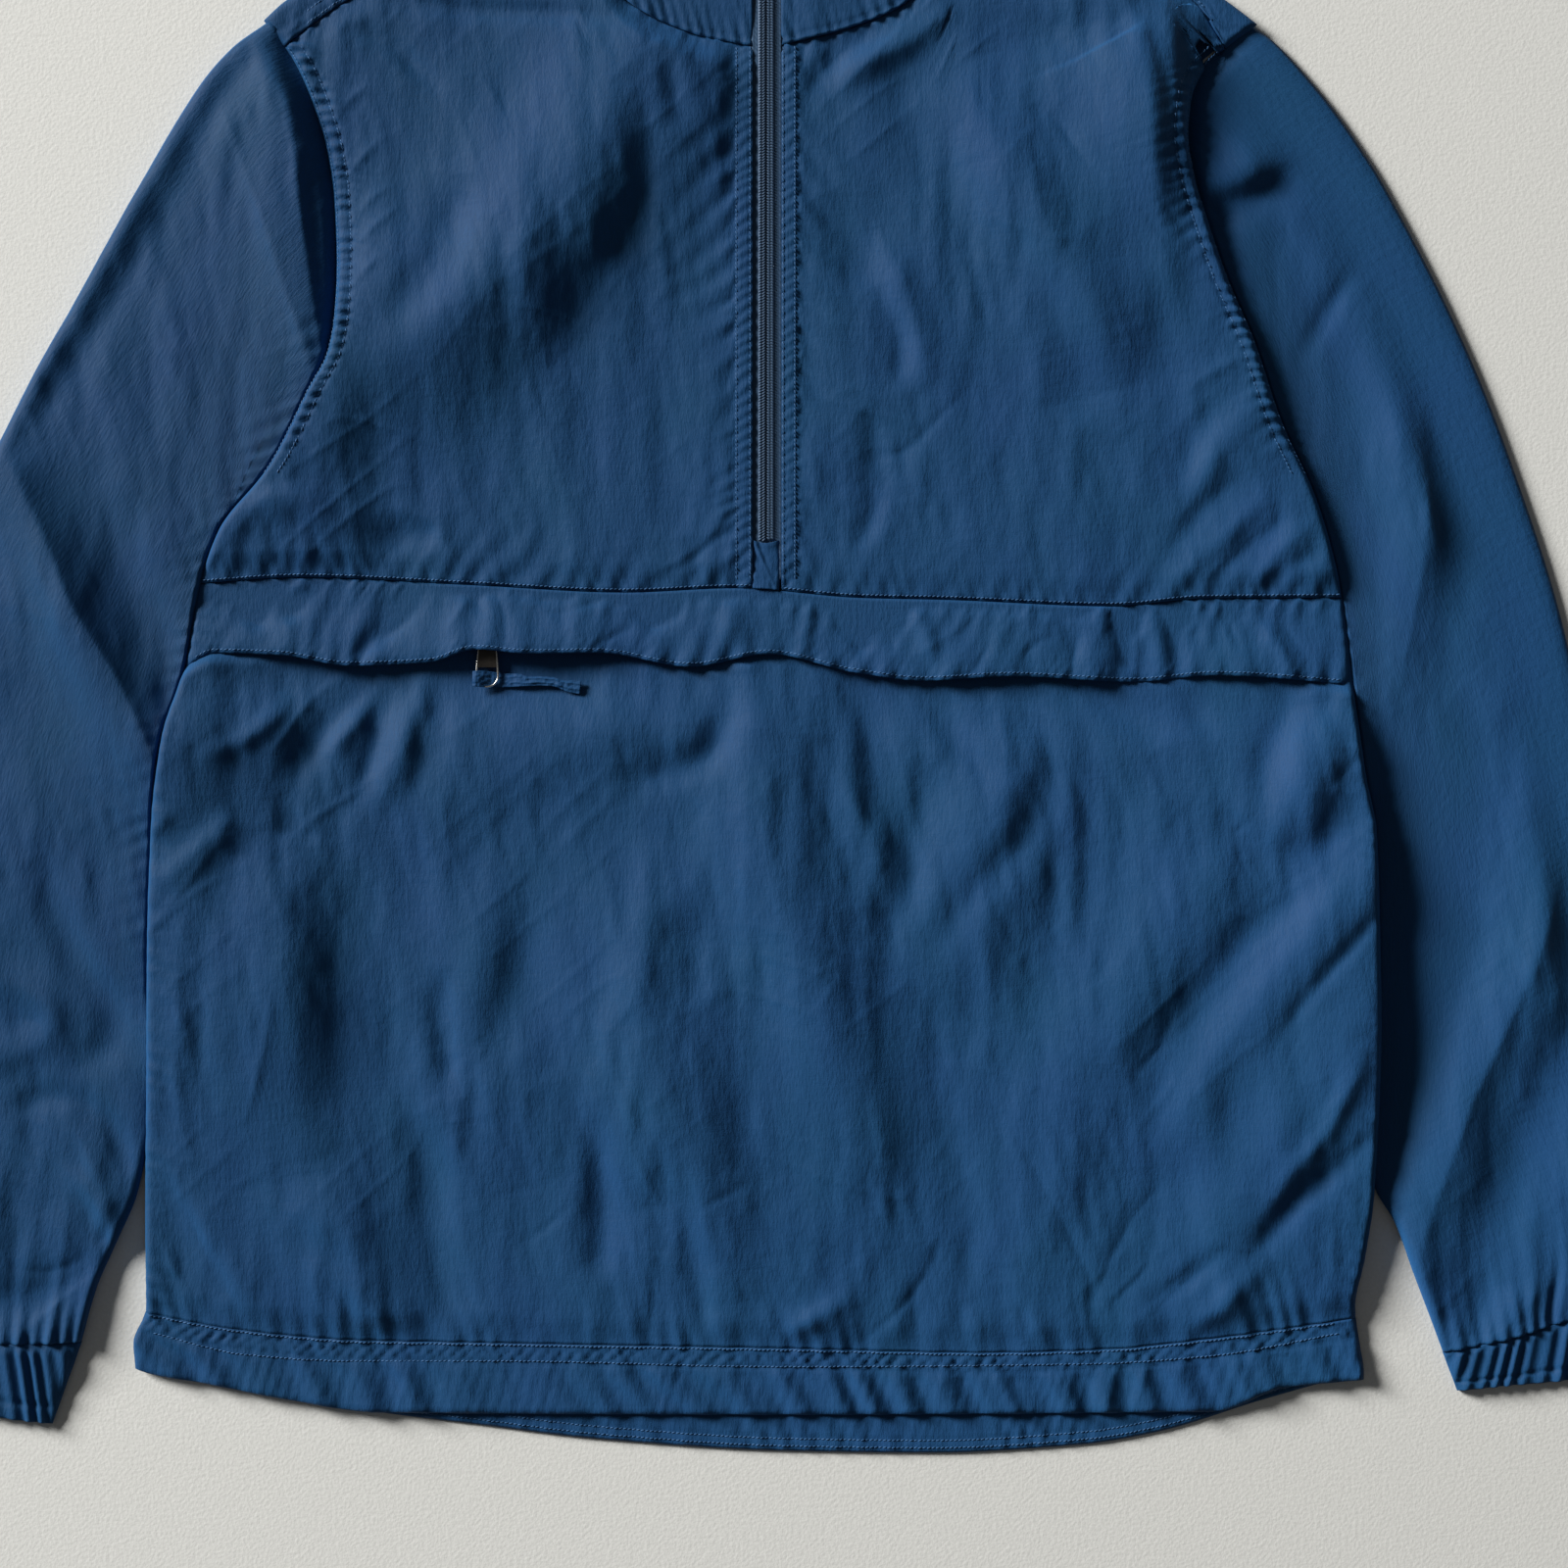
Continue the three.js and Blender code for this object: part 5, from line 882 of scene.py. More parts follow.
# Chest
# Two fronts with the zip between them, each turned in along the zip and sewn down. The left one has
# the garment's largest fold, a ridge that falls from the neck to the underarm.
SHOULDER_SEAM_LEFT = [
    (-225.5, 262.5), (-218.5, 268), (-195.5, 284), (-161, 299), (-129, 310.5), (-89.5, 326.5),
]
SHOULDER_SEAM_RIGHT = [
    (89.5, 326.5), (124, 315.5), (156.5, 306), (188.5, 293), (203.5, 282), (216, 262),
]
NECK_LEFT = [(-89.5, 326.5), (-83, 308), (-65, 284), (-37, 269.5), (-13.5, 264), (-5.5, 262.5)]
NECK_RIGHT = [(8, 263), (14.5, 264.5), (41.5, 271.5), (68, 284), (84, 308), (89.5, 326.5)]
ZIP_LEFT, ZIP_MIDDLE, ZIP_RIGHT = -5.5, 0.8, 8.0
STRIP = 7.6  # width of the sewn strip beside the zip
CHEST_FOLDS = [
    Fold("right chest rise", 9.2, 50.6, 0, [
        (170, 275, 2.8), (177, 238, 4.8), (180, 201, 4.8), (184, 164, 2.8),
    ]),
    Fold("right side lift", 18.4, 32.2, 0, [
        (199, 210, 0.7), (213, 164, 2), (236, 104, 2.7), (258, 62, 2.7), (270, 8, 2),
    ]),
    Fold("chest swell 3", 21.2, 25.8, 0, [
        (97, 256, 0), (110, 215, 5.1), (129, 174, 6), (152, 132, 4.5), (161, 100, 0),
    ]),
    Fold("main ridge", 40.5, 42.3, 0, [
        (-30, 276, 2), (-40, 264, 4), (-55, 244, 6.4), (-70, 222, 8.2), (-87, 199, 9.6),
        (-105, 177, 9.8), (-134, 151, 9.6), (-161, 135, 8.8), (-190, 118, 7.6), (-211, 99, 6.2),
        (-230, 64, 5), (-247, 44, 3), (-264, 26, 1),
    ]),
    Fold("far side of the ridge", 12.0, 12.0, 0, [
        (-58, 240, -1), (-55, 210, -2.5), (-58, 185, -2.5), (-74, 160, -2), (-87, 132, -1.5),
        (-110, 100, 0),
    ]),
    Fold("hollow over the ridge", 12.0, 12.0, 0, [
        (-144, 202, 0), (-146, 182, -2.9), (-152, 161, -3.2), (-164, 143, -2.7), (-177, 133, -1.1),
    ]),
    Fold("under the shoulder", 4.6, 4.6, 0, [
        (-212, 271, 0), (-182, 267, -0.9), (-165, 254, -1.5), (-150, 239, 0),
    ]),
    Fold("along the shoulder", 4.1, 5.5, 0, [
        (-175, 284, -0.8), (-143, 280, -1.3), (-101, 278, -1.3), (-52, 274, 0),
    ]),
    Fold("by the collar", 6.4, 6.4, 0, [(-46, 263, 0), (-42, 240, -2), (-39, 219, 0)]),
    Fold("to the zip end", 5.5, 4.6, 1, [(-15, 53, 0), (-21, 39, 0.7), (-34, 25, 0.9), (-60, 10, 0.4)]),
    Fold("beside the zip end", 3.7, 4.6, 0, [(-17, 40, -0.6), (-27, 28, -1.2), (-41, 17, -0.6)]),
    Fold("lower left roll", 6.4, 9.2, 0, [
        (-260, 29, 0.7), (-239, 45, 1.7), (-218, 49, 2.1), (-200, 36, 1.4), (-191, 22, 0),
    ]),
    Fold("seam hollow", 7.8, 7.4, 0, [(-185, 33, -0.8), (-172, 32, -2.4), (-160, 33, -1.6)]),
    Fold("seam fold", 5.5, 4.1, 0.8, [(-175, 46, 0.3), (-156, 39, 0.8), (-148, 26, 0.7), (-138, 13, 0.3)]),
    Fold("seam crease 1", 3.2, 3.2, 0.5, [(-225, 33, 0), (-227, 24, -0.6), (-229, 13, -0.3)]),
    Fold("seam crease 2", 3.2, 3.2, 0.5, [(-215, 40, 0), (-209, 28, -0.6), (-207, 14, -0.3)]),
    Fold("seam crease 3", 3.2, 3.2, 0.5, [(-201, 36, 0), (-197, 24, -0.6), (-195, 13, -0.3)]),
    Fold("seam crease 4", 2.8, 2.8, 0.5, [(-188, 28, 0), (-185, 20, -0.5), (-184, 12, -0.3)]),
    Fold("pucker to the armhole 1", 3.2, 3.2, 0.6, [(-197, 198, 0), (-188, 210, 0.6), (-176, 222, 0)]),
    Fold("pucker to the armhole 2", 3.2, 3.2, 0.6, [(-194, 177, 0), (-184, 190, 0.6), (-172, 197, 0)]),
    Fold("pucker to the armhole 3", 3.7, 3.2, 0.6, [(-193, 164, 0), (-182, 177, 0.6), (-169, 188, 0)]),
    Fold("pucker to the armhole 4", 3.7, 3.2, 0.6, [(-194, 146, 0), (-184, 158, 0.6), (-175, 164, 0)]),
    Fold("pucker to the armhole 5", 2.8, 2.8, 0.6, [(-200, 229, 0), (-192, 239, 0.5), (-184, 244, 0)]),
    Fold("right fold edge", 8.3, 36.8, 0, [
        (177, 284, 1.6), (185, 275, 3.2), (188, 261, 4.8), (191, 233, 5.3), (197, 215, 4),
        (210, 191, 1.6),
    ]),
    Fold("top hollow", 12.0, 13.8, 0, [(115, 273, -1), (140, 268, -2.8), (161, 271, -1)]),
    Fold("short line", 4.1, 4.1, 0.6, [(121, 233, 0), (136, 227, -0.8), (147, 211, -0.8), (160, 196, 0)]),
    Fold("right hollow", 12.0, 12.0, 0, [(123, 164, -1), (142, 135, -3), (150, 107, -2.6), (144, 86, 0)]),
    Fold("zip hollow", 8.3, 11.0, 0, [
        (30, 194, 0), (38, 178, -2.2), (46, 160, -2.6), (50, 146, -1), (48, 131, 0),
    ]),
    Fold("right of that", 8.3, 8.3, 0, [(58, 176, 0), (63, 151, 2), (71, 123, 2), (78, 100, 0)]),
    Fold("second hollow", 6.0, 6.0, 0, [(55, 151, 0), (63, 132, -1.9), (65, 116, -1.9), (62, 100, 0)]),
    Fold("long hollow", 4.6, 6.4, 0, [
        (46, 92, 0), (52, 82, -1.3), (54, 54, -1.5), (49, 36, -1.3), (40, 24, 0),
    ]),
    Fold("short crease", 3.7, 3.2, 0.8, [(51, 69, -0.3), (67, 73, -0.6), (83, 89, -0.5), (95, 100, 0)]),
    Fold("under the collar", 6.4, 6.4, 0, [(31, 239, 0), (48, 254, 2.1), (67, 264, 2.1), (84, 276, 0.9)]),
    Fold("beside the collar", 6.0, 6.0, 0, [(20, 240, -0.6), (32, 256, -1.9), (47, 271, -1.5)]),
    Fold("wide dip", 15.6, 15.6, 0, [(69, 229, 0), (83, 206, -1.6), (101, 178, -2), (117, 155, -1)]),
    Fold("right valley 1", 6.9, 6.9, 0, [(222, 112, 0), (212, 93, -0.9), (199, 72, -0.9), (190, 52, 0)]),
    Fold("right ridge 1", 6.9, 6.9, 0, [
        (236, 100, 0), (222, 84, 0.9), (209, 66, 1.2), (200, 49, 0.7), (190, 32, 0),
    ]),
    Fold("right valley 2", 6.0, 5.5, 0, [
        (229, 64, 0), (214, 52, -0.9), (200, 38, -0.9), (186, 20, -0.4), (179, 7, 0),
    ]),
    Fold("right ridge 2", 5.5, 5.5, 0, [(240, 55, 0), (224, 40, 1), (209, 26, 1), (195, 12, 0.4)]),
    Fold("right valley 3", 4.6, 4.6, 0, [(249, 46, 0), (235, 33, -0.7), (220, 20, -0.7), (209, 8, -0.3)]),
    Fold("right ridge 3", 4.6, 4.6, 0, [(261, 41, 0), (246, 29, 0.9), (235, 17, 0.9), (224, 6, 0.4)]),
    Fold("right valley 4", 4.1, 4.1, 0, [(263, 27, 0), (251, 20, -0.8), (239, 8, -0.4)]),
    Fold("by the armhole 1", 3.7, 3.7, 0.8, [(223, 115, 0.4), (210, 109, 0.7), (195, 99, 0)]),
    Fold("by the armhole 2", 2.8, 2.8, 0.6, [(174, 187, 0), (184, 174, -0.5), (194, 163, 0)]),
    Fold("by the armhole 3", 2.8, 2.8, 0.6, [(179, 196, 0), (192, 179, -0.5), (201, 170, 0)]),
    Fold("by the armhole 4", 2.8, 2.8, 0.6, [(195, 208, 0), (200, 199, -0.5), (206, 193, 0)]),
    Fold("chest right rise", 13.8, 50.6, 0, [
        (189, 270, 0.8), (196, 229, 1.5), (205, 183, 1.7), (216, 137, 1.5), (230, 95, 0.6),
    ]),
]
ZIP_PUCKERS = [(7.4, 0.6, 4, 0.6, 101), (17, 0.9, 11, 0.9, 103)]
CHEST_SEAM_PUCKERS = [(6.2, 0.75, 6, 0.3, 107), (13, 1.1, 15, -0.5, 109)]
CHEST_TOP_PUCKERS = [(7, 0.7, 7, 0.3, 111), (16, 0.8, 13, -0.2, 113)]
ARMHOLE_PUCKERS = (6.5, 0.8, 6, 0.5, 119)
ARMHOLE_ROWS = (2.0, 8.0)  # the two rows of stitches, in from the armhole
RIB_PITCH, RUNG_PITCH = 5.2, 5.0
front_top_left = through(SHOULDER_SEAM_LEFT + NECK_LEFT[1:])
front_top_right = through(NECK_RIGHT + SHOULDER_SEAM_RIGHT[1:])


def chest_height(x, y):
    top = np.where(x < ZIP_MIDDLE, front_top_left(x), front_top_right(x))
    left = x < ZIP_MIDDLE
    from_zip = np.where(left, ZIP_LEFT - x, x - ZIP_RIGHT)
    from_seam, from_top = y - chest_seam(x), top - y
    nearest = np.minimum(from_seam, from_top)
    calm = smooth((from_zip - 5) / 12) * smooth((nearest + 1) / 15)
    lie = SEAM_LIE + (FRONT_LIE - SEAM_LIE) * smooth(nearest / 14)
    strip = 1 - smooth((from_zip - STRIP) / 1.6)
    beside = np.maximum(from_zip - STRIP, 0)
    slant = y + 0.6 * from_zip * np.where(left, 1, -1)
    ribs = 0.28 * np.sin(2 * np.pi * (slant / RIB_PITCH + 0.6 * drift(y, 0, 16, 1, 105)))
    rows = groove(from_zip, 1.1, 0.8) + groove(from_zip, STRIP, 0.8)
    z = lie + calm * (relief(x, y, CHEST_FOLDS) + crumple(x, y, 115))
    z = z + (1 - strip) * pucker(y, beside, *ZIP_PUCKERS) + strip * (ribs + 0.5) - 0.5 * rows
    z = z + pucker(x, from_seam, *CHEST_SEAM_PUCKERS) + pucker(x, from_top, *CHEST_TOP_PUCKERS)
    z = z - 1.0 * (1 - smooth(from_seam / 1.5)) - 0.8 * (1 - smooth(from_top / 1.5))
    from_side = np.where(left, x - left_edge(y), right_edge(y) - x)
    first_row, last_row = ARMHOLE_ROWS
    band = 1 - smooth((from_side - last_row) / 1.5)
    rungs = 0.65 * np.sin(2 * np.pi * (y / RUNG_PITCH + 0.5 * drift(y, 0, 14, 1, 117)))
    rungs = rungs * smooth(from_side / 2)
    edge_rows = groove(from_side, first_row, 0.9) + groove(from_side, last_row, 0.9)
    armhole = smooth((y - 60) / 30)
    gathers = pucker(y, np.maximum(from_side - last_row, 0), ARMHOLE_PUCKERS)
    z = soft_floor(z, FRONT_LOW) + armhole * (band * rungs - 0.6 * edge_rows + gathers)
    return RIM + (z - RIM) * rounded(from_side)


def half_plan(side, inner, low, high, u, v):
    """Plan points of a piece of the left or right half, from x = inner out to the body's edge."""
    upright = lambda y: inner + 0 * y
    sides = (left_edge, upright) if side < 0 else (upright, right_edge)
    return plan(*sides, low, high, u, v)


for name, node, inner, top, side in (
    ("chest_left_cloth", "chest_left", ZIP_LEFT, front_top_left, -1),
    ("chest_right_cloth", "chest_right", ZIP_RIGHT, front_top_right, 1),
):
    x, y = half_plan(side, inner, lambda x: chest_seam(x) + SEAM_GAP, lambda x: top(x) - SEAM_GAP,
                     shares(245, 1.4, side < 0, side > 0), shares(285, 1.4))
    chest = cloth(name, x, y, chest_height(x, y), FRONT_FLOOR)
    declare(chest, node, flat_area(x, y))

# Shoulders
# The back comes over each shoulder to a seam on the front, sewn down with two rows of stitches. This
# is the strip of it that shows on the front.
SHOULDER_INNER = 91.0
SHOULDER_PUCKERS = [(5.0, 0.6, 8, 0.4, 121), (11, 0.6, 14, -0.4, 123)]
SHOULDER_ROWS = (2.0, 8.0)


def shoulder_height(x, y):
    low = np.where(x < 0, front_top_left(x), front_top_right(x))
    from_seam, from_top = y - low, shoulder_line(x) - y
    puckers = pucker(x, from_seam, *SHOULDER_PUCKERS)
    rows = sum(groove(from_seam, row, 0.9) for row in SHOULDER_ROWS)
    z = SEAM_LIE + 1.0 + puckers - 0.45 * rows
    edge = np.where(x < 0, x - left_edge(y), right_edge(y) - x)
    return RIM + (z - RIM) * np.minimum(rounded(from_top * 0.8 + 0.3), rounded(edge + 0.5, 6))


for name, node, low, side in (
    ("shoulder_left_cloth", "shoulder_left", front_top_left, -1),
    ("shoulder_right_cloth", "shoulder_right", front_top_right, 1),
):
    x, y = half_plan(
        side, side * SHOULDER_INNER, lambda x: low(x) + SEAM_GAP, lambda x: shoulder_line(x) - 0.3,
        shares(135, 1.3, side < 0, side > 0), shares(13, 1.2, False, True))
    shoulder = cloth(name, x, y, shoulder_height(x, y), 1.0)
    declare(shoulder, node, flat_area(x, y))

# Collar
# Stand collar, drawn in a little where it is sewn to the neck. Its two front halves stand up from the
# seam and lie back over the back half.
COLLAR_HIGH = 65.0
COLLAR_LEAN = 4.0
COLLAR_LIE = 7.0
COLLAR_RIM = 1.8
NECK_HALF = 89.5
BACK_NECK, BACK_COLLAR_TOP = 341.3, 402.7


def curve_of(rows):
    """Plan point at a share of a smooth curve's length."""
    path = smooth_path([(*row, 0) for row in rows], 12)[:, :2]
    run = np.concatenate([[0], np.cumsum(np.hypot(*np.diff(path, axis=0).T))])

    def at(t):
        along = np.clip(t, 0, 1) * run[-1]
        return np.interp(along, run, path[:, 0]), np.interp(along, run, path[:, 1])

    at.length = run[-1]
    return at


for name, node, rows, side in (
    ("collar_left_cloth", "collar_front_left", NECK_LEFT, -1),
    ("collar_right_cloth", "collar_front_right", NECK_RIGHT, 1),
):
    neck = curve_of(rows)
    u, v = np.meshgrid(shares(neck.length, 1.3, side < 0, side > 0), shares(COLLAR_HIGH, 1.3))
    nx, ny = neck(u)
    x = nx - side * COLLAR_LEAN * v * np.abs(nx) / NECK_HALF
    y = ny + COLLAR_HIGH * v
    along = u * neck.length
    up = v * COLLAR_HIGH
    from_side = (u if side < 0 else 1 - u) * neck.length
    from_zip = neck.length - from_side
    z = COLLAR_LIE + 0.8 * np.sin(np.pi * v)
    z = z + pucker(along, up, (6.5, 0.8, 12, 0.3, 131 + side))
    z = z + pucker(along, COLLAR_HIGH - up, (17, 0.5, 18, 0.2, 137))
    z = z + 0.7 * crumple(x, y, 141 + side) - 0.5 * groove(from_zip, 6, 1.0)
    z = z - 0.4 * groove(up, 3.0, 0.9) - 0.4 * groove(COLLAR_HIGH - up, 6, 0.9)
    z = COLLAR_RIM + (z - COLLAR_RIM) * rounded(from_side + 0.4, 8)
    collar = cloth(name, x, y, z, 1.5)
    declare(collar, node, flat_area(x, y))
collar_side = lambda y: NECK_HALF - COLLAR_LEAN * smooth((y - BACK_NECK) / COLLAR_HIGH)
x, y = plan(lambda y: -collar_side(y), collar_side, lambda x: BACK_NECK + 0 * x,
            lambda x: BACK_COLLAR_TOP - 3 * (x / NECK_HALF) ** 2, shares(175, 2.2), shares(61, 2.2))
z = BACK_LIE + 0.35 * smooth((BACK_COLLAR_TOP - y) / 3) + 0.15 * drift(x, y, 8, 14, 151)
collar_back = cloth("collar_back_cloth", x, y, z, 0.0)
declare(collar_back, "collar_back", flat_area(x, y))

# Sleeves
# Long plain sleeves, each a flattened tube from the armhole to the cuff. They lie beside the body,
# tucked under the armhole's edge, in a few long folds with drawn creases at the elbow and the cuff.
LEFT_SLEEVE_OUTER = [
    (-237.5, 275), (-251.5, 261), (-270, 238), (-297, 192), (-322.5, 146), (-348, 100), (-379.5, 33.5),
    (-400, -15), (-415, -65.5), (-425.5, -121), (-431, -176), (-432.5, -222), (-430, -268),
    (-424.5, -309.5), (-416.5, -338),
]
LEFT_SLEEVE_INNER = [
    (-284, -235), (-290.5, -258), (-295.5, -278.5), (-302.5, -295), (-314, -321), (-321, -346),
]
RIGHT_SLEEVE_OUTER = [
    (234, 273), (243, 262), (264, 238), (280.5, 215), (294.5, 192), (318.5, 146), (339, 100), (356, 54),
    (371, 8), (382.5, -38), (393, -84), (405, -139), (416, -194.5), (425, -245), (431.5, -286.5),
    (430.5, -314), (420.5, -333.5),
]
RIGHT_SLEEVE_INNER = [
    (281, -255), (287.5, -275), (296.5, -290.5), (305, -314), (314, -337.5), (319, -351),
]
LEFT_CUFF_SEAM = [(-416.5, -338), (-386.5, -344.5), (-355, -347), (-321, -346)]
LEFT_CUFF_END = [(-410.5, -367.5), (-386.5, -375.5), (-359, -382), (-335, -385)]
RIGHT_CUFF_SEAM = [(420.5, -333.5), (377, -336.5), (349.5, -344.5), (319, -351)]
RIGHT_CUFF_END = [(416, -360), (377, -364.5), (349.5, -367), (326, -369.5)]
SLEEVE_TUCK = 3.0  # how far the sleeve reaches in under the body's rim
SLEEVE_ROLL = 4.0
SLEEVE_RIM = 1.6
SLEEVE_LOW = 2.6
TUCKED = 0.55  # level of the cloth that is pushed in under the body
UNDER_COUNT = 12  # points across a sleeve's hidden lower layer
UNDER_WIDE = 0.985  # that layer's width as a share of the upper one's
TUBE_INSET = 1.3
SLEEVE_GRAIN = 300  # the weave's place on the sleeves
OUTER_LIE = 3.2  # the right sleeve lies nearly flat along its outer edge
SLEEVE_FOLDS = [
    Fold("beside the body", 30.4, 18.4, 0, [
        (216, 178, -0.6), (239, 124, -1.6), (268, 54, -3), (282, 8, -4.4), (289, -37, -5.4),
        (301, -107, -6), (304, -158, -6), (303, -197, -6), (297, -240, -5.6), (293, -277, -4),
    ]),
    Fold("outer hollow", 12.0, 13.8, 0, [
        (326, 109, -1.6), (331, 82, -3.2), (332, 45, -3.4), (328, 8, -2.6), (322, -29, -1.4),
    ]),
    Fold("shoulder fold", 6.9, 26.7, -1, [
        (-238, 256, 1), (-227, 240, 3), (-221, 220, 4), (-218, 192, 4.2), (-213, 155, 4),
        (-208, 123, 3.4), (-203, 105, 2),
    ]),
    Fold("shoulder fold's left line", 4.6, 3.7, 0.8, [
        (-256, 238, 0.4), (-248, 215, 0.6), (-236, 185, 0.7), (-222, 141, 0.7), (-213, 113, 0.4),
    ]),
    Fold("short top fold", 5.5, 4.1, 0.6, [
        (-234, 263, 0), (-238, 254, 0.8), (-240, 238, 0.6), (-246, 223, 0),
    ]),
    Fold("top hollow", 8.3, 7.4, 0, [
        (-238, 264, -0.7), (-249, 250, -2.2), (-261, 231, -2.4), (-270, 214, -0.7),
    ]),
    Fold("outer ridge", 8.3, 4.6, 0, [
        (-253, 249, 0.5), (-290, 197, 1.3), (-320, 145, 1.5), (-346, 98, 1.5), (-363, 68, 1),
    ]),
    Fold("outer valley", 8.3, 8.3, 0, [
        (-264, 225, -0.5), (-283, 185, -1), (-306, 144, -1.2), (-331, 107, -1.3), (-355, 73, -0.9),
    ]),
    Fold("elbow ridge", 18.4, 21.2, -1, [
        (-354, 72, 3), (-349, 58, 5), (-335, 28, 6.4), (-323, -1, 7), (-310, -22, 7), (-300, -39, 6.6),
        (-288, -66, 6), (-282, -84, 4),
    ]),
    Fold("elbow hollow", 13.8, 12.0, 0, [
        (-316, 54, -1), (-304, 24, -2), (-290, -13, -2.4), (-282, -41, -1.6),
    ]),
    Fold("forearm hollow 1", 8.3, 8.3, 0, [
        (-339, -117, -0.7), (-332, -146, -1.9), (-320, -171, -2.4), (-308, -188, -2.6),
        (-308, -206, -2.2), (-321, -216, -0.7),
    ]),
    Fold("forearm lobe", 7.4, 9.2, 0, [
        (-373, -169, 2), (-341, -183, 2.4), (-334, -196, 2), (-345, -208, 1.3), (-368, -214, 1.3),
    ]),
    Fold("forearm arc", 6.0, 5.5, 0, [
        (-351, -237, -0.6), (-336, -231, -1.3), (-319, -234, -1.4), (-307, -246, -1.8),
        (-301, -260, -1.8), (-298, -270, -0.6),
    ]),
    Fold("forearm fold", 4.6, 5.5, 0, [
        (-320, -250, 0.5), (-313, -268, 1.5), (-305, -290, 1.4), (-301, -306, 0.5),
    ]),
    Fold("forearm fold 2", 4.1, 4.6, 0, [(-331, -261, 0), (-317, -275, 1.3), (-305, -296, 1.2)]),
    Fold("cuff hollow", 10.1, 10.1, 0, [(-368, -330, -3), (-340, -325, -2.8), (-320, -313, -1)]),
    Fold("cuff diagonal 1", 3.7, 3.7, 0.5, [(-359, -310, 0), (-336, -313, -0.7), (-313, -303, 0)]),
    Fold("cuff diagonal 2", 3.7, 3.7, 0.5, [(-353, -347, 0), (-333, -329, 0.7), (-309, -310, 0)]),
    Fold("edge bump", 4.1, 4.1, 0, [(-304, -284, -0.6), (-309, -296, -1.3), (-315, -300, 0)]),
    Fold("under the wedge", 7.4, 9.2, 0, [
        (213, 186, -2.1), (231, 194, -2.4), (249, 204, -2), (263, 210, -0.6),
    ]),
    Fold("right crease", 4.6, 5.1, 0, [
        (288, 172, 0), (279, 158, -1.2), (267, 141, -1.5), (258, 125, -1.2), (253, 113, 0),
    ]),
    Fold("right line", 5.1, 5.1, 0, [
        (290, 163, 0), (299, 144, -0.8), (310, 121, -1.4), (315, 100, -1.6), (317, 77, -1.1),
        (321, 58, 0),
    ]),
    Fold("outer line", 3.7, 3.7, 0.6, [
        (237, 254, 0.4), (262, 220, 0.7), (285, 179, 0.7), (304, 137, 0.6), (317, 100, 0),
    ]),
    Fold("shoulder line", 2.8, 2.8, 0.5, [(215, 238, 0), (230, 239, -0.5), (245, 243, 0)]),
    Fold("long ridge", 28.5, 27.6, -1, [
        (284, 169, 2.2), (303, 141, 3.7), (311, 114, 4.6), (309, 77, 5.3), (310, 44, 5.3), (306, 5, 5.3),
        (299, -33, 4.8), (294, -66, 2.6),
    ]),
    Fold("forearm ridge", 25.8, 28.5, -1, [
        (382, -66, 3), (376, -112, 4.6), (364, -158, 5.6), (345, -203, 6), (331, -233, 6),
        (319, -266, 5.6), (309, -295, 4.6), (304, -319, 2),
    ]),
    Fold("forearm valley", 13.8, 13.8, 0, [
        (377, -204, -2.4), (362, -245, -3.2), (345, -286, -3.4), (335, -328, -2.6),
    ]),
    Fold("right elbow", 15.6, 12.0, 0, [(317, -70, 0), (350, -45, 1.6), (382, -33, 1.5)]),
    Fold("cuff loop 1", 3.2, 3.2, 0.4, [(374, -308, -0.2), (371, -321, -0.6), (366, -338, -0.4)]),
    Fold("cuff loop 2", 3.2, 3.2, 0.4, [(362, -314, 0), (360, -324, 0.6), (357, -338, 0.3)]),
    Fold("cuff fold", 4.6, 5.5, 0, [(340, -314, 0), (337, -328, -1.5), (335, -342, -1.2)]),
    Fold("cuff fold 2", 4.6, 4.6, 0, [(350, -319, 0), (351, -329, 1.5), (350, -341, 0.7)]),
    Fold("long sleeve hollow", 27.6, 36.8, 0, [
        (327, -10, -1.6), (338, -66, -3.4), (344, -121, -3.6), (345, -176, -3.4), (340, -231, -2.4),
        (338, -277, -1.2),
    ]),
    Fold("ridge off the armhole", 20.2, 7.4, 0, [
        (210, 194, 2.2), (230, 201, 3.4), (248, 210, 3), (263, 216, 1.2),
    ]),
    Fold("upper sleeve hollow", 23.0, 20.2, 0, [
        (253, 183, -0.6), (266, 151, -1.4), (281, 114, -2), (287, 72, -2.4), (286, 26, -2.2),
        (285, -20, -1.2),
    ]),
]


def coons(border, u, t):
    """Plan point between four border curves: start and end run across, near and far run along."""
    start, end, near, far = (border[side] for side in ("start", "end", "near", "far"))
    corners = (start(0.0), start(1.0), end(0.0), end(1.0))

    def blended(s, e, n, f, s0, s1, e0, e1):
        ends = (s0 + (s1 - s0) * u) * (1 - t) + (e0 + (e1 - e0) * u) * t
        return s + (e - s) * t + n + (f - n) * u - ends

    return tuple(blended(*axis) for axis in zip(start(u), end(u), near(t), far(t), *corners))


def ring_faces(points):
    """Four-sided faces between the rows of a grid whose rows close on themselves."""
    following = np.roll(points, -1, 1)
    return np.stack([points[:-1], following[:-1], following[1:], points[1:]], -1).reshape(-1, 4)


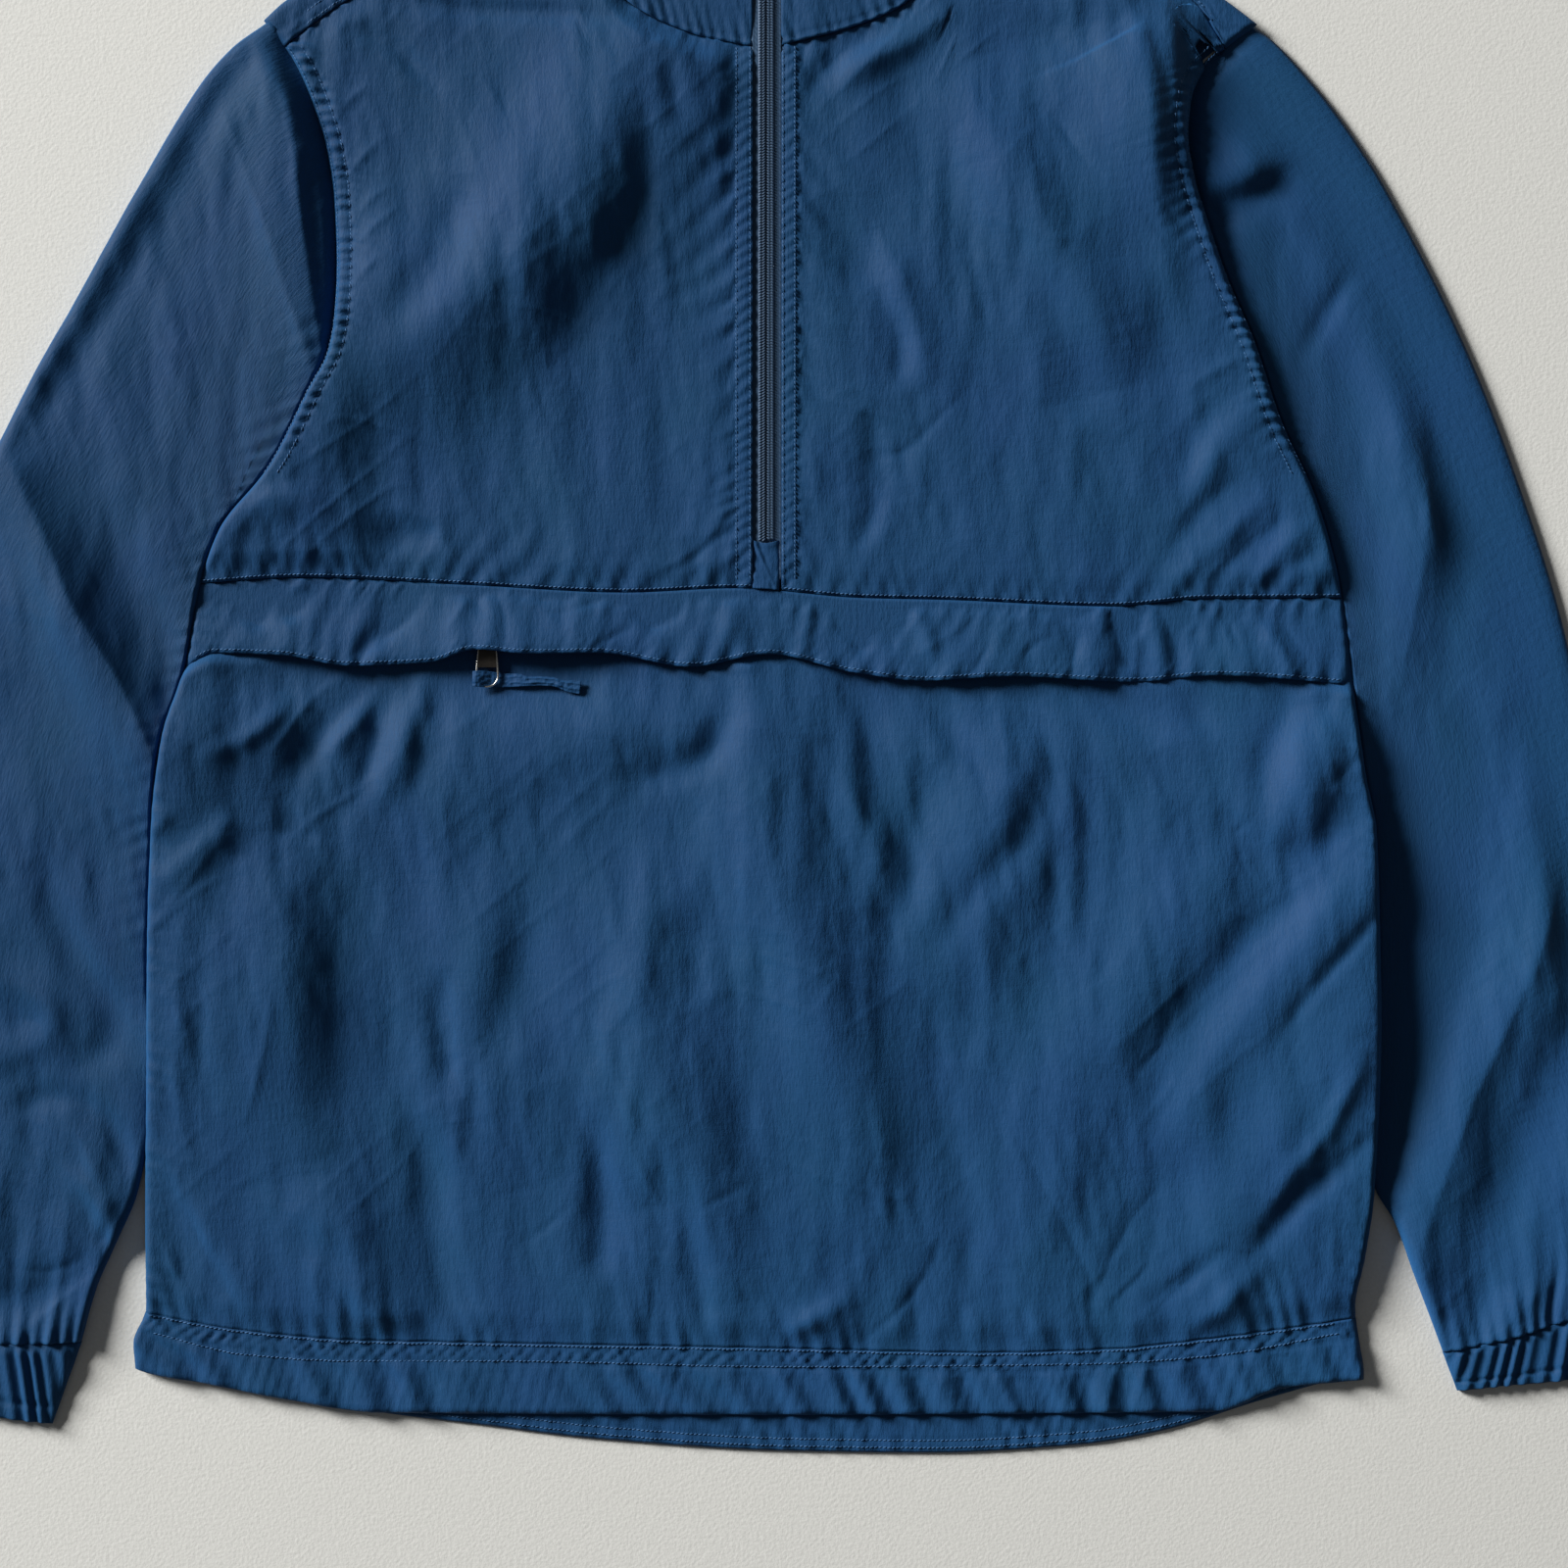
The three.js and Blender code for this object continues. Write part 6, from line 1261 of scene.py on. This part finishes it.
def tube(name, border, u, t, top_height, rim):
    """Flattened tube of cloth: a fine upper layer, a plain lower layer, and a plain inner face."""
    below = 1 - (np.arange(UNDER_COUNT) + 0.5) / UNDER_COUNT
    below = 0.5 + (below - 0.5) * UNDER_WIDE / (1 - 1 / UNDER_COUNT)
    spare = -(len(u) + UNDER_COUNT) % KEEP
    if spare:
        below = np.linspace(below[0], below[-1], UNDER_COUNT + spare)
    uu, tt = np.meshgrid(np.concatenate([u, below]), t)
    x, y = coons(border, uu, tt)
    upper = len(u)
    z = np.zeros_like(x)
    z[:, :upper] = top_height(x[:, :upper], y[:, :upper], uu[:, :upper], tt[:, :upper])
    width = np.hypot(x[:, upper - 1] - x[:, 0], y[:, upper - 1] - y[:, 0])[:, None]
    inner_x, inner_y = coons(border, 0.5 + (uu - 0.5) * (1 - 2 * TUBE_INSET / width), tt)
    inner_z = np.full_like(z, 0.5)
    inner_z[:, :upper] = np.maximum(lowest_near(z[:, :upper], 6) - 0.6, 0.7)
    near_rim = np.minimum(uu, 1 - uu)[:, :upper] * width < 2.5
    inner_z[:, :upper][near_rim] = np.minimum(inner_z[:, :upper][near_rim], rim * 0.6 + 0.3)
    inner_x, inner_y, inner_z = thinned(inner_x, inner_y, inner_z)
    outer, inner = numbered(x, inner_x)
    faces = ring_faces(outer).tolist() + ring_faces(inner)[:, ::-1].tolist()
    for c in range(inner.shape[1]):
        span = [(c * KEEP + k) % outer.shape[1] for k in range(KEEP + 1)]
        after = (c + 1) % inner.shape[1]
        faces.append([inner[0, c], inner[0, after], *outer[0, span][::-1]])
        faces.append([inner[-1, after], inner[-1, c], *outer[-1, span]])
    points = np.concatenate([listed(x, y, z), listed(inner_x, inner_y, inner_z)])
    middle_x, middle_y = coons(border, 0.5, tt)
    steps = np.hypot(np.diff(middle_x[:, 0]), np.diff(middle_y[:, 0]))
    along = np.broadcast_to(np.concatenate([[0], np.cumsum(steps)])[:, None], x.shape)
    across = (uu - 0.5) * width + SLEEVE_GRAIN
    grain = np.concatenate([listed(across, -along), listed(*thinned(across, -along))])
    layer = flat_area(x[:, :upper], y[:, :upper])
    return finish_cloth(name, points, faces, grain, nylon), layer * 2


def sleeve_border(side, edge, underarm, outer_rows, inner_rows, cuff_rows):
    free = through(inner_rows, turned=True)
    top, foot = outer_rows[0][1], cuff_rows[-1][1]

    def beside(y):
        return edge(y) - side * SLEEVE_TUCK

    def far(t):
        y = underarm + (foot - underarm) * np.clip(t, 0, 1)
        body, alone = beside(y), free(y)
        apart = smooth((inner_rows[0][1] - y) / 10)
        x = body + (side * np.maximum(side * body, side * alone) - body) * apart
        return x, y

    def start(u):
        y = top + (underarm - top) * np.asarray(u, float)
        return beside(y), y

    first = tuple(float(v) for v in start(0.0))
    near = curve_of([first, *outer_rows[1:]])
    return {"start": start, "end": curve_of(cuff_rows), "near": near, "far": far}


for name, node, side, edge, underarm, outer_rows, inner_rows, cuff_rows in (
    ("sleeve_left_cloth", "sleeve_left", -1, left_edge, 68, LEFT_SLEEVE_OUTER, LEFT_SLEEVE_INNER,
     LEFT_CUFF_SEAM),
    ("sleeve_right_cloth", "sleeve_right", 1, right_edge, 86, RIGHT_SLEEVE_OUTER, RIGHT_SLEEVE_INNER,
     RIGHT_CUFF_SEAM),
):
    border = sleeve_border(side, edge, underarm, outer_rows, inner_rows, cuff_rows)

    def sleeve_height(x, y, u, t, side=side, border=border, edge=edge):
        far_x, far_y = border["far"](t[:, :1])
        near_x, near_y = border["near"](t[:, :1])
        width = np.hypot(far_x - near_x, far_y - near_y)
        to_cuff = (1 - t) * 600
        gathers = pucker(x, to_cuff, (7.5, 1.4, 26, 0.1 * side, 161 + side),
                         (15, 1.3, 60, 0.2 * side, 165 + side))
        from_body = side * (x - edge(y))
        beside_body = 1 - smooth((t - 0.55) / 0.1)
        seam_puckers = beside_body * pucker(y, from_body, (9, 0.7, 9, 0.4, 171 + side))
        z = FRONT_LIE + relief(x, y, SLEEVE_FOLDS) + crumple(x, y, 175 + side) + gathers + seam_puckers
        if side > 0:
            z = OUTER_LIE + (z - OUTER_LIE) * smooth((u * width - 12) / 26)
        z = soft_floor(z, SLEEVE_LOW)
        outer_rim = rounded(u * width + 0.2, SLEEVE_ROLL)
        inner_rim = rounded((1 - u) * width - SLEEVE_TUCK * beside_body + 0.2, SLEEVE_ROLL)
        z = SLEEVE_RIM + (z - SLEEVE_RIM) * np.minimum(outer_rim, inner_rim)
        under_body = smooth((1.0 - from_body) / 2.0) * beside_body * (u > 0.5)
        at_armhole = smooth((0.02 - t) / 0.02) * (z > TUCKED) * smooth(u / 0.08)
        return z + (TUCKED - z) * np.maximum(under_body, at_armhole)

    u, t = shares(150, 1.8, True, True), shares(640, 1.8)
    sleeve, area = tube(name, border, u, t, sleeve_height, SLEEVE_RIM)
    declare(sleeve, node, area)

# Cuffs
# Narrow casings at the sleeve ends, drawn in by elastic into close pleats and sewn on with one seam.
PLEATS = (8.0, 1.3, 1, 0, 181)
CUFF_RIM = 1.5
CUFF_LIE, CUFF_FALL = 6.4, 2.4  # level at the seam, and how much lower the end is


def cuff_border(seam_rows, end_rows):
    seam, end = curve_of(seam_rows), curve_of(end_rows)
    start = lambda u: (seam(u)[0], seam(u)[1] - 0.2)

    def side_line(u):
        a, b = start(float(u)), end(float(u))
        return lambda t: (a[0] + (b[0] - a[0]) * t, a[1] + (b[1] - a[1]) * t)

    return {"start": start, "end": end, "near": side_line(0), "far": side_line(1)}


def cuff_height(x, y, u, t):
    width = np.hypot(x[:, -1] - x[:, 0], y[:, -1] - y[:, 0])[:, None]
    along = u * width
    pleats = pucker(along, 0, PLEATS) * smooth(t / 0.15)
    grooves = 0.8 * groove(t, 0, 0.07) + 0.7 * groove(t, 0.78, 0.05)
    z = CUFF_LIE - CUFF_FALL * t + pleats - grooves
    rim = rounded(np.minimum(u, 1 - u) * width + 0.2, 7)
    lip = rounded((1 - t) * 30 + 0.6, 4)
    return CUFF_RIM + (z - CUFF_RIM) * rim * (0.75 + 0.25 * lip)


for name, node, seam_rows, end_rows in (
    ("cuff_left_cloth", "cuff_left", LEFT_CUFF_SEAM, LEFT_CUFF_END),
    ("cuff_right_cloth", "cuff_right", RIGHT_CUFF_SEAM, RIGHT_CUFF_END),
):
    border = cuff_border(seam_rows, end_rows)
    cuff, area = tube(name, border, shares(95, 0.9, True, True), shares(33, 0.9), cuff_height, CUFF_RIM)
    declare(cuff, node, area)

# Zip tapes
# Woven tapes under the two front edges, with a close twill. They run from the chest seam to the top of
# the collar. A second zip like it closes the pocket, hidden under the flap.
TAPE_BLUE = (0.0330, 0.0760, 0.1440)
COIL_BLUE = (0.0520, 0.0960, 0.1650)


def plain_material(name, colour, roughness, metallic=0.0, twill_cell=0.0, vary=0.12):
    """Finish with a slightly uneven colour and roughness, and a close twill where it has a cell size."""
    material, nodes, links = new_material(name)
    shader = nodes["Principled BSDF"]
    set_inputs(shader, {"Metallic": metallic, "Specular IOR Level": 0.3})
    place = nodes.new("ShaderNodeTexCoord").outputs["Object"]
    uneven = speckle(nodes, links, place, scale=900.0, detail=3.0)
    links.new(varied(nodes, links, uneven, colour, vary), shader.inputs["Base Color"])
    worn = nodes.new("ShaderNodeMapRange")
    set_inputs(worn, {"To Min": roughness - 0.08, "To Max": roughness + 0.08})
    links.new(uneven, worn.inputs["Value"])
    links.new(worn.outputs["Result"], shader.inputs["Roughness"])
    if twill_cell:
        twill = nodes.new("ShaderNodeTexWave")
        twill.bands_direction = "DIAGONAL"
        set_inputs(twill, {"Scale": 1 / twill_cell, "Distortion": 1.5})
        links.new(place, twill.inputs["Vector"])
        bump_from(nodes, links, twill.outputs["Fac"], strength=0.6, distance=0.0002)
    return material


def straight_plan(left, width, low, height, fine_x, fine_y):
    """Plan points of a straight strip."""
    u, v = np.meshgrid(shares(width, fine_x), shares(height, fine_y))
    return left + width * u, low + height * v


tape_weave = plain_material("zip_tape_weave", TAPE_BLUE, 0.75, twill_cell=0.004, vary=0.25)
coil_nylon = plain_material("zip_coil_nylon", COIL_BLUE, 0.42, vary=0.18)
TAPE_LEVEL, POCKET_TAPE_LEVEL = 6.3, 3.75
TAPE_FOOT = 12
CORD_PITCH = 1.15
COLLAR_TOP = NECK_LEFT[-1][1] + COLLAR_HIGH - 1
ZIP_FOOT = 29.5
POCKET_ZIP_Y = -13.0
x, y = straight_plan(-6.1, 14.2, TAPE_FOOT, COLLAR_TOP - TAPE_FOOT, 0.75, 1.5)
cords = 0.16 * np.sin(2 * np.pi * x / CORD_PITCH)
zip_tape = cloth("front_zip_tape", x, y, TAPE_LEVEL + cords, 1.8, tape_weave)
declare(zip_tape, "zip_tape", flat_area(x, y))
x, y = straight_plan(-138, 280, POCKET_ZIP_Y - 6, 12, 2.5, 1.0)
z = np.full_like(x, POCKET_TAPE_LEVEL)
pocket_tape = cloth("pocket_zip_tape_weave", x, y, z, 3.2, tape_weave, thick=0.4)
declare(pocket_tape, "pocket_zip_tape", flat_area(x, y))

# Zip coils
# Each half is a nylon coil sewn along its tape's edge. The two mesh at a dark line in the middle, and
# their turns show as two rows of small slanting teeth.
COIL_MIDDLE, COIL_LEVEL, TOOTH_PITCH = 0.9, 7.25, 1.3
COIL_HALF = 3.9
BED_LEVEL, POCKET_BED_LEVEL = 6.7, 4.5
TOOTH_SIZE = (0.0021, 0.00085, 0.0009)
TOOTH_TILT = 0.95
UNEVEN_TILT = 0.12  # radians
LEAST_FLOAT, MOST_FLOAT = 2, 3  # the random value node's sockets for a float


def evaluated(item):
    """Plain mesh of an object with its modifiers carried out."""
    return bpy.data.meshes.new_from_object(item.evaluated_get(bpy.context.evaluated_depsgraph_get()))


def nodes_tree(name, inputs):
    tree = bpy.data.node_groups.new(name, "GeometryNodeTree")
    tree.interface.new_socket(name="Geometry", in_out="INPUT", socket_type="NodeSocketGeometry")
    for label, value in inputs.items():
        kind = "NodeSocketMaterial" if label == "Finish" else "NodeSocketFloat"
        tree.interface.new_socket(name=label, in_out="INPUT", socket_type=kind).default_value = value
    tree.interface.new_socket(name="Geometry", in_out="OUTPUT", socket_type="NodeSocketGeometry")
    return tree, tree.nodes.new("NodeGroupInput"), tree.nodes.new("NodeGroupOutput")


def along_rows(name, finish, pitch, size, tilt, seed):
    """Tree that sets one small rounded piece of a size in metres at each pitch along a mesh's edges."""
    inputs = {"Pitch": pitch, **dict(zip(("Long", "Wide", "High"), size)), "Tilt": tilt, "Finish": finish}
    tree, given, out = nodes_tree(name, inputs)
    add = tree.nodes.new
    line = add("GeometryNodeMeshToCurve")
    points = add("GeometryNodeCurveToPoints")
    points.mode = "LENGTH"
    place = add("GeometryNodeInstanceOnPoints")
    piece = add("GeometryNodeMeshIcoSphere")
    set_inputs(piece, {"Radius": 0.5, "Subdivisions": 2})
    scale = add("ShaderNodeCombineXYZ")
    shape = add("GeometryNodeTransform")
    facing = add("FunctionNodeAlignRotationToVector")
    facing.axis = "X"
    turned = add("FunctionNodeRotateRotation")
    turned.rotation_space = "LOCAL"
    lean = add("FunctionNodeAxisAngleToRotation")
    uneven = add("FunctionNodeRandomValue")
    uneven.inputs[LEAST_FLOAT].default_value = -UNEVEN_TILT
    uneven.inputs[MOST_FLOAT].default_value = UNEVEN_TILT
    set_inputs(uneven, {"Seed": seed})
    angle = add("ShaderNodeMath")
    angle.operation = "ADD"
    real = add("GeometryNodeRealizeInstances")
    soft = add("GeometryNodeSetShadeSmooth")
    paint = add("GeometryNodeSetMaterial")
    link = tree.links.new
    link(given.outputs["Geometry"], line.inputs[0])
    link(line.outputs[0], points.inputs[0])
    link(given.outputs["Pitch"], points.inputs["Length"])
    for axis, label in zip("XYZ", ("Long", "Wide", "High")):
        link(given.outputs[label], scale.inputs[axis])
    link(piece.outputs["Mesh"], shape.inputs["Geometry"])
    link(scale.outputs[0], shape.inputs["Scale"])
    link(points.outputs["Points"], place.inputs["Points"])
    link(shape.outputs[0], place.inputs["Instance"])
    link(points.outputs["Tangent"], facing.inputs["Vector"])
    link(given.outputs["Tilt"], angle.inputs[0])
    link(uneven.outputs[1], angle.inputs[1])
    link(angle.outputs[0], lean.inputs["Angle"])
    link(facing.outputs[0], turned.inputs[0])
    link(lean.outputs[0], turned.inputs[1])
    link(turned.outputs[0], place.inputs["Rotation"])
    link(place.outputs[0], real.inputs[0])
    link(real.outputs[0], soft.inputs[0])
    link(soft.outputs[0], paint.inputs[0])
    link(given.outputs["Finish"], paint.inputs["Material"])
    link(paint.outputs[0], out.inputs[0])
    return tree


def built(name, rows, tree, finish):
    """Plain mesh of what a tree makes along rows of points in millimetres."""
    points, edges = [], []
    for row in rows:
        first = len(points)
        points += [tuple(p * MM for p in point) for point in row]
        edges += [(k, k + 1) for k in range(first, len(points) - 1)]
    mesh = bpy.data.meshes.new(name)
    mesh.from_pydata(points, edges, [])
    guide = placed(name + "_guide", mesh)
    step = guide.modifiers.new("rows", "NODES")
    step.node_group = tree
    for item in tree.interface.items_tree:
        if item.in_out == "INPUT" and item.name == "Finish":
            step[item.identifier] = finish
    whole = evaluated(guide)
    bpy.data.objects.remove(guide)
    whole.name = name
    if not whole.materials:
        whole.materials.append(finish)
    return placed(name, whole)


teeth = []
for side, tree_name, name in (
    (-1, "coil_teeth_left", "zip_teeth_left"),
    (1, "coil_teeth_right", "zip_teeth_right"),
):
    rows = []
    for out, lower in ((1.15, 0), (2.85, 1)):
        start = ZIP_FOOT + 1 + 0.5 * TOOTH_PITCH * (side > 0) + 0.3 * lower
        x, z = COIL_MIDDLE + side * out, COIL_LEVEL - 0.12 * lower
        rows.append([(x, start, z), (x, COLLAR_TOP - 2, z)])
    tree = along_rows(tree_name, coil_nylon, TOOTH_PITCH * MM, TOOTH_SIZE, TOOTH_TILT * side, seed=3)
    teeth.append(built(name, rows, tree, coil_nylon))
x, y = straight_plan(COIL_MIDDLE - COIL_HALF, 2 * COIL_HALF, ZIP_FOOT + 0.6, COLLAR_TOP - 32, 0.5, 2.0)
from_middle = np.abs(x - COIL_MIDDLE)
z = BED_LEVEL - 0.45 * groove(from_middle, 0, 0.35) - 0.4 * smooth((from_middle - 2.9) / 1.0)
coil_bed = cloth("zip_coil_bed", x, y, z, 5.8, coil_nylon, thick=0.3)
tell_kit(coil_bed, "zip_coil")
x, y = straight_plan(-136, 276, POCKET_ZIP_Y - 2.5, 5, 1.4, 0.6)
from_middle = y - POCKET_ZIP_Y
turns = np.sin(2 * np.pi * x / 1.4 + 2.5 * np.sign(from_middle))
z = POCKET_BED_LEVEL + 0.25 * turns - 0.3 * groove(from_middle, 0, 0.4)
pocket_coil = cloth("pocket_zip_coil_bed", x, y, z, 4.0, coil_nylon, thick=0.3)
tell_kit(pocket_coil, "pocket_zip_coil")
for item in teeth:
    tell_kit(item)

# Patch at the zip's foot
# Small folded piece of the same cloth that covers the lower end of the zip, between the two strips.
PATCH_WIDE = 13.2
PATCH_LEVEL = 6.6
u, v = np.meshgrid(shares(PATCH_WIDE, 0.6, True, True), shares(20, 0.6, False, True))
x = -5.7 + 12.6 * u + 0.5 * np.sin(np.pi * v) * (2 * u - 1)
y = chest_seam(x) + 0.1 + (ZIP_FOOT + 0.8 - chest_seam(x) - 1.4 * np.sin(np.pi * u)) * v
creased = 0.5 * groove(x + 4 - 0.45 * (28 - y), 0, 0.9) - 0.35 * groove(x - 3 + 0.3 * (y - 12), 0, 1.2)
z = PATCH_LEVEL + 0.5 * np.sin(np.pi * u) + creased + 0.15 * drift(x, y, 2.2, 3.5, 191)
z = z - 1.0 * (1 - rounded(np.minimum(u, 1 - u) * PATCH_WIDE, 1.6)) + 0.35 * smooth((v - 0.85) / 0.1)
end_patch = cloth("zip_end_cloth", x, y, z, 5.9, thick=0.5)
declare(end_patch, "zip_end_patch", flat_area(x, y))

# Sliders
# Cast metal sliders with a bail over the pull's pin, on the front zip at the collar and on the
# pocket's zip under the flap.
SILVER = (0.62, 0.61, 0.58)
GUNMETAL = (0.070, 0.062, 0.055)
bright_metal = plain_material("bright_metal", SILVER, 0.26, metallic=1.0, vary=0.08)
dark_metal = plain_material("dark_metal", GUNMETAL, 0.42, metallic=0.9, vary=0.2)
for node in ("zip_slider", "pocket_slider"):
    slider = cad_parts[node]
    slider.data.materials.clear()
    slider.data.materials.append(dark_metal)

# Pulls
# A bright wire frame, widening to a round loop at its foot, holds a dark flat plate. Its top bar is the
# pin that it swings on.
PIN_BAR, LOOP_FOOT, PULL_LONG, WIRE = 8.8, 11.4, 26.0, 1.15
PLATE_TOP, PLATE_FOOT, PLATE_HALF = -5.4, -PULL_LONG + 9.6, 0.42
PULL_PIN = (0.6, 318.5, 9.2)
POCKET_PIN = (-130.0, -13.0, 7.0)


def wire_frame(name, points):
    """Closed ring of round wire."""
    curve = bpy.data.curves.new(name, "CURVE")
    curve.dimensions = "3D"
    curve.bevel_depth = WIRE / 2 * MM
    curve.bevel_resolution = 4
    line = curve.splines.new("POLY")
    line.points.add(len(points) - 1)
    for spot, (px, py, pz) in zip(line.points, points):
        spot.co = (px * MM, py * MM, pz * MM, 1)
    line.use_cyclic_u = True
    maker = placed(name + "_maker", curve)
    mesh = evaluated(maker)
    bpy.data.objects.remove(maker)
    mesh.shade_smooth()
    return placed(name, mesh)


def rounded_box(name, outline, low, high, bevel, material):
    """Flat plate with this outline, its edges bevelled."""
    count = len(outline)
    points = [(px * MM, py * MM, level * MM) for level in (low, high) for px, py in outline]
    faces = [tuple(range(count))[::-1], tuple(range(count, 2 * count))]
    faces += [(k, (k + 1) % count, count + (k + 1) % count, count + k) for k in range(count)]
    item = solid_of(name, points, faces)
    step = item.modifiers.new("edge", "BEVEL")
    step.width = bevel * MM
    step.segments = 3
    mesh = evaluated(item)
    item.modifiers.clear()
    item.data = mesh
    mesh.materials.clear()
    mesh.materials.append(material)
    return item


def pull_at(node, body, pin):
    px, py, pz = pin
    middle = -PULL_LONG + LOOP_FOOT / 2
    radius = LOOP_FOOT / 2 - WIRE / 2
    bar_end = PIN_BAR / 2 - WIRE / 2
    turns = np.linspace(math.pi, 2 * math.pi, 15)
    arc = [(radius * math.cos(a), middle + radius * math.sin(a)) for a in turns]
    ring = [(px + a, py + b, pz) for a, b in [(-bar_end, 0), *arc, (bar_end, 0)]]
    wire = wire_frame(node + "_wire", ring)
    wire.data.materials.append(bright_metal)
    slope = (LOOP_FOOT - PIN_BAR) / 2 / -middle
    half = lambda y: bar_end - y * slope - 0.15
    top, foot = half(PLATE_TOP), half(PLATE_FOOT)
    outline = [(px + a, py + b) for a, b in (
        (-top, PLATE_TOP), (-foot, PLATE_FOOT), (foot, PLATE_FOOT), (top, PLATE_TOP))]
    plate = rounded_box(node + "_plate", outline, pz - PLATE_HALF, pz + PLATE_HALF, 0.18, dark_metal)
    tell_kit(wire, node, body)
    tell_kit(plate, None, body)


pull_at("zip_pull", "zip_pull_body", PULL_PIN)
pull_at("pocket_pull", "pocket_pull_body", POCKET_PIN)

# Pull ribbon
# A narrow strip of the garment's cloth, folded over the pocket pull's loop, with its two ends lying to
# the right. They are pinched together near their end.
RIBBON = [
    (-6.8, -21.6, 7.0, 1.0), (-5.2, -21.6, 7.4, 1.5), (-3.6, -21.7, 7.6, 1.2), (-1.0, -21.8, 7.6, 0.2),
    (2, -22, 7.4, -0.9), (5, -22.2, 6.8, -1.5), (8, -22.4, 6.4, -1.5), (12, -22.3, 6.2, -1.2),
    (15, -22.3, 6.0, -0.6), (18, -22.8, 4.6, -0.3), (25, -22.6, 4.4, -0.2), (31, -23, 4.2, -0.1),
    (34, -24, 3.8, 0.2), (36, -24.6, 4.6, 0.1), (39, -25.2, 5.8, 0.0), (43.8, -25.8, 6, 0.0),
]
run = np.linspace(0, len(RIBBON) - 1, 4 * 30 + 1)
rx, ry, wide, rise = (np.interp(run, range(len(RIBBON)), column)[:, None] for column in zip(*RIBBON))
slope_x, slope_y = np.gradient(rx, axis=0), np.gradient(ry, axis=0)
norm = np.hypot(slope_x, slope_y)
share = np.linspace(-1, 1, 4 * 6 + 1)[None, :]
out = share * wide / 2
x = rx - slope_y / norm * out
y = ry + slope_x / norm * out
folded = 0.40 * groove(share, 0.55, 0.16) + 0.34 * groove(share, -0.35, 0.18)
loose = smooth((rx - 7) / 6)
pinch = groove(rx, 34, 1.3)
z = rise + 0.5 + loose * folded + 0.25 * drift(x * 2, y * 2, 3, 2, 195) - 0.25 * share ** 2
z = z + 0.35 * pinch * np.cos(2.4 * share) - 0.15 * loose * np.sin(2 * share)
x, y, z = (grid + at for grid, at in zip((x, y, z), POCKET_PIN))
ribbon = cloth("pull_ribbon_cloth", x, y, z, 4.6, thick=0.4)
declare(ribbon, "pocket_pull_ribbon", flat_area(x, y), body="pocket_pull_body")

# Stitching
# Lockstitch rows in thread a little lighter than the cloth, about 2 mm a stitch: pairs along the zip,
# the armholes, the shoulders and both hems, and single rows along the chest seam and the flap.
THREAD_BLUE = (0.0300, 0.1000, 0.2250)
STITCH_PITCH = 2.1
STITCH_SIZE = (0.0019, 0.00065, 0.00055)
STITCH_TILT = 0.28
STITCH_LIFT = 0.12
ROW_STEP = 1.2  # spacing of the points that a row runs through
thread = plain_material("sewing_thread", THREAD_BLUE, 0.55, vary=0.15)


def row_on(height, xs, ys):
    """Row of points that lies on a surface."""
    xs, ys = np.broadcast_arrays(np.asarray(xs, float), np.asarray(ys, float))
    zs = height(xs[None, :].copy(), ys[None, :].copy())[0] + STITCH_LIFT
    return list(zip(xs, ys, zs))


HEM_ROWS = (
    [(-288, -332.8), (-248, -341), (-194.5, -345.6), (-124, -346.6), (9, -349), (103, -351.6),
     (159.5, -350.3), (209, -344.3), (267, -336)],
    [(-286, -342), (-246, -351.6), (-194.5, -354.9), (-124, -354.9), (9, -357.6), (150, -356.3),
     (209, -352.6), (269.5, -342)],
)
chest_rows, lower_rows = [], []
span_y = np.arange(13, 262, ROW_STEP)
for zip_x in (ZIP_LEFT - 1.1, ZIP_LEFT - STRIP, ZIP_RIGHT + 0.9, ZIP_RIGHT + STRIP - 1.2):
    chest_rows.append(row_on(chest_height, zip_x, span_y))
arm_y = np.arange(62, 262, ROW_STEP)
for inset in (1.6, 8.0):
    chest_rows.append(row_on(chest_height, left_edge(arm_y) + inset, arm_y))
    chest_rows.append(row_on(chest_height, right_edge(arm_y) - inset, arm_y))
for low, first, last in ((front_top_left, -214, -93), (front_top_right, 93, 206)):
    xs = np.arange(first, last, ROW_STEP)
    for up in SHOULDER_ROWS:
        chest_rows.append(row_on(shoulder_height, xs, low(xs) + up))
seam_x = np.arange(-266, 270, ROW_STEP)
for xs in (seam_x[seam_x < ZIP_LEFT - 1], seam_x[seam_x > ZIP_RIGHT + 1]):
    chest_rows.append(row_on(chest_height, xs, chest_seam(xs) + 1.5))
lower_rows.append(row_on(flap_height, seam_x, flap_edge(seam_x) + 1.7))
for table in HEM_ROWS:
    xs = np.arange(table[0][0], table[-1][0], ROW_STEP)
    lower_rows.append(row_on(front_hem_height, xs, np.minimum(through(table)(xs), hem_seam(xs) - 0.9)))
xs = np.arange(-284, 274, ROW_STEP)
for up in (2.6, 6.0):
    lower_rows.append(row_on(back_hem_height, xs, back_hem_edge(xs) + up))
stitch_tree = along_rows("stitch_row", thread, STITCH_PITCH * MM, STITCH_SIZE, STITCH_TILT, seed=5)
for name, rows in (("upper_stitches", chest_rows), ("lower_stitches", lower_rows)):
    tell_kit(built(name, rows, stitch_tree, thread))
